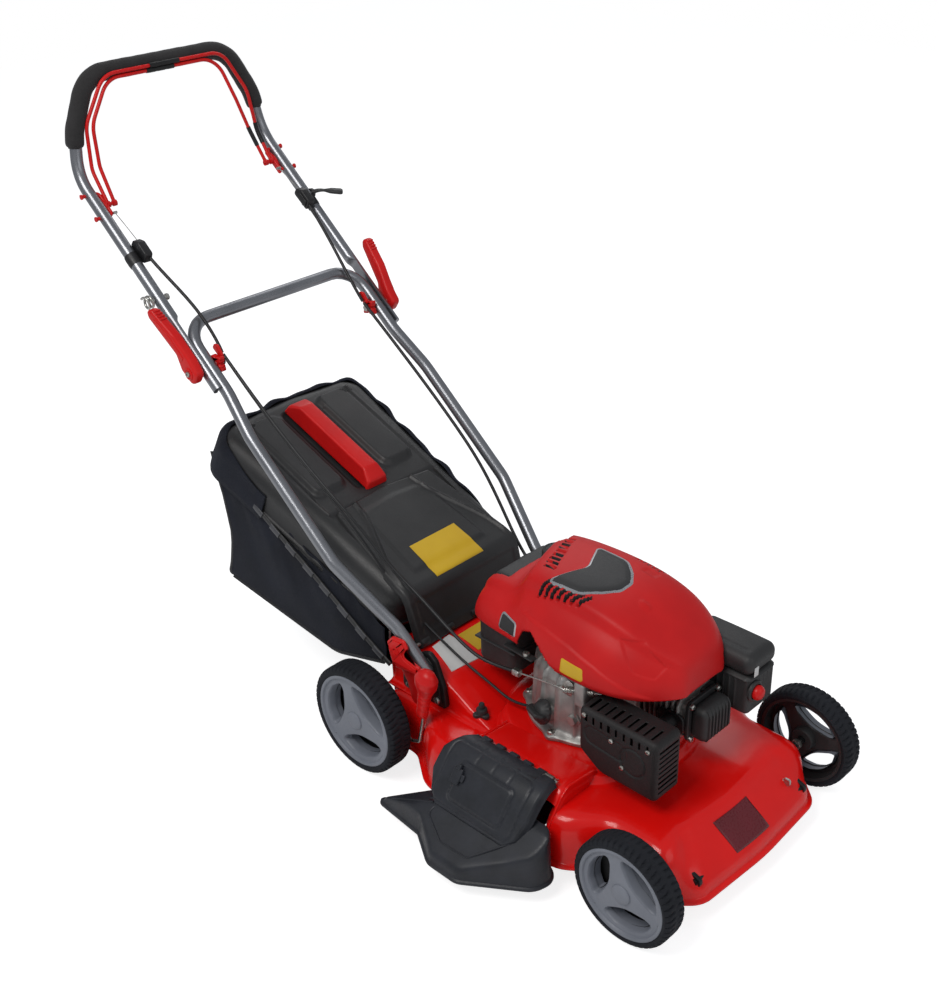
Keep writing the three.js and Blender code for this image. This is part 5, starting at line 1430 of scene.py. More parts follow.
# %% Guard, silencer and screws
guard = rounded_box(GUARD_LOW, GUARD_HIGH, 10, (96, 34, 78), guard_shape, sides="XyYzZ", keep=guard_keep)
guard_rear = rounded_box(GUARD_LOW, GUARD_HIGH, 10, (8, 16, 20), cut_corner, sides="x")
piece("muffler_cover", guard + guard_rear, guard_black, "deck", "muffler_guard", wall=1.6, sharp=50)
silencer = rounded_box((414, -126, 180), (528, -80, 258), 14, (12, 8, 8))
seam = lathed([(25, -1.5), (27.5, 0), (25, 1.5)], (470, -103, 219), "x", 48, closed_profile=True)
exhaust = tubing([(480, y_at, 214) for y_at in (-84, -50, -12)], 13, sides=24)
port_flange = slab(closed_line([(455, 196), (505, 196), (505, 232), (455, 232)], 12), -16, -10.4, "y")
piece("silencer", silencer + seam + exhaust + port_flange, satin_steel_black, "deck")
guard_screws = [part for x_at, z_at in ((461, 236), (483, 197), (530, 252), (408, 258))
                for part in screw_head((x_at, -137.6, z_at), 4.2, (0, -1, 0), 2.6)]
piece("guard_screws", guard_screws, zinc_steel, "deck")

# %% [markdown]
# ## Cylinder, head and valve cover
# The cylinder lies flat and points forwards. Its fins are cast plates with rounded corners on a solid
# barrel, so each fin is one outline carried through its thickness; the thin gaps between them are what
# reads as a cooled cylinder. The valve cover is a small ribbed box held by four bolts.

# %% Fins, head, valve cover
fin_outline = closed_line([(-14, 178), (74, 178), (77, 192), (77, 240), (70, 254), (-6, 254), (-14, 244)], 8)
fins = [part for k in range(9) for part in
        slab(shrink(fin_outline, 1.5 * (k % 2)), 404 + 10.6 * k, 407.4 + 10.6 * k, "x", edge=0.9, steps=2)]
core = slab(shrink(fin_outline, 11), 448.6, 501.6, "x", edge=1)
piece("cylinder_fins", fins + core, cast_grey, "deck", "cylinder_head")
cover_flange = slab(closed_line([(-8, 180), (72, 180), (72, 254), (-8, 254)], 10), 502.4, 509, "x")
valve_box = rounded_box((507, -2, 186), (538.4, 66, 248), 12, (8, 20, 20))
valve_ribs = [part for k in range(7) for part in
              slab(closed_line([(510, 188), (536, 188), (541, 198), (541, 236), (536, 246), (510, 246)], 5),
                   5.2 + 8.6 * k, 8.4 + 8.6 * k, "y", edge=0.8, steps=2)]
piece("valve_box", cover_flange + valve_box + valve_ribs, moulded_black, "deck", "valve_cover")
cover_bolts = [part for y_at, z_at in ((-2, 186), (66, 186), (-2, 248), (66, 248))
               for part in screw_head((508.8, y_at, z_at), 5.2, "x", 6)]
piece("cover_bolts", cover_bolts, zinc_steel, "deck")

# %% [markdown]
# ## Crankcase
# The crankcase is an aluminium casting that stands on the deck: a wide foot with bolt ears, a drum with
# upright ribs, and the flange of the cylinder. The drum is lathed and then its radius swells at each
# rib, which keeps the ribs part of the casting instead of strips laid on it.

# %% Crankcase with ribs, foot bolts and ears
neck_way = unit(np.array([-14, -38, 14.0]))
OIL_NECK = np.array([303, -108, 192.4])
case_profile = np.array([[40, 152.7], [122, 152.7], [124, 155], [124, 160], [120, 163], [106, 164.5],
                         [103, 168], [102, 190],
                         [100, 214], [98, 240], [95, 256], [90, 264], [84, 265.6], [30, 265.6]])
around = full_turn(240)
rib = np.exp(-(((around * 18 / (2 * np.pi)) % 1 - 0.5) / 0.075) ** 2)
ear = np.exp(-(((around * 6 / (2 * np.pi)) % 1 - 0.5) / 0.10) ** 2)
r, h = case_profile.T
height_share = smooth_step(h, 163, 170) * (1 - smooth_step(h, 258, 265))
reach = r[:, None] + 5.5 * rib[None] * (height_share * (r > 90))[:,
    None] - 8 * (1 - ear[None]) * ((h < 163.5) & (r > 110))[:, None]
drum = np.stack([BLADE_AXIS + reach * np.cos(around), reach * np.sin(around),
                 np.broadcast_to(h[:, None], reach.shape)], -1)
drum_caps = [outward_fill(drum[0], (0, 0, -1)), outward_fill(drum[-1], (0, 0, 1))]
barrel_case = rounded_box((372, -9, 177), (404, 73, 253), 8, (6, 12, 12))
ears = [part for low_y, high_y, x0, x1 in ((80, 127, 300, 330), (-113, -70, 364, 386)) for part in
        rounded_box((x0, low_y, 240), (x1, high_y, 285.4), 5, (5, 6, 6))]
crank_seal = lathed([(30, 265.4), (34, 266), (34, 279), (28, 281), (10, 281)], (BLADE_AXIS, 0, 0), "z", 48)
FOOT_CIRCLE, CASE_CIRCLE = 114, 87
angle = (np.arange(6) + 0.5) * np.pi / 3
foot_bolts = [part for a in angle
              for part in screw_head((BLADE_AXIS + FOOT_CIRCLE * np.cos(a), FOOT_CIRCLE * np.sin(a),
                                      160.5), 6.5, "z", 7)]
case_bolts = [part for a in np.radians([208, 238, 268, 298, 330]) for part in
              screw_head((BLADE_AXIS + CASE_CIRCLE * np.cos(a), CASE_CIRCLE * np.sin(a), 265.4), 5.5, "z", 6)]
piece("crankcase_casting", [sheet(drum, ring=True, away_from=(BLADE_AXIS, 0, 205))] + drum_caps + barrel_case
      + ears + crank_seal,
      cast_grey, "deck", "crankcase", sharp=50)
piece("case_bolts", foot_bolts + case_bolts, zinc_steel, "deck")
sump = rounded_box((276, -104, 164), (326, -80, 204), 9, (8, 6, 6))
sump += tubing([OIL_NECK - neck_way * 40, OIL_NECK - neck_way * 20, OIL_NECK], 15, sides=32)
drain = lathed([(0, -8), (9, -8), (9, 0), (13, 0), (13, 4), (0, 4)], (352, -96, 196), "y", 6)
piece("oil_gallery", sump + drain, cast_grey, "deck")

# %% [markdown]
# ## Oil filler, tank and caps
# The dipstick has a black plastic handle on a slanted neck; the fuel cap is a fluted plastic cap on the
# neck that comes through the rear lobe. A flute is a small swelling of the radius round the cap, so one
# lathed grid with a wavy rim makes it.

# %% Caps, tank, and the neck under them


def fluted(profile, centre, along, flutes, depth, fluted_from, fluted_to):
    """A lathed cap whose radius falls by depth in each of its flutes, between two heights."""
    across, second, axis = basis(along)
    a = full_turn(180)
    r, h = np.asarray(profile, float).T
    wave = depth * (0.5 - 0.5 * np.cos(flutes * a)) ** 2
    share = smooth_step(h, fluted_from, fluted_from + 2) * (1 - smooth_step(h, fluted_to - 2, fluted_to))
    share = share * (r > r.max() * 0.7)
    radius = r[:, None] - wave[None] * share[:, None]
    spoke = np.cos(a)[:, None] * across + np.sin(a)[:, None] * second
    grid = np.asarray(centre, float) + radius[..., None] * spoke + h[:, None, None] * axis
    return [sheet(grid, ring=True, away_from=np.asarray(centre, float) + axis * h.mean())]


FUEL_NECK = (178, 62)
cap_profile = [(0, 0.6), (22, 0.6), (25, 2), (25.3, 5), (25, 15), (23.5, 18.4), (20, 20), (18, 19.2), (16, 20),
               (6, 20.8), (0, 20.8)]
piece("fuel_cap_dressed", fluted(cap_profile, (*FUEL_NECK, 352), "z", 28, 1.5, 1.5, 17), moulded_black,
      "fuel_cap", "fuel_cap")
tank = rounded_box((128, -84, 198), (214, 84, 295.6), 17, (12, 20, 12))
tank_seam = rounded_box((125.5, -86.5, 246), (216.5, 86.5, 250), 1.9, (12, 20, 2))
neck = lathed([(13, 290), (13, 350.6), (10.5, 351.6), (9, 346)], (*FUEL_NECK, 0), "z", 48)
neck += lathed([(27, 340), (27, 351), (24, 353), (16, 353), (14, 350)], (*FUEL_NECK, 0), "z", 64)
# The black shoulder box under the cover's rear opening is painted shade for the recess there.
shoulder = rounded_box((122, -37, 284), (196, 92, 350.5), 12, (10, 16, 8))
tank_bracket = slab(closed_line([(196, -92), (262, -96), (262, -82), (196, -78)], 3), 262, 265, "z")
piece("fuel_tank_dressed", tank + shoulder + tank_seam + neck + tank_bracket, moulded_black, "deck", "fuel_tank")
piece("tank_screw", screw_head((244, -88, 265), 6, "z", 5), zinc_steel, "deck")
dip_profile = [(0, 0.4), (17, 0.4), (20.6, 2), (21, 7), (18.4, 10), (15, 16), (11, 18.4), (0, 18.6)]
wing = slab(closed_line([(-20, 8), (20, 8), (21, 18), (14, 30), (-14, 30), (-21, 18)], 6), -3.4, 3.4, "x", edge=2)
wing_across, wing_second, _ = basis(neck_way)
turned_wing = moved(wing, lambda at: OIL_NECK + at[:, 1:2] * wing_across + at[:, 2:3] * neck_way
                    + at[:, :1] * wing_second)
piece("dipstick", fluted(dip_profile, OIL_NECK, neck_way, 16, 1.2, 1.5, 9) + turned_wing, moulded_black,
      "oil_cap", "oil_cap")

# %% [markdown]
# ## Air filter and primer
# The filter box is a black moulded box on the far front corner with a lid that laps over it; the red
# rubber bulb below the lid pushes a little fuel for a cold start. Box and lid are rounded boxes whose
# walls swell into shallow ribs; the bulb is lathed as more than half a ball on a collar.

# %% Ribs of the box and crown of the lid


def filter_ribs(points):
    """The box's walls swell 1.4 mm at each upright rib and step out under the lid."""
    x, y, z = points.T
    outward = np.stack([np.where(x > 555, 1.0, 0), np.where(y < 79, -1.0, np.where(y > 147, 1.0, 0)),
                        np.zeros(len(x))], -1)
    rib = np.exp(-(((x + y) % 11 - 5.5) / 1.6) ** 2) * (z < 271) * (z > 218) * ((y > 95) | (x < 540))
    return points + outward * (1.4 * rib + 2.0 * smooth_step(z, 273, 275))[:, None]


def lid_crown(points):
    """The lid's top swells toward its middle and its near edge carries a long soft fold."""
    points = points.copy()
    x, y, z = points.T
    along, across = np.clip((x - 496) / 66, -1, 1), np.clip((y - 113) / 39, -1, 1)
    crown = 3.0 * np.cos(along * np.pi / 2) * np.cos(across * np.pi / 2)
    dent = 1.4 * np.exp(-((y - 96) / 3.0) ** 2) * smooth_step(x, 446, 460) * (1 - smooth_step(x, 536, 548))
    points[:, 2] = z + np.where(z > 309, crown - dent, 0)
    return points


BULB_Y, BULB_Z = 90, 254


def round_the_bulb(letter, points):
    """Every face but those of a round hole behind the bulb's collar, on the end that looks forwards."""
    middle = cell_middles(points, ring=False)
    return (letter != "X") | (np.hypot(middle[..., 1] - BULB_Y, middle[..., 2] - BULB_Z) > 14)


print("bulb at", BULB_Y, BULB_Z)

# %% [markdown]
# With these two functions the box and the lid are plain rounded boxes. The bulb and its collar are turned
# about an axis that looks forwards.

# %% Box, lid, plate, collar and bulb
box = rounded_box((432.4, 76.4, 209), (559.6, 149.6, 280.4), 9, (90, 60, 40), filter_ribs, keep=round_the_bulb)
inlet = rounded_box((452, 44, 214), (498, 80, 250), 6, (6, 6, 6))
piece("filter_box", box + inlet, moulded_black, "deck", "air_filter_base", sharp=50)
lid_form = rounded_box((430.6, 74.6, 281.2), (561.4, 151.4, 316.6), 15, (40, 28, 10), lid_crown)
latch_tab = rounded_box((486, 70.6, 271), (506, 76, 293), 2.2, (5, 3, 6))
piece("filter_lid", lid_form + latch_tab, moulded_black, "deck", "air_filter_cover", sharp=50)
piece("filter_plate", slab(closed_line([(86, 281), (97, 281), (97, 298), (86, 298)], 1.5), 561.2, 562, "x", edge=0.3),
      label_white, "deck")
collar = lathed([(18, 560.2), (18, 563.6), (16, 565.4), (13.3, 565.4), (13.3, 558)], (0, BULB_Y, BULB_Z), "x", 48)
piece("primer_collar", collar, moulded_black, "deck")
bulb = lathed([(0, 562), (9.5, 562), (11.6, 564), (12.4, 568), (11.6, 572.4), (8.6, 576), (4.4, 577.8), (0, 578.2)],
              (0, BULB_Y, BULB_Z), "x", 48)
piece("primer_dome", bulb, lever_red, "primer_bulb", "primer_bulb")

# %% [markdown]
# ## Starter handle, governor rod and spring
# The rope's handle rests against the rear lobe. On the near side a silver rod runs from the cable's end
# along the flank to a coil spring, which pulls the engine's speed lever. The spring is a helix carried
# round a straight line.

# %% Handle, rod, spring
grip_line = np.linspace([101, 42, 308], [101, 114, 308], 40)
swell = 1 - 0.16 * np.cos(np.linspace(0, 6 * np.pi, 40)) * np.hanning(40)
ends = np.sqrt(np.clip(1 - (np.linspace(-1, 1, 40) ** 16), 0.05, 1))
pull = tubing(grip_line, 9.2, (0, 0, 1), 28, scale=swell * ends)
stem = tubing([(x_at, 78, 308) for x_at in (103, 110, 117)], 6.5, sides=20, scale=[1.0, 0.8, 0.9])
piece("starter_grip", pull + stem, moulded_black, "starter_handle", "starter_handle")


def helix(start, end, radius, turns, samples=40):
    """Point = start + share (end - start) + radius (cos, sin) of 2 pi turns share, across the line."""
    start, end = np.asarray(start, float), np.asarray(end, float)
    across, second, _ = basis(end - start)
    share = np.linspace(0, 1, int(turns * samples))[:, None]
    a = 2 * np.pi * turns * share
    return start + share * (end - start) + radius * (np.cos(a) * across + np.sin(a) * second)


rod_path = flowing([(234, -100, 232), (268, -101, 240), (300, -102, 246), (330, -101, 250), (338, -100, 246)], 40)
spring = tubing(helix((336, -100, 248), (396, -100, 271), 4.6, 15, 12), 0.9, (0.3, 1, 0.2), 6)
hook = tubing(flowing([(396, -100, 271), (404, -99, 274), (408, -96, 272), (404, -92, 268)], 14), 1.2, sides=8)
plate_lever = slab(closed_line([(326, 238), (346, 236), (352, 262), (340, 268), (328, 256)], 5), -97, -94.6, "y")
clamp = rounded_box((226, -106, 226), (242, -94, 238), 3, (4, 4, 4))
piece("governor_rod", tubing(rod_path, 1.5, sides=10) + spring + hook + plate_lever + clamp, zinc_steel, "deck")

# %% [markdown]
# ## The folding handle
# Two bent steel tubes, lacquered silver: the lower one is a hoop whose crossbar joins its legs, the
# upper one ends in the grip loop. Each is a round section carried along a path of straight runs and
# true arcs, as a tube bender makes them. Below the fold the upper tube is flattened on its inner side,
# so the two lie against each other; the path's points are simply pushed outwards there.

# %% Places along the handle, and the tubes' lines
SLOPE, LOOP_SLOPE = np.radians(40.7), np.radians(83.7)


def on_handle(s, y=0.0, lift=0.0):
    """s mm up the handle from its fold, y across, lift above the tube's line."""
    return np.array([-393 - s * np.cos(SLOPE) + lift * np.sin(SLOPE), y,
                     627 + s * np.sin(SLOPE) + lift * np.cos(SLOPE)])


def on_loop(up, y=0.0, forward=0.0):
    """up mm along the grip loop from its bend, y across, forward out of its plane."""
    x, _, z = on_handle(423)
    return np.array([x - up * np.cos(LOOP_SLOPE) + forward * np.sin(LOOP_SLOPE), y,
                     z + up * np.sin(LOOP_SLOPE) + forward * np.cos(LOOP_SLOPE)])


def both_sides(leg):
    """A path up one side and down the other."""
    leg = np.asarray(leg, float)
    return np.concatenate([leg, leg[::-1] * [1, -1, 1]])


lower_line = bent(both_sides([on_handle(-649, -172), on_handle(-560, -173), on_handle(-412, -208),
                              on_handle(-150, -208),
                              on_handle(-60, -195), on_handle(89, -195)]),
                              [0, 90, 90, 160, 160, 52, 52, 160, 160, 90, 90, 0])
upper_line = bent(both_sides([on_handle(-47, -206), on_handle(423, -206), on_loop(78, -194), on_loop(166, -150)]),
                  [0, 85, 90, 62, 62, 90, 85, 0], per_arc=11)


print("handle tubes through", len(lower_line), "and", len(upper_line), "points")

# %% [markdown]
# The tubes are carried along those paths. The lower end of the upper tube is pushed outwards past a
# limit, which flattens it where the two lie side by side.

# %% Two tubes and their end plugs


def along_handle(points):
    """How far up the handle's slope each point lies."""
    return (points - on_handle(0)) @ (on_handle(1) - on_handle(0))


lower_tube = tubing(evenly(lower_line, 360), 11, (0, 0.02, 1), 28)
upper_tube = tubing(evenly(upper_line, 420), 11, (1, 0.02, 0.4), 28)
points, faces = upper_tube[0]
limit = np.where(along_handle(points) < 112, 206.3 - 12 * smooth_step(along_handle(points), 92, 112), 0)
points[:, 1] = np.sign(points[:, 1]) * np.maximum(np.abs(points[:, 1]), limit)
piece("lower_tube", lower_tube, tube_silver, "lower_handle", "lower_handle")
piece("upper_tube", [(points, faces)], tube_silver, "upper_handle", "upper_handle")
plugs = [part for side in (-1, 1) for part in
         lathed([(10.4, 0), (11.4, 0.4), (11.4, 1.2), (9, 1.9), (0, 2.0)], on_handle(-649, side * 172),
                on_handle(-1) - on_handle(0), 32)]
piece("tube_plugs", plugs, moulded_black, "lower_handle")

# %% [markdown]
# ## Foam grip
# A soft sleeve of closed-cell foam is pulled over the loop. It follows the tube, a little fatter where
# it is not stretched by a bend, with rolled ends and a pebbled skin; low waves along it come from the
# sleeve's bunching. It is carried along the loop's own path with a slowly changing radius.

# %% Foam sleeve
foam_leg = both_sides([on_loop(48, -200.5), on_loop(80, -193.5), on_loop(166, -150)])
foam_line = evenly(bent(foam_leg, [0, 90, 62, 62, 90, 0], per_arc=12), 260)
share = np.linspace(0, 1, 260)
rolled = np.sqrt(np.clip(1 - np.abs(2 * share - 1) ** 90, 0.45, 1))
waves = 1 + 0.012 * np.sin(47 * share) * np.sin(11 * share + 1) + 0.008 * np.sin(120 * share)
foam = piece("foam_sleeve", tubing(foam_line, 16.4, (1, 0.02, 0.1), 36, rolled * waves), foam_black, "upper_handle",
             "grip_foam", sharp=60)

# %% [markdown]
# ## The two bails
# The operator squeezes two red wire hoops against the grip: one lets the engine run, the other drives
# the wheels. Each is plastic-coated spring wire, bent inwards at the legs, with a black hinge sleeve in
# its middle. Both turn about the fixed red wire brackets whose ends pass through the tube.

# %% Bails, hinge sleeves and fixed brackets


def bail_line(right_leg, left_leg):
    """Up the right leg, across the top, down the left leg."""
    left = np.asarray(left_leg, float)[::-1] * [1, -1, 1]
    return evenly(bent(np.concatenate([right_leg, left]), [0, 40, 60, 45, 45, 60, 40, 0], per_arc=10), 260)


BAIL_PIVOT = 356
stop_leg = [on_handle(BAIL_PIVOT, -184, -2), on_loop(8, -184, 14), on_loop(84, -177, 13), on_loop(163, -128, 20.5)]
drive_right = [on_handle(BAIL_PIVOT, -171, -2), on_loop(12, -171, 20), on_loop(84, -167, 18),
               on_loop(155, -120, 18.5)]
drive_left = [on_handle(BAIL_PIVOT, -171, -2), on_loop(14, -158, 26), on_loop(74, -138, 28), on_loop(155, -114, 18.5)]
LINES = {"stop": bail_line(stop_leg, stop_leg), "drive": bail_line(drive_right, drive_left)}
for name, inset, body in (("stop", 0, "stop_bail"), ("drive", 13, "drive_bail")):
    line = LINES[name]
    pivot_eye = [part for side in (-1, 1) for part in
                 lathed([(3.6, -3.4), (5.6, -3.4), (5.6, 3.4), (3.6, 3.4)],
                        on_handle(BAIL_PIVOT, side * (184 - inset), -2), "y", 28, closed_profile=True)]
    piece(f"{name}_bail_wire", tubing(line, 3.4, (1, 0.02, 0.1), 16) + pivot_eye, lever_red, body, body)
    sleeves = tubing(line[118:142], 4.6, (1, 0.02, 0.1), 20, scale=np.where((np.arange(24) % 8) < 2, 0.94, 1.0))
    sleeves += tubing(line[-30:-14], 4.2, (1, 0.02, 0.1), 16)
    piece(f"{name}_bail_sleeves", sleeves, satin_steel_black, body)

for side, label in SIDES:
    hoop = bent([on_handle(382, side * 205), on_handle(382, side * 189.4), on_handle(332, side * 189.4),
                 on_handle(332, side * 205)], [0, 9, 9, 0])
    stubs = []
    for s in (332, 382):
        stubs += lathed([(0, 0), (3.2, 0), (3.2, 5), (4.6, 6), (4.6, 8.4), (0, 8.8)], on_handle(s, side * 216.6),
                        (0, side, 0), 24)
    cross = tubing([on_handle(BAIL_PIVOT, side * reach, -2) for reach in (170, 180, 190.6)], 3.2, (1, 0, 0.2), 16)
    web = side_slab(closed_line([(on_handle(s, 0, lift)[0], on_handle(s, 0, lift)[2]) for s,
                                 lift in ((330, -13), (384, -13), (384, -3), (360, 4), (352, 4), (330, -3))],
                    4), side, 190.4, 194.6, edge=1)
    piece(f"bail_hoop_{label}", tubing(evenly(hoop, 50), 3.2, (0.2, 0.1, 1), 16) + stubs + cross + web, lever_red,
          "upper_handle", f"bail_bracket_{label}")

# %% [markdown]
# ## Control cables
# Each bail pulls a thin steel wire into a black moulded guard; from there a sheathed cable runs down inside the tubes
# to the engine or the gearbox. They are held all the way, so they are round sections along smooth curves.

# %% Guards, upper cables, bail wires and collars


def handle_outline(corners, radius):
    """A closed outline in side view from places (s, lift) along the handle."""
    return closed_line([on_handle(s, 0, lift)[[0, 2]] for s, lift in corners], radius)


def sheath(points, radius=3.0, samples=160):
    """A sheathed cable through its control points; its length is the sum of its steps."""
    line = evenly(flowing(points, samples), samples)
    print("sheath length", round(float(np.linalg.norm(np.diff(line, axis=0), axis=1).sum()) * MM, 3), "m, diameter",
          2 * radius, "mm")
    return tubing(line, radius, (0.3, 0.2, 1), 12)


for side, label, top in ((-1, "right", 240), (1, "left", 250)):
    low = top - 22
    block_outline = handle_outline([(low, 4), (top + 24, 2), (top + 24, 16), (top + 12, 26), (low + 6, 26)], 6)
    block = side_slab(block_outline, side, 180, 196, edge=2.4)
    ridge = side_slab(shrink(block_outline, 5), side, 177.6, 181, edge=1.2)
    collar_ring = tubing([on_handle(low + s, side * 206) for s in (6, 12, 22, 28)],
                         12.6, (0, 0.2, 1), 32, scale=[0.95, 1, 1, 0.95])
    path = [on_handle(top, side * 186, 15), on_handle(top - 30, side * 184, 16), on_handle(150, side * 174, 20),
            on_handle(84, side * 163, 20),
            on_handle(30, side * 162, 12), on_handle(12, side * 164, 8)]
    piece(f"upper_sheath_{label}", block + ridge + sheath(path), cable_black, "upper_handle", f"upper_cable_{label}")
    wire = tubing(flowing([on_handle(top + 22, side * 186, 15), on_handle(310, side * 186, 9),
                           on_handle(334, side * 185, 3)], 20), 0.8, (0.2, 0.1, 1), 8)
    barrel_end = lathed([(0, -4), (2.6, -4), (2.6, 4), (0, 4)], on_handle(334, side * 185, 3), "y", 16)
    screw = screw_head(on_handle(low + 18, side * 187, 3), 4.2, on_handle(0, 0, -1) - on_handle(0), 4)
    piece(f"bail_wire_{label}", wire + barrel_end + screw, zinc_steel, "upper_handle")
    piece(f"guard_collar_{label}", collar_ring, cable_black, "upper_handle")

# %% [markdown]
# The throttle is a bent paddle on a round pad, an oval carried along its curve with a changing size. The
# rope guide is a wire helix of nearly two turns on a bolt.

# %% Throttle lever, rope guide
throttle_line = flowing([on_handle(264, 218, 2), on_handle(260, 224, 14), on_handle(250, 234, 22),
                         on_handle(238, 246, 30), on_handle(230, 258, 34)], 40)
throttle = carried(throttle_line, circle(1, 24) * [8.0, 3.4], (0, 0.1, 1),
                   np.interp(np.linspace(0, 1, 40), [0, 0.1, 0.45, 0.7, 0.97, 1], [1.3, 1.2, 0.75, 1.5, 1.6, 1.2]))
pad = lathed([(0, 0), (9, 0), (9, 5), (7.4, 6.4), (0, 6.6)], on_handle(264, 217.2, 1), (0, 1, 0), 32)
piece("throttle_paddle", throttle + pad, moulded_black, "throttle_lever", "throttle_lever")
hub_ring = lathed([(0, 216.8), (10, 216.8), (10, 219), (0, 219)], (on_handle(264)[0], 0, on_handle(264)[2]), "y", 32)
piece("throttle_seat", hub_ring, cable_black, "upper_handle")
guide = helix(on_handle(150, -221, 0), on_handle(150, -236, 0), 10, 1.9)
tail = flowing([on_handle(150, -217, 0), on_handle(150, -219, 2), guide[0]], 8)
pigtail = tubing(np.concatenate([tail[:-1], guide]), 2.3, (0.4, 0.1, 1), 12)
guide_bolt = lathed([(0, 0), (4, 0), (4, 3), (6, 3), (6, 8), (0, 8)], on_handle(150, -195.4), "y", 6)
guide_bolt += tubing([on_handle(150, y_at) for y_at in (-217, -219, -221.4)], 4.5, (1, 0, 0.3), 20)
piece("rope_guide", pigtail + guide_bolt, zinc_steel, "upper_handle")

# %% [markdown]
# ## Clamps at the fold
# A red over-centre lever on the outside of each tube pulls a bolt through both halves; on the inside a
# red cross-shaped nut takes the bolt and hooks the cable. The lever is a thick moulding with a hollow
# back, an eye round its pin and a thumb rest, made as an outline carried through a soft-edged thickness.

# %% Cam levers, nuts, fold bolts
for side, label in SIDES:
    outline = handle_outline([(-20, -15), (16, -17), (40, 2), (116, 12), (127, 22), (119, 33), (60, 31),
                              (12, 20), (-16, 14)], 10)
    arm = side_slab(outline, side, 219.4, 238.6, edge=5.5, steps=6)
    inner_line = handle_outline([(22, 2), (44, 10), (100, 18), (108, 24), (60, 23), (24, 14)], 5)
    rim = side_slab(inner_line, side, 237.4, 240.0, edge=1.2)
    boss = lathed([(0, 0), (11, 0), (11, 3), (8.6, 4.4), (7.6, 3.2), (0, 3.0)], on_handle(0, side * 236.6, -2),
                  (0, side, 0), 40)
    thumb = [part for k in range(4) for part in
             tubing([on_handle(96 + 6 * k, side * 222, 32.4), on_handle(96 + 6 * k, side * 229, 33),
                     on_handle(96 + 6 * k, side * 236, 32.4)], 1.6, (1, 0, 0.4), 10)]
    splay = side * np.array([0, 17.0, 0])
    cam = moved(arm + rim + boss + thumb,
                lambda points: points + splay * np.clip((along_handle(points)[:, None] - 12) / 110, 0, 1))
    piece(f"cam_arm_{label}", cam, lever_red, f"cam_lever_{label}", f"cam_lever_{label}")
    pin = screw_head(on_handle(0, side * 240.2, -2), 5.0, (0, side, 0), 3)
    piece(f"cam_pin_{label}", pin, zinc_steel, f"cam_lever_{label}")
    a = full_turn(96)
    lobes = 13.5 + 4.5 * np.cos(4 * a) ** 2 * np.sign(np.cos(4 * a))
    along_s, along_lift = on_handle(1) - on_handle(0), on_handle(0, 0, 1) - on_handle(0)
    star = np.cos(a)[:, None] * along_s[[0, 2]] + np.sin(a)[:, None] * along_lift[[0, 2]]
    knob_at = on_handle(0)[[0, 2]] + lobes[:, None] * star
    knob = side_slab(knob_at, side, 170.4, 183.4, edge=3, steps=4)
    cable_hook = side_slab(handle_outline([(4, 4), (30, 2), (31, 12), (24, 18), (4, 14)], 4), side,
                           167, 172, edge=1.2)
    piece(f"fold_nut_{label}", knob + cable_hook, lever_red, "lower_handle", f"cable_clamp_{label}")
    shank = tubing([on_handle(0, side * reach) for reach in (166, 200, 219)], 4, (1, 0, 0.2), 16)
    nut = lathed([(0, 0), (6.4, 0), (6.4, 5), (0, 5)], on_handle(0, side * 165.6), (0, side, 0), 6)
    piece(f"fold_bolt_{label}", shank + nut, zinc_steel, "lower_handle")

# %% [markdown]
# Below the fold each cable leaves the handle and runs to the engine or the gearbox. It is one mesh on no body, baked
# where it lies.

# %% Lower cables between the handle and the deck
right_run = [on_handle(8, -164, 8), on_handle(-120, -166, 16), on_handle(-260, -160, 26), on_handle(-380, -150, 40),
             (-44, -128, 345),
             (40, -120, 297), (96, -119, 264), (150, -118, 240), (180, -111, 232), (206, -105, 231), (232, -100, 232)]
left_run = [on_handle(8, 164, 8), on_handle(-140, 174, 8), on_handle(-260, 176, 10), on_handle(-380, 172, 14),
            (-20, 162, 292),
            (20, 150, 262), (56, 144, 240), (80, 140, 226)]
second_run = [on_handle(8, -162, 4), on_handle(-120, -163, 8), on_handle(-260, -156, 16), on_handle(-400, -144, 22),
              (-20, -120, 276),
              (60, -106, 222), (120, -100, 191), (180, -100, 179), (212, -101, 168), (236, -98, 168), (252, -95, 171)]
for name, run, stands_for, radius in (("engine_cable", right_run, "lower_cable_right", 3.0),
                                      ("drive_cable", left_run, "lower_cable_left", 3.0),
                                      ("second_cable", second_run, (), 2.4)):
    cable = piece(name, sheath(run, radius, 240), cable_black, None, stands_for)
    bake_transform(cable)

# %% [markdown]
# ## Brackets, quick levers and the height lever
# Steel plates bolted beside the tunnel carry the handle's feet; a red quick lever locks each. On the
# near side the cutting height is set by a bent rod with a soft red knob. Plates and levers are outlines
# through a thickness, the knob is an oval section carried up the rod with a changing radius.

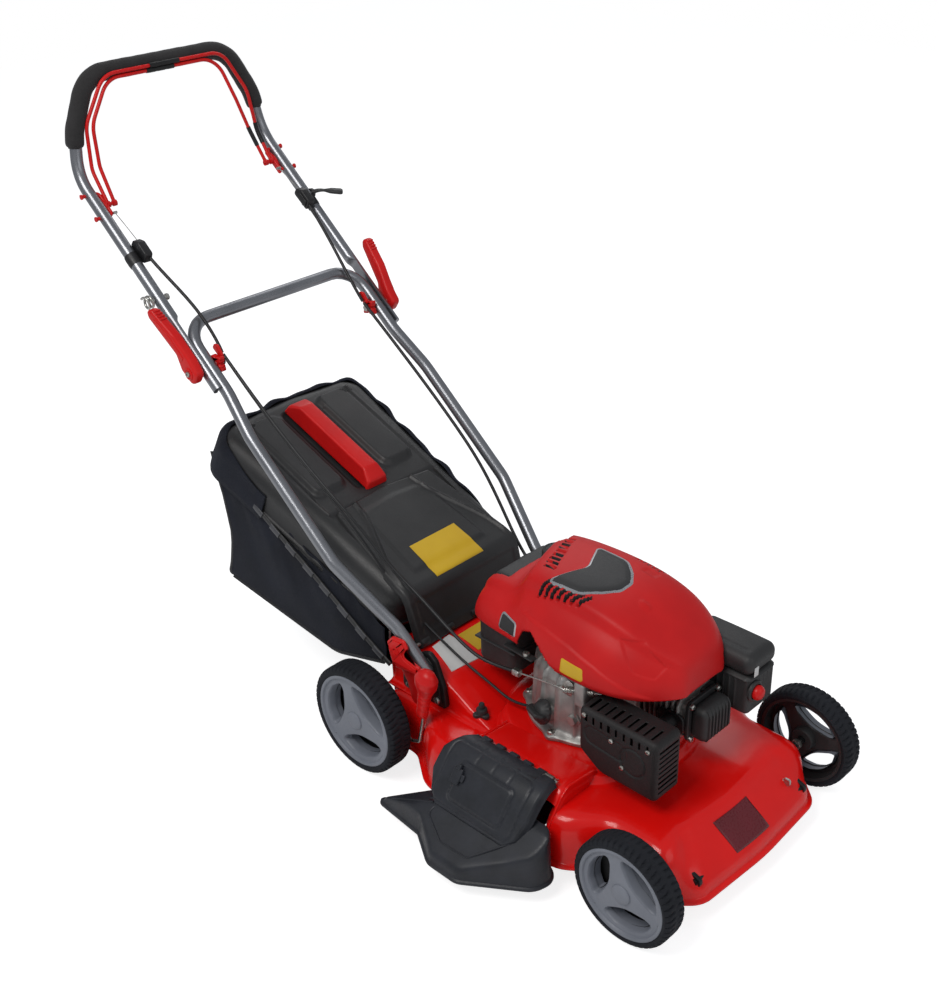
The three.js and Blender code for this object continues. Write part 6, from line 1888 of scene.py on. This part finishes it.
# %% Deck brackets and quick levers
foot = on_handle(-635)
for side, label in SIDES:
    plate_line = closed_line([(20, 132), (128, 132), (122, 176), (foot[0] + 16, foot[2] + 8), (foot[0], foot[2] + 20),
                              (foot[0] - 18, foot[2] + 12), (24, 188)],
                      10)
    plate = side_slab(plate_line, side, 150.6, 159.6, edge=2)
    stiffener = side_slab(shrink(plate_line, 9), side, 158.8, 162.4, edge=1.6)
    piece(f"foot_bracket_{label}", plate + stiffener, satin_steel_black, "deck", f"deck_bracket_{label}")
    bolts = lathed([(0, 0), (6.8, 0), (6.8, 4.6), (0, 4.8)], (foot[0], side * 184.6, foot[2]), (0, side, 0), 6)
    bolts += tubing([(foot[0], side * reach, foot[2]) for reach in (158, 172, 184.8)], 4.4, sides=20)
    for x_at, z_at in ((40, 146), (108, 146)):
        bolts += screw_head((x_at, side * 162, z_at), 6.4, (0, side, 0), 4.5)
    piece(f"foot_bolts_{label}", bolts, zinc_steel, "deck")
    head_line = closed_line([(20, 240), (34, 256), (62, 259), (70, 246), (60, 228), (98, 221), (99, 204), (60, 200),
                             (42, 195), (30, 204), (24, 222)],
                     5)
    lever = side_slab(head_line, side, 184, 191, edge=3.6, steps=5)
    rib_line = shrink(head_line, 5)
    lever += side_slab(rib_line, side, 190, 193, edge=1.2)
    hole = lathed([(0, 0), (8.2, 0), (8.2, 1.6), (5.6, 1.8), (5.2, 0.6), (0, 0.6)], (44, side * 192, 232),
                  (0, side, 0), 32)
    piece(f"quick_lever_{label}", lever + hole, lever_red, f"lock_lever_{label}", f"lock_lever_{label}")
    low_line = closed_line([(30, 196), (58, 196), (70, 176), (84, 150), (80, 124), (66, 116), (54, 128),
                            (46, 158), (32, 178)], 7)
    piece(f"lever_base_{label}", side_slab(low_line, side, 163, 172, edge=2.4), lever_red, "deck")

# %% [markdown]
# The height lever is a bent rod from the rear crank. Its knob is an oval whose size changes up the rod.

# %% Height lever: bent rod and soft knob
rod_line = evenly(bent([(65, -201.5, 82), (80, -201.5, 70), (102, -201.5, 78), (113, -201.5, 128),
                        (119, -201.5, 186)], [0, 5, 10, 30, 0]), 60)
piece("height_rod", tubing(rod_line, 3.2, (0, 1, 0.02), 20), zinc_steel, "rear_crank", "height_lever")
knob_line = flowing([(109, -201.5, 135), (113, -201.5, 150), (118, -201.5, 175), (123, -201.5, 200),
                     (127, -201.5, 222), (128, -201.5, 239)], 60)
along = np.linspace(0, 1, 60)
radius = np.interp(along, [0, 0.02, 0.06, 0.3, 0.5, 0.62, 0.74, 0.86, 0.95, 0.99, 1.0],
                   [0.1, 9, 11.6, 12.4, 13.4, 17, 21.5, 22.5, 16, 7, 0.4])
ribbing = 1 - 0.05 * np.clip(np.sin(52 * along), 0, 1) * ((along > 0.1) & (along < 0.5))
piece("height_knob", carried(knob_line, circle(1, 40, 0.74), (0, 1, 0.02), radius * ribbing), lever_red,
      "rear_crank", "height_grip")

# %% [markdown]
# The front wheels hang on a crank as well. Its arms lie inside the deck's skirt, so that only the stub
# axles cross the skirt's wall, behind the wheels.

# %% Front crank inside the skirt
pivot = np.array([631.0, 0, 68.2])
hub_at = np.array([FRONT["x"], 0, FRONT["z"]])
crank = tubing(np.linspace(pivot + [0, -148, 0], pivot + [0, 148, 0], 9), 5.5, sides=24)
for side in (-1, 1):
    crank += tubing(np.linspace(hub_at + [0, side * 138, 0], hub_at + [0, side * 224, 0], 5), 6.4, sides=24)
    arm_line = closed_line([(571, 80), (631, 59), (641, 62), (641, 74), (632, 78), (580, 98), (571, 96)], 7)
    crank += side_slab(arm_line, side, 138, 145, edge=1.4)
piece("front_crank_arms", crank, satin_steel_black, "front_crank", "front_axle")

# %% [markdown]
# ## Grass box: the moulded lid
# The box has a stiff moulded lid and a cloth bag clipped round its rim. The lid is drawn as rings that
# run up its wall, over a rounded shoulder and in to the middle; its height there is a sum of soft steps
# for the raised panels beside the handle. Its plane slopes down to the mower, so one function turns
# lid places (back from the front edge, across, height) into the mower's axes.

# %% The lid's plane and form
LID_SLOPE = np.radians(21.4)


def on_lid(points):
    """Lid place (x, y, h) -> mower place: turned by the lid's slope about its front edge."""
    x, y, h = np.moveaxis(np.asarray(points, float), -1, 0)
    return np.stack([-14 + x * np.cos(LID_SLOPE) + h * np.sin(LID_SLOPE), y,
                     232 - x * np.sin(LID_SLOPE) + h * np.cos(LID_SLOPE)], -1)


def panel_step(x, y, middle, half, radius, width=7.0):
    """1 inside a rounded rectangle, 0 outside, with a smooth slope of a given width."""
    gap = rounded_rectangle(x, y, np.asarray(middle, float), np.asarray(half, float), radius)
    return smooth_step(-gap, -width / 2, width / 2)


lid_line = evenly(closed_line([(0, -150), (-500, -176), (-512, 0), (-500, 176), (0, 150)], [36, 50, 400, 50, 36]),
                  360, closed=True)
turn = np.linspace(0, np.pi / 2, 12)
WALL_TOP, SHOULDER_UP, SHOULDER_IN = 37, 36, 34
insets = np.concatenate([[-5, -5, -2, 0], SHOULDER_IN * (1 - np.cos(turn))])
heights = np.concatenate([[-9, -1, 0, 2], WALL_TOP + SHOULDER_UP * np.sin(turn)])
wall_rings = np.stack([np.column_stack([shrink(lid_line, inset), np.full(len(lid_line), height)]) for inset,
                       height in zip(insets, heights)])
inner_line = wall_rings[-1, :, :2]
spine = np.column_stack([np.clip(inner_line[:, 0], -420, -80), np.zeros(len(inner_line))])
share = np.linspace(0, 1, 90)[1:, None, None]
field = inner_line[None] + share * (spine - inner_line)[None]
x, y = field[..., 0], field[..., 1]
behind = smooth_step(-x, 206, 216)
relief = -4.0 * (1 - behind)
relief = relief + behind * 9.0 * (panel_step(x, y, (-362, 82), (104, 34), 16, 10)
                                  + panel_step(x, y, (-362, -82), (104, 34), 16, 10))
relief = relief - behind * 5.0 * panel_step(x, y, (-352, 0), (112, 36), 10, 8)
relief = relief + behind * 2.0 * np.exp(-((np.abs(y) - 128) / 3.2) ** 2)
top_rings = np.concatenate([field, (WALL_TOP + SHOULDER_UP + relief)[..., None]], -1)
lid_grid = on_lid(np.concatenate([wall_rings, top_rings]))
piece("lid_moulding", [sheet(lid_grid, ring=True, away_from=on_lid((-250, 0, 20)))], lid_black, "grass_box",
      "bag_lid", wall=2.6, sharp=50)

# %% [markdown]
# The red carrying handle arches over the lid's channel. It is an outline through a thickness whose
# feet spread sideways, which a factor on y does.

# %% Carrying handle
handle_line = closed_line([(-226, 70), (-230, 88), (-254, 101.5), (-440, 101.5), (-464, 90), (-470, 70), (-440, 70),
                           (-432, 86), (-276, 86), (-250, 70)],
                   [4, 10, 16, 16, 12, 4, 6, 12, 16, 6])
arch = slab(handle_line, -17, 17, "y", edge=5, steps=6)
feet = []
for points, faces in arch:
    flare = 0.74 + 0.5 * smooth_step(np.abs(points[:, 0] + 348), 62,
                                     118) + 0.3 * smooth_step(100 - points[:, 2], 4, 30)
    feet.append((on_lid(np.stack([points[:, 0], points[:, 1] * flare, points[:, 2]], -1)), faces))
piece("carry_handle", feet, lever_red, "grass_box", "lid_handle")

# %% [markdown]
# ## Rear flap
# A moulded flap closes the deck's rear outlet when the box is off, and lies on the lid's front when it
# is on. In side view it climbs from its hinge and bends back along the lid; across, its edges turn
# down, two rails run along it, and its free edge is a shallow V.

# %% Flap, hinge rod, blank plate
across_flap = np.linspace(-1, 1, 141)
down_flap = np.linspace(0, 1, 120)
front_run = np.array([(46, 207), (43, 216), (36, 240), (22, 288)])
seat_top = on_lid(np.array([(-2, 0, 76.5), (-60, 0, 76.0), (-140, 0, 75.5), (-214, 0, 75.0)]))[:, [0, 2]]
HINGE_X, HINGE_Z = 39, 214
side_line = evenly(bent(np.concatenate([front_run, seat_top]), [0, 12, 60, 30, 26, 60, 60, 0]), 120)
half_width = np.interp(down_flap, [0, 0.28, 0.4, 1], [138, 141, 141, 117])
tangent = unit(np.gradient(side_line, axis=0))
outward = np.column_stack([-tangent[:, 1], tangent[:, 0]])
outward *= np.sign(outward[:, 1:].sum())
s, v = np.meshgrid(down_flap, across_flap, indexing="ij")
edge_gap = (1 - np.abs(v)) * half_width[:, None]
turned_down = -9.0 * (1 - smooth_step(edge_gap, 0, 7))
rail = 5.0 * np.exp(-((edge_gap - 14 - 34 * smooth_step(s, 0.42, 0.95)) / 4.0) ** 2) * smooth_step(s, 0.3, 0.42)
centre_panel = 2.2 * smooth_step(0.62 - np.abs(v), -0.03, 0.03) * smooth_step(s, 0.40,
    0.44) * (1 - smooth_step(s, 0.90, 0.94))
face_panel = -2.4 * smooth_step(0.86 - np.abs(v), -0.03, 0.03) * smooth_step(s, 0.05,
    0.09) * (1 - smooth_step(s, 0.24, 0.28))
lift = turned_down + rail + centre_panel + face_panel
notch = 12.0 * (np.abs(v) - 0.5) * smooth_step(s, 0.75, 1.0)
flap_grid_rear = np.empty(s.shape + (3,))
flap_grid_rear[..., 0] = side_line[:, 0, None] + outward[:, :1] * lift - tangent[:, :1] * notch
flap_grid_rear[..., 1] = v * half_width[:, None]
flap_grid_rear[..., 2] = side_line[:, 1, None] + outward[:, 1:] * lift - tangent[:, 1:] * notch
piece("outlet_flap", [sheet(flap_grid_rear, away_from=(-60, 0, 200))], lid_black, "rear_flap", "rear_flap",
      wall=3.0, sharp=50)
hinge_rod = tubing([(HINGE_X, at, HINGE_Z) for at in (-150, -50, 50, 150)], 3.4, sides=20)
hinge_rod += tubing(helix((HINGE_X, 133, HINGE_Z), (HINGE_X, 149, HINGE_Z), 5.6, 7, 14), 1.2, (0.3, 1, 0.2), 8)
piece("flap_rod", hinge_rod, zinc_steel, "deck")
knuckles = [part for at in (-122, -64, 0, 64, 122) for part in
            lathed([(3.8, -9), (7.6, -9), (8, -8), (8, 8), (7.6, 9), (3.8, 9)], (HINGE_X, at, HINGE_Z), "y", 36,
                   closed_profile=True)]
piece("flap_knuckles", knuckles, lid_black, "rear_flap")
rows_at = np.linspace(0.325, 0.575, 14)
cols_at = np.linspace(-0.41, 0.40, 20)
row_pick = (rows_at * (len(down_flap) - 1)).round().astype(int)
col_pick = ((cols_at + 1) * (len(across_flap) - 1) / 2).round().astype(int)
label_grid = flap_grid_rear[np.ix_(row_pick, col_pick)] + np.array([0, 0, 0.9])
border = np.concatenate([label_grid[0], label_grid[1:, -1], label_grid[-1, -2::-1], label_grid[-2:0:-1, 0]])
skirt = sheet(np.stack([border - [0, 0, 1.2], border]), ring=True, away_from=label_grid.mean((0, 1)))
piece("flap_label", [sheet(label_grid, toward=(0, 0, 1)), skirt], label_yellow, "rear_flap", sharp=60)

# %% [markdown]
# ## Grass bag
# The bag is woven polyester, hung from the lid and kept open by a wire frame. It could be five flat
# plates, but cloth shows its weave, its seams, its sag between the places that hold it and a rear wall
# that caves in. So it is one lofted shell: sections across it run from the mouth to the back, and the
# rear wall is rings of the last section drawn in to its middle. Soft folds fan out from the clips.

# %% Cloth with a woven relief


def weave(material, threads=420.0, relief=0.25):
    """Relief = the higher of two wave trains at right angles, as warp and weft pass over each other."""
    tree = material.node_tree
    place = tree.nodes.new("ShaderNodeTexCoord").outputs["Object"]
    trains = []
    for direction in ("X", "Z"):
        wave = tree.nodes.new("ShaderNodeTexWave")
        wave.wave_type, wave.bands_direction = "BANDS", direction
        wave.inputs["Scale"].default_value = threads / 3.1
        wave.inputs["Distortion"].default_value = 0.6
        tree.links.new(place, wave.inputs["Vector"])
        trains.append(wave.outputs["Fac"])
    higher = tree.nodes.new("ShaderNodeMath")
    higher.operation = "MAXIMUM"
    tree.links.new(trains[0], higher.inputs[0])
    tree.links.new(trains[1], higher.inputs[1])
    bump = next(node for node in tree.nodes if node.type == "BUMP")
    bump.inputs["Distance"].default_value = relief * MM
    tree.links.new(higher.outputs[0], bump.inputs["Height"])
    return material


bag_cloth = weave(finish("bag_cloth", "#232630", "#1a1c23", (0.8, 0.92), 900, 0.2, sheen=0.02, patch=9, specular=0.2))
seam_tape = weave(finish("seam_tape", "#1c1d22", "#17181c", (0.7, 0.85), 900, 0.2, sheen=0.2), 300, 0.4)
print("woven:", bag_cloth.name, seam_tape.name)

# %% [markdown]
# Every point of a section hangs between the lid's edge and the bottom line, in at the corners by a
# quarter circle. Belly, folds and creases are sines that fade towards the seams.

# %% The bag's shell
HALF_BAG = 162.0
rear_heights = np.array([118, 146, 190, 240, 267, 300, 338, 380, 424.0])
rear_reach = np.array([-452, -468, -452, -440, -437, -442, -450, -464, -473.0])
along_bag = np.linspace(0, 1, 110)
top_edge = np.column_stack([-16 - 452 * along_bag, 236 + 186 * along_bag])
bottom_edge = evenly(bent([(-16, 150), (-150, 110), (-463, 147)], [0, 90, 0]), 110)
count_side, count_corner, count_base = 60, 14, 60
corner_turn = np.linspace(0, np.pi / 2, count_corner + 2)[1:-1]
corner_radius = 26.0
section_y = np.concatenate([np.full(count_side, -HALF_BAG), -HALF_BAG + corner_radius * (1 - np.cos(corner_turn)),
                            np.linspace(-HALF_BAG + corner_radius, HALF_BAG - corner_radius, count_base),
                            HALF_BAG - corner_radius * (1 - np.sin(corner_turn)), np.full(count_side, HALF_BAG)])
drop = np.concatenate([np.linspace(0, 1, count_side), np.ones(count_corner * 2 + count_base),
                       np.linspace(1, 0, count_side)])
raise_by = np.concatenate([np.zeros(count_side), -corner_radius * np.sin(corner_turn),
                           np.full(count_base, -corner_radius),
                           -corner_radius * np.cos(corner_turn), np.zeros(count_side)])
low_edge = bottom_edge[:, 1] + corner_radius
z = top_edge[:, 1, None] + drop[None] * (low_edge - top_edge[:, 1])[:, None] + raise_by[None]
FRONT_X = -16.0
rear_x = np.interp(z[-1], rear_heights, rear_reach)
along_here = along_bag[:, None]
x = FRONT_X + along_here * (rear_x - FRONT_X)[None]
y = np.broadcast_to(section_y[None], x.shape).copy()
on_side = (np.abs(section_y) > HALF_BAG - 1)[None] * 1.0
belly = 7.0 * np.sin(np.pi * along_here) * np.sin(np.pi * np.clip(drop[None], 0, 1)) * on_side
folds = 1.6 * np.sin(2 * np.pi * (along_here * 10 + 0.6 * drop[None])) * np.exp(-drop[None] / 0.22) * on_side
creases = 1.4 * np.sin(17 * along_here + 6 * drop[None]) * np.sin(np.pi * drop[None]) * on_side
y += np.sign(section_y)[None] * (belly + folds + creases)
under = 1 - on_side
z = z - 6.0 * under * np.sin(np.pi * along_here) * np.cos(np.pi * section_y[None] / (2 * HALF_BAG))
# %% [markdown]
# The rear wall closes the shell: rings of the last section drawn in to one middle, at the depth that the
# profile of the caved wall gives for their height.
print("bag sections of", len(section_y), "points")

# %% The rear wall, and the bag as one piece
side_shell = np.stack([x, y, z], -1)
rim_last = side_shell[-1]
closing = np.linspace(rim_last[-1], rim_last[0], 62)[1:-1]
loop = np.concatenate([rim_last, closing])
loop[-60:, 0] = np.interp(loop[-60:, 2], rear_heights, rear_reach)
centre = np.array([-438.0, 0, 270.0])
share = np.linspace(1, 0, 46)[:, None, None]
rear_wall = centre + share * (loop[None] - centre)
sway = 1 - share[..., 0] ** 6
y_at, z_at = rear_wall[..., 1], rear_wall[..., 2]
sag = 6.0 * np.sin(y_at / 31 + 0.8) * np.sin(z_at / 42) - 5.0 * np.cos(y_at / 100)
rear_wall[..., 0] = np.interp(z_at, rear_heights, rear_reach) + sway * sag
rear_wall[0] = loop
bag = piece("cloth_bag", [sheet(side_shell, away_from=(-240, 0, 250)),
                          sheet(rear_wall, ring=True, toward=(-1, 0, 0))],
            bag_cloth, "grass_box", "bag", wall=0.9, sharp=70)

# %% [markdown]
# The cloth's upper edge is sewn into a plastic channel that snaps over the lid's rim, with flat clips
# along it, and tape binds the seams at the corners. They are flat sections carried along those lines.

# %% Channels, clips, seam tapes
for side, label in SIDES:
    strip_line = evenly(flowing([(-3, side * 166, 169), (-65, side * 167, 198), (-128, side * 169, 242),
                                 (-234, side * 172, 300), (-342, side * 171, 361),
                                 (-418, side * 168, 396), (-452, side * 162, 406)], 120), 120)
    strip = carried(strip_line, circle(1, 24) * [3.0, 5.5], (0, 0, 1))
    clips = []
    for at in np.linspace(0.06, 0.94, 10):
        k = int(at * 119)
        span = strip_line[max(k - 3, 0): k + 4]
        clips += carried(evenly(span, 8) + [0, side * 2.4, 0], circle(1, 20) * [2.4, 6.6], (0, 0, 1))
    piece(f"bag_channel_{label}", strip, moulded_black, "grass_box")
    piece(f"bag_clips_{label}", clips, clip_grey, "grass_box")
    seam = side_shell[:, count_side + 4 if side < 0 else -count_side - 5] + [0, side * 0.6, -0.6]
    piece(f"bag_seam_{label}", carried(seam[2:-2], circle(1, 14) * [1.6, 4.0], (0, side, -1)), seam_tape, "grass_box")
hem = loop[: count_side * 2 + count_corner * 2 + count_base] + [-1.2, 0, 0]
piece("bag_rear_seam", carried(evenly(hem, 200), circle(1, 14) * [1.4, 3.6], (1, 0, 0)), seam_tape, "grass_box")

# %% [markdown]
# The cloth laps over the lid's rear shoulder and is gathered there, so its edge stands off in ripples.
# The hem is rows along the lid's outline: up its wall, then round the same quarter turn as the shoulder,
# each a little outside it by two sine waves that fade towards the ends.

# %% The cloth's hem round the lid's rear edge
leaning_out = (shrink(lid_line, -8) - lid_line) / 8
hem_from, hem_to = int(np.argmax(lid_line[:, 0] < -330)), int(np.flatnonzero(lid_line[:, 0] < -60)[-1])
edge, leaning_out = lid_line[hem_from:hem_to], leaning_out[hem_from:hem_to]
along = np.linspace(0, 1, len(edge))
fade = smooth_step(along, 0, 0.2) * (1 - smooth_step(along, 0.9, 1))
ripple = 0.5 + 0.3 * np.sin(61 * along) + 0.2 * np.sin(97 * along + 1)
stand_off = 2.5 + 7.5 * ripple * fade
hem_rows = [(np.full(len(along), out), np.full(len(along), high)) for out,
            high in ((6.4, -18.0), (6.2, -6.0), (5.0, 16.0))]
for lap, share in ((0.1, 0.5), (0.4, 0.8), (0.7, 1.0), (0.95, 1.0), (1.08, 0.5)):
    stand = share * stand_off
    out = -SHOULDER_IN * (1 - np.cos(lap * fade)) + stand * np.cos(lap * fade)
    hem_rows.append((out, WALL_TOP + (SHOULDER_UP + stand) * np.sin(lap * fade)))
hem_rows = [np.column_stack([edge + leaning_out * out[:, None], high]) for out, high in hem_rows]
piece("bag_hem", [sheet(on_lid(np.stack(hem_rows)), away_from=on_lid((-250, 0, 0)))], bag_cloth, "grass_box",
      wall=1.4, sharp=60)
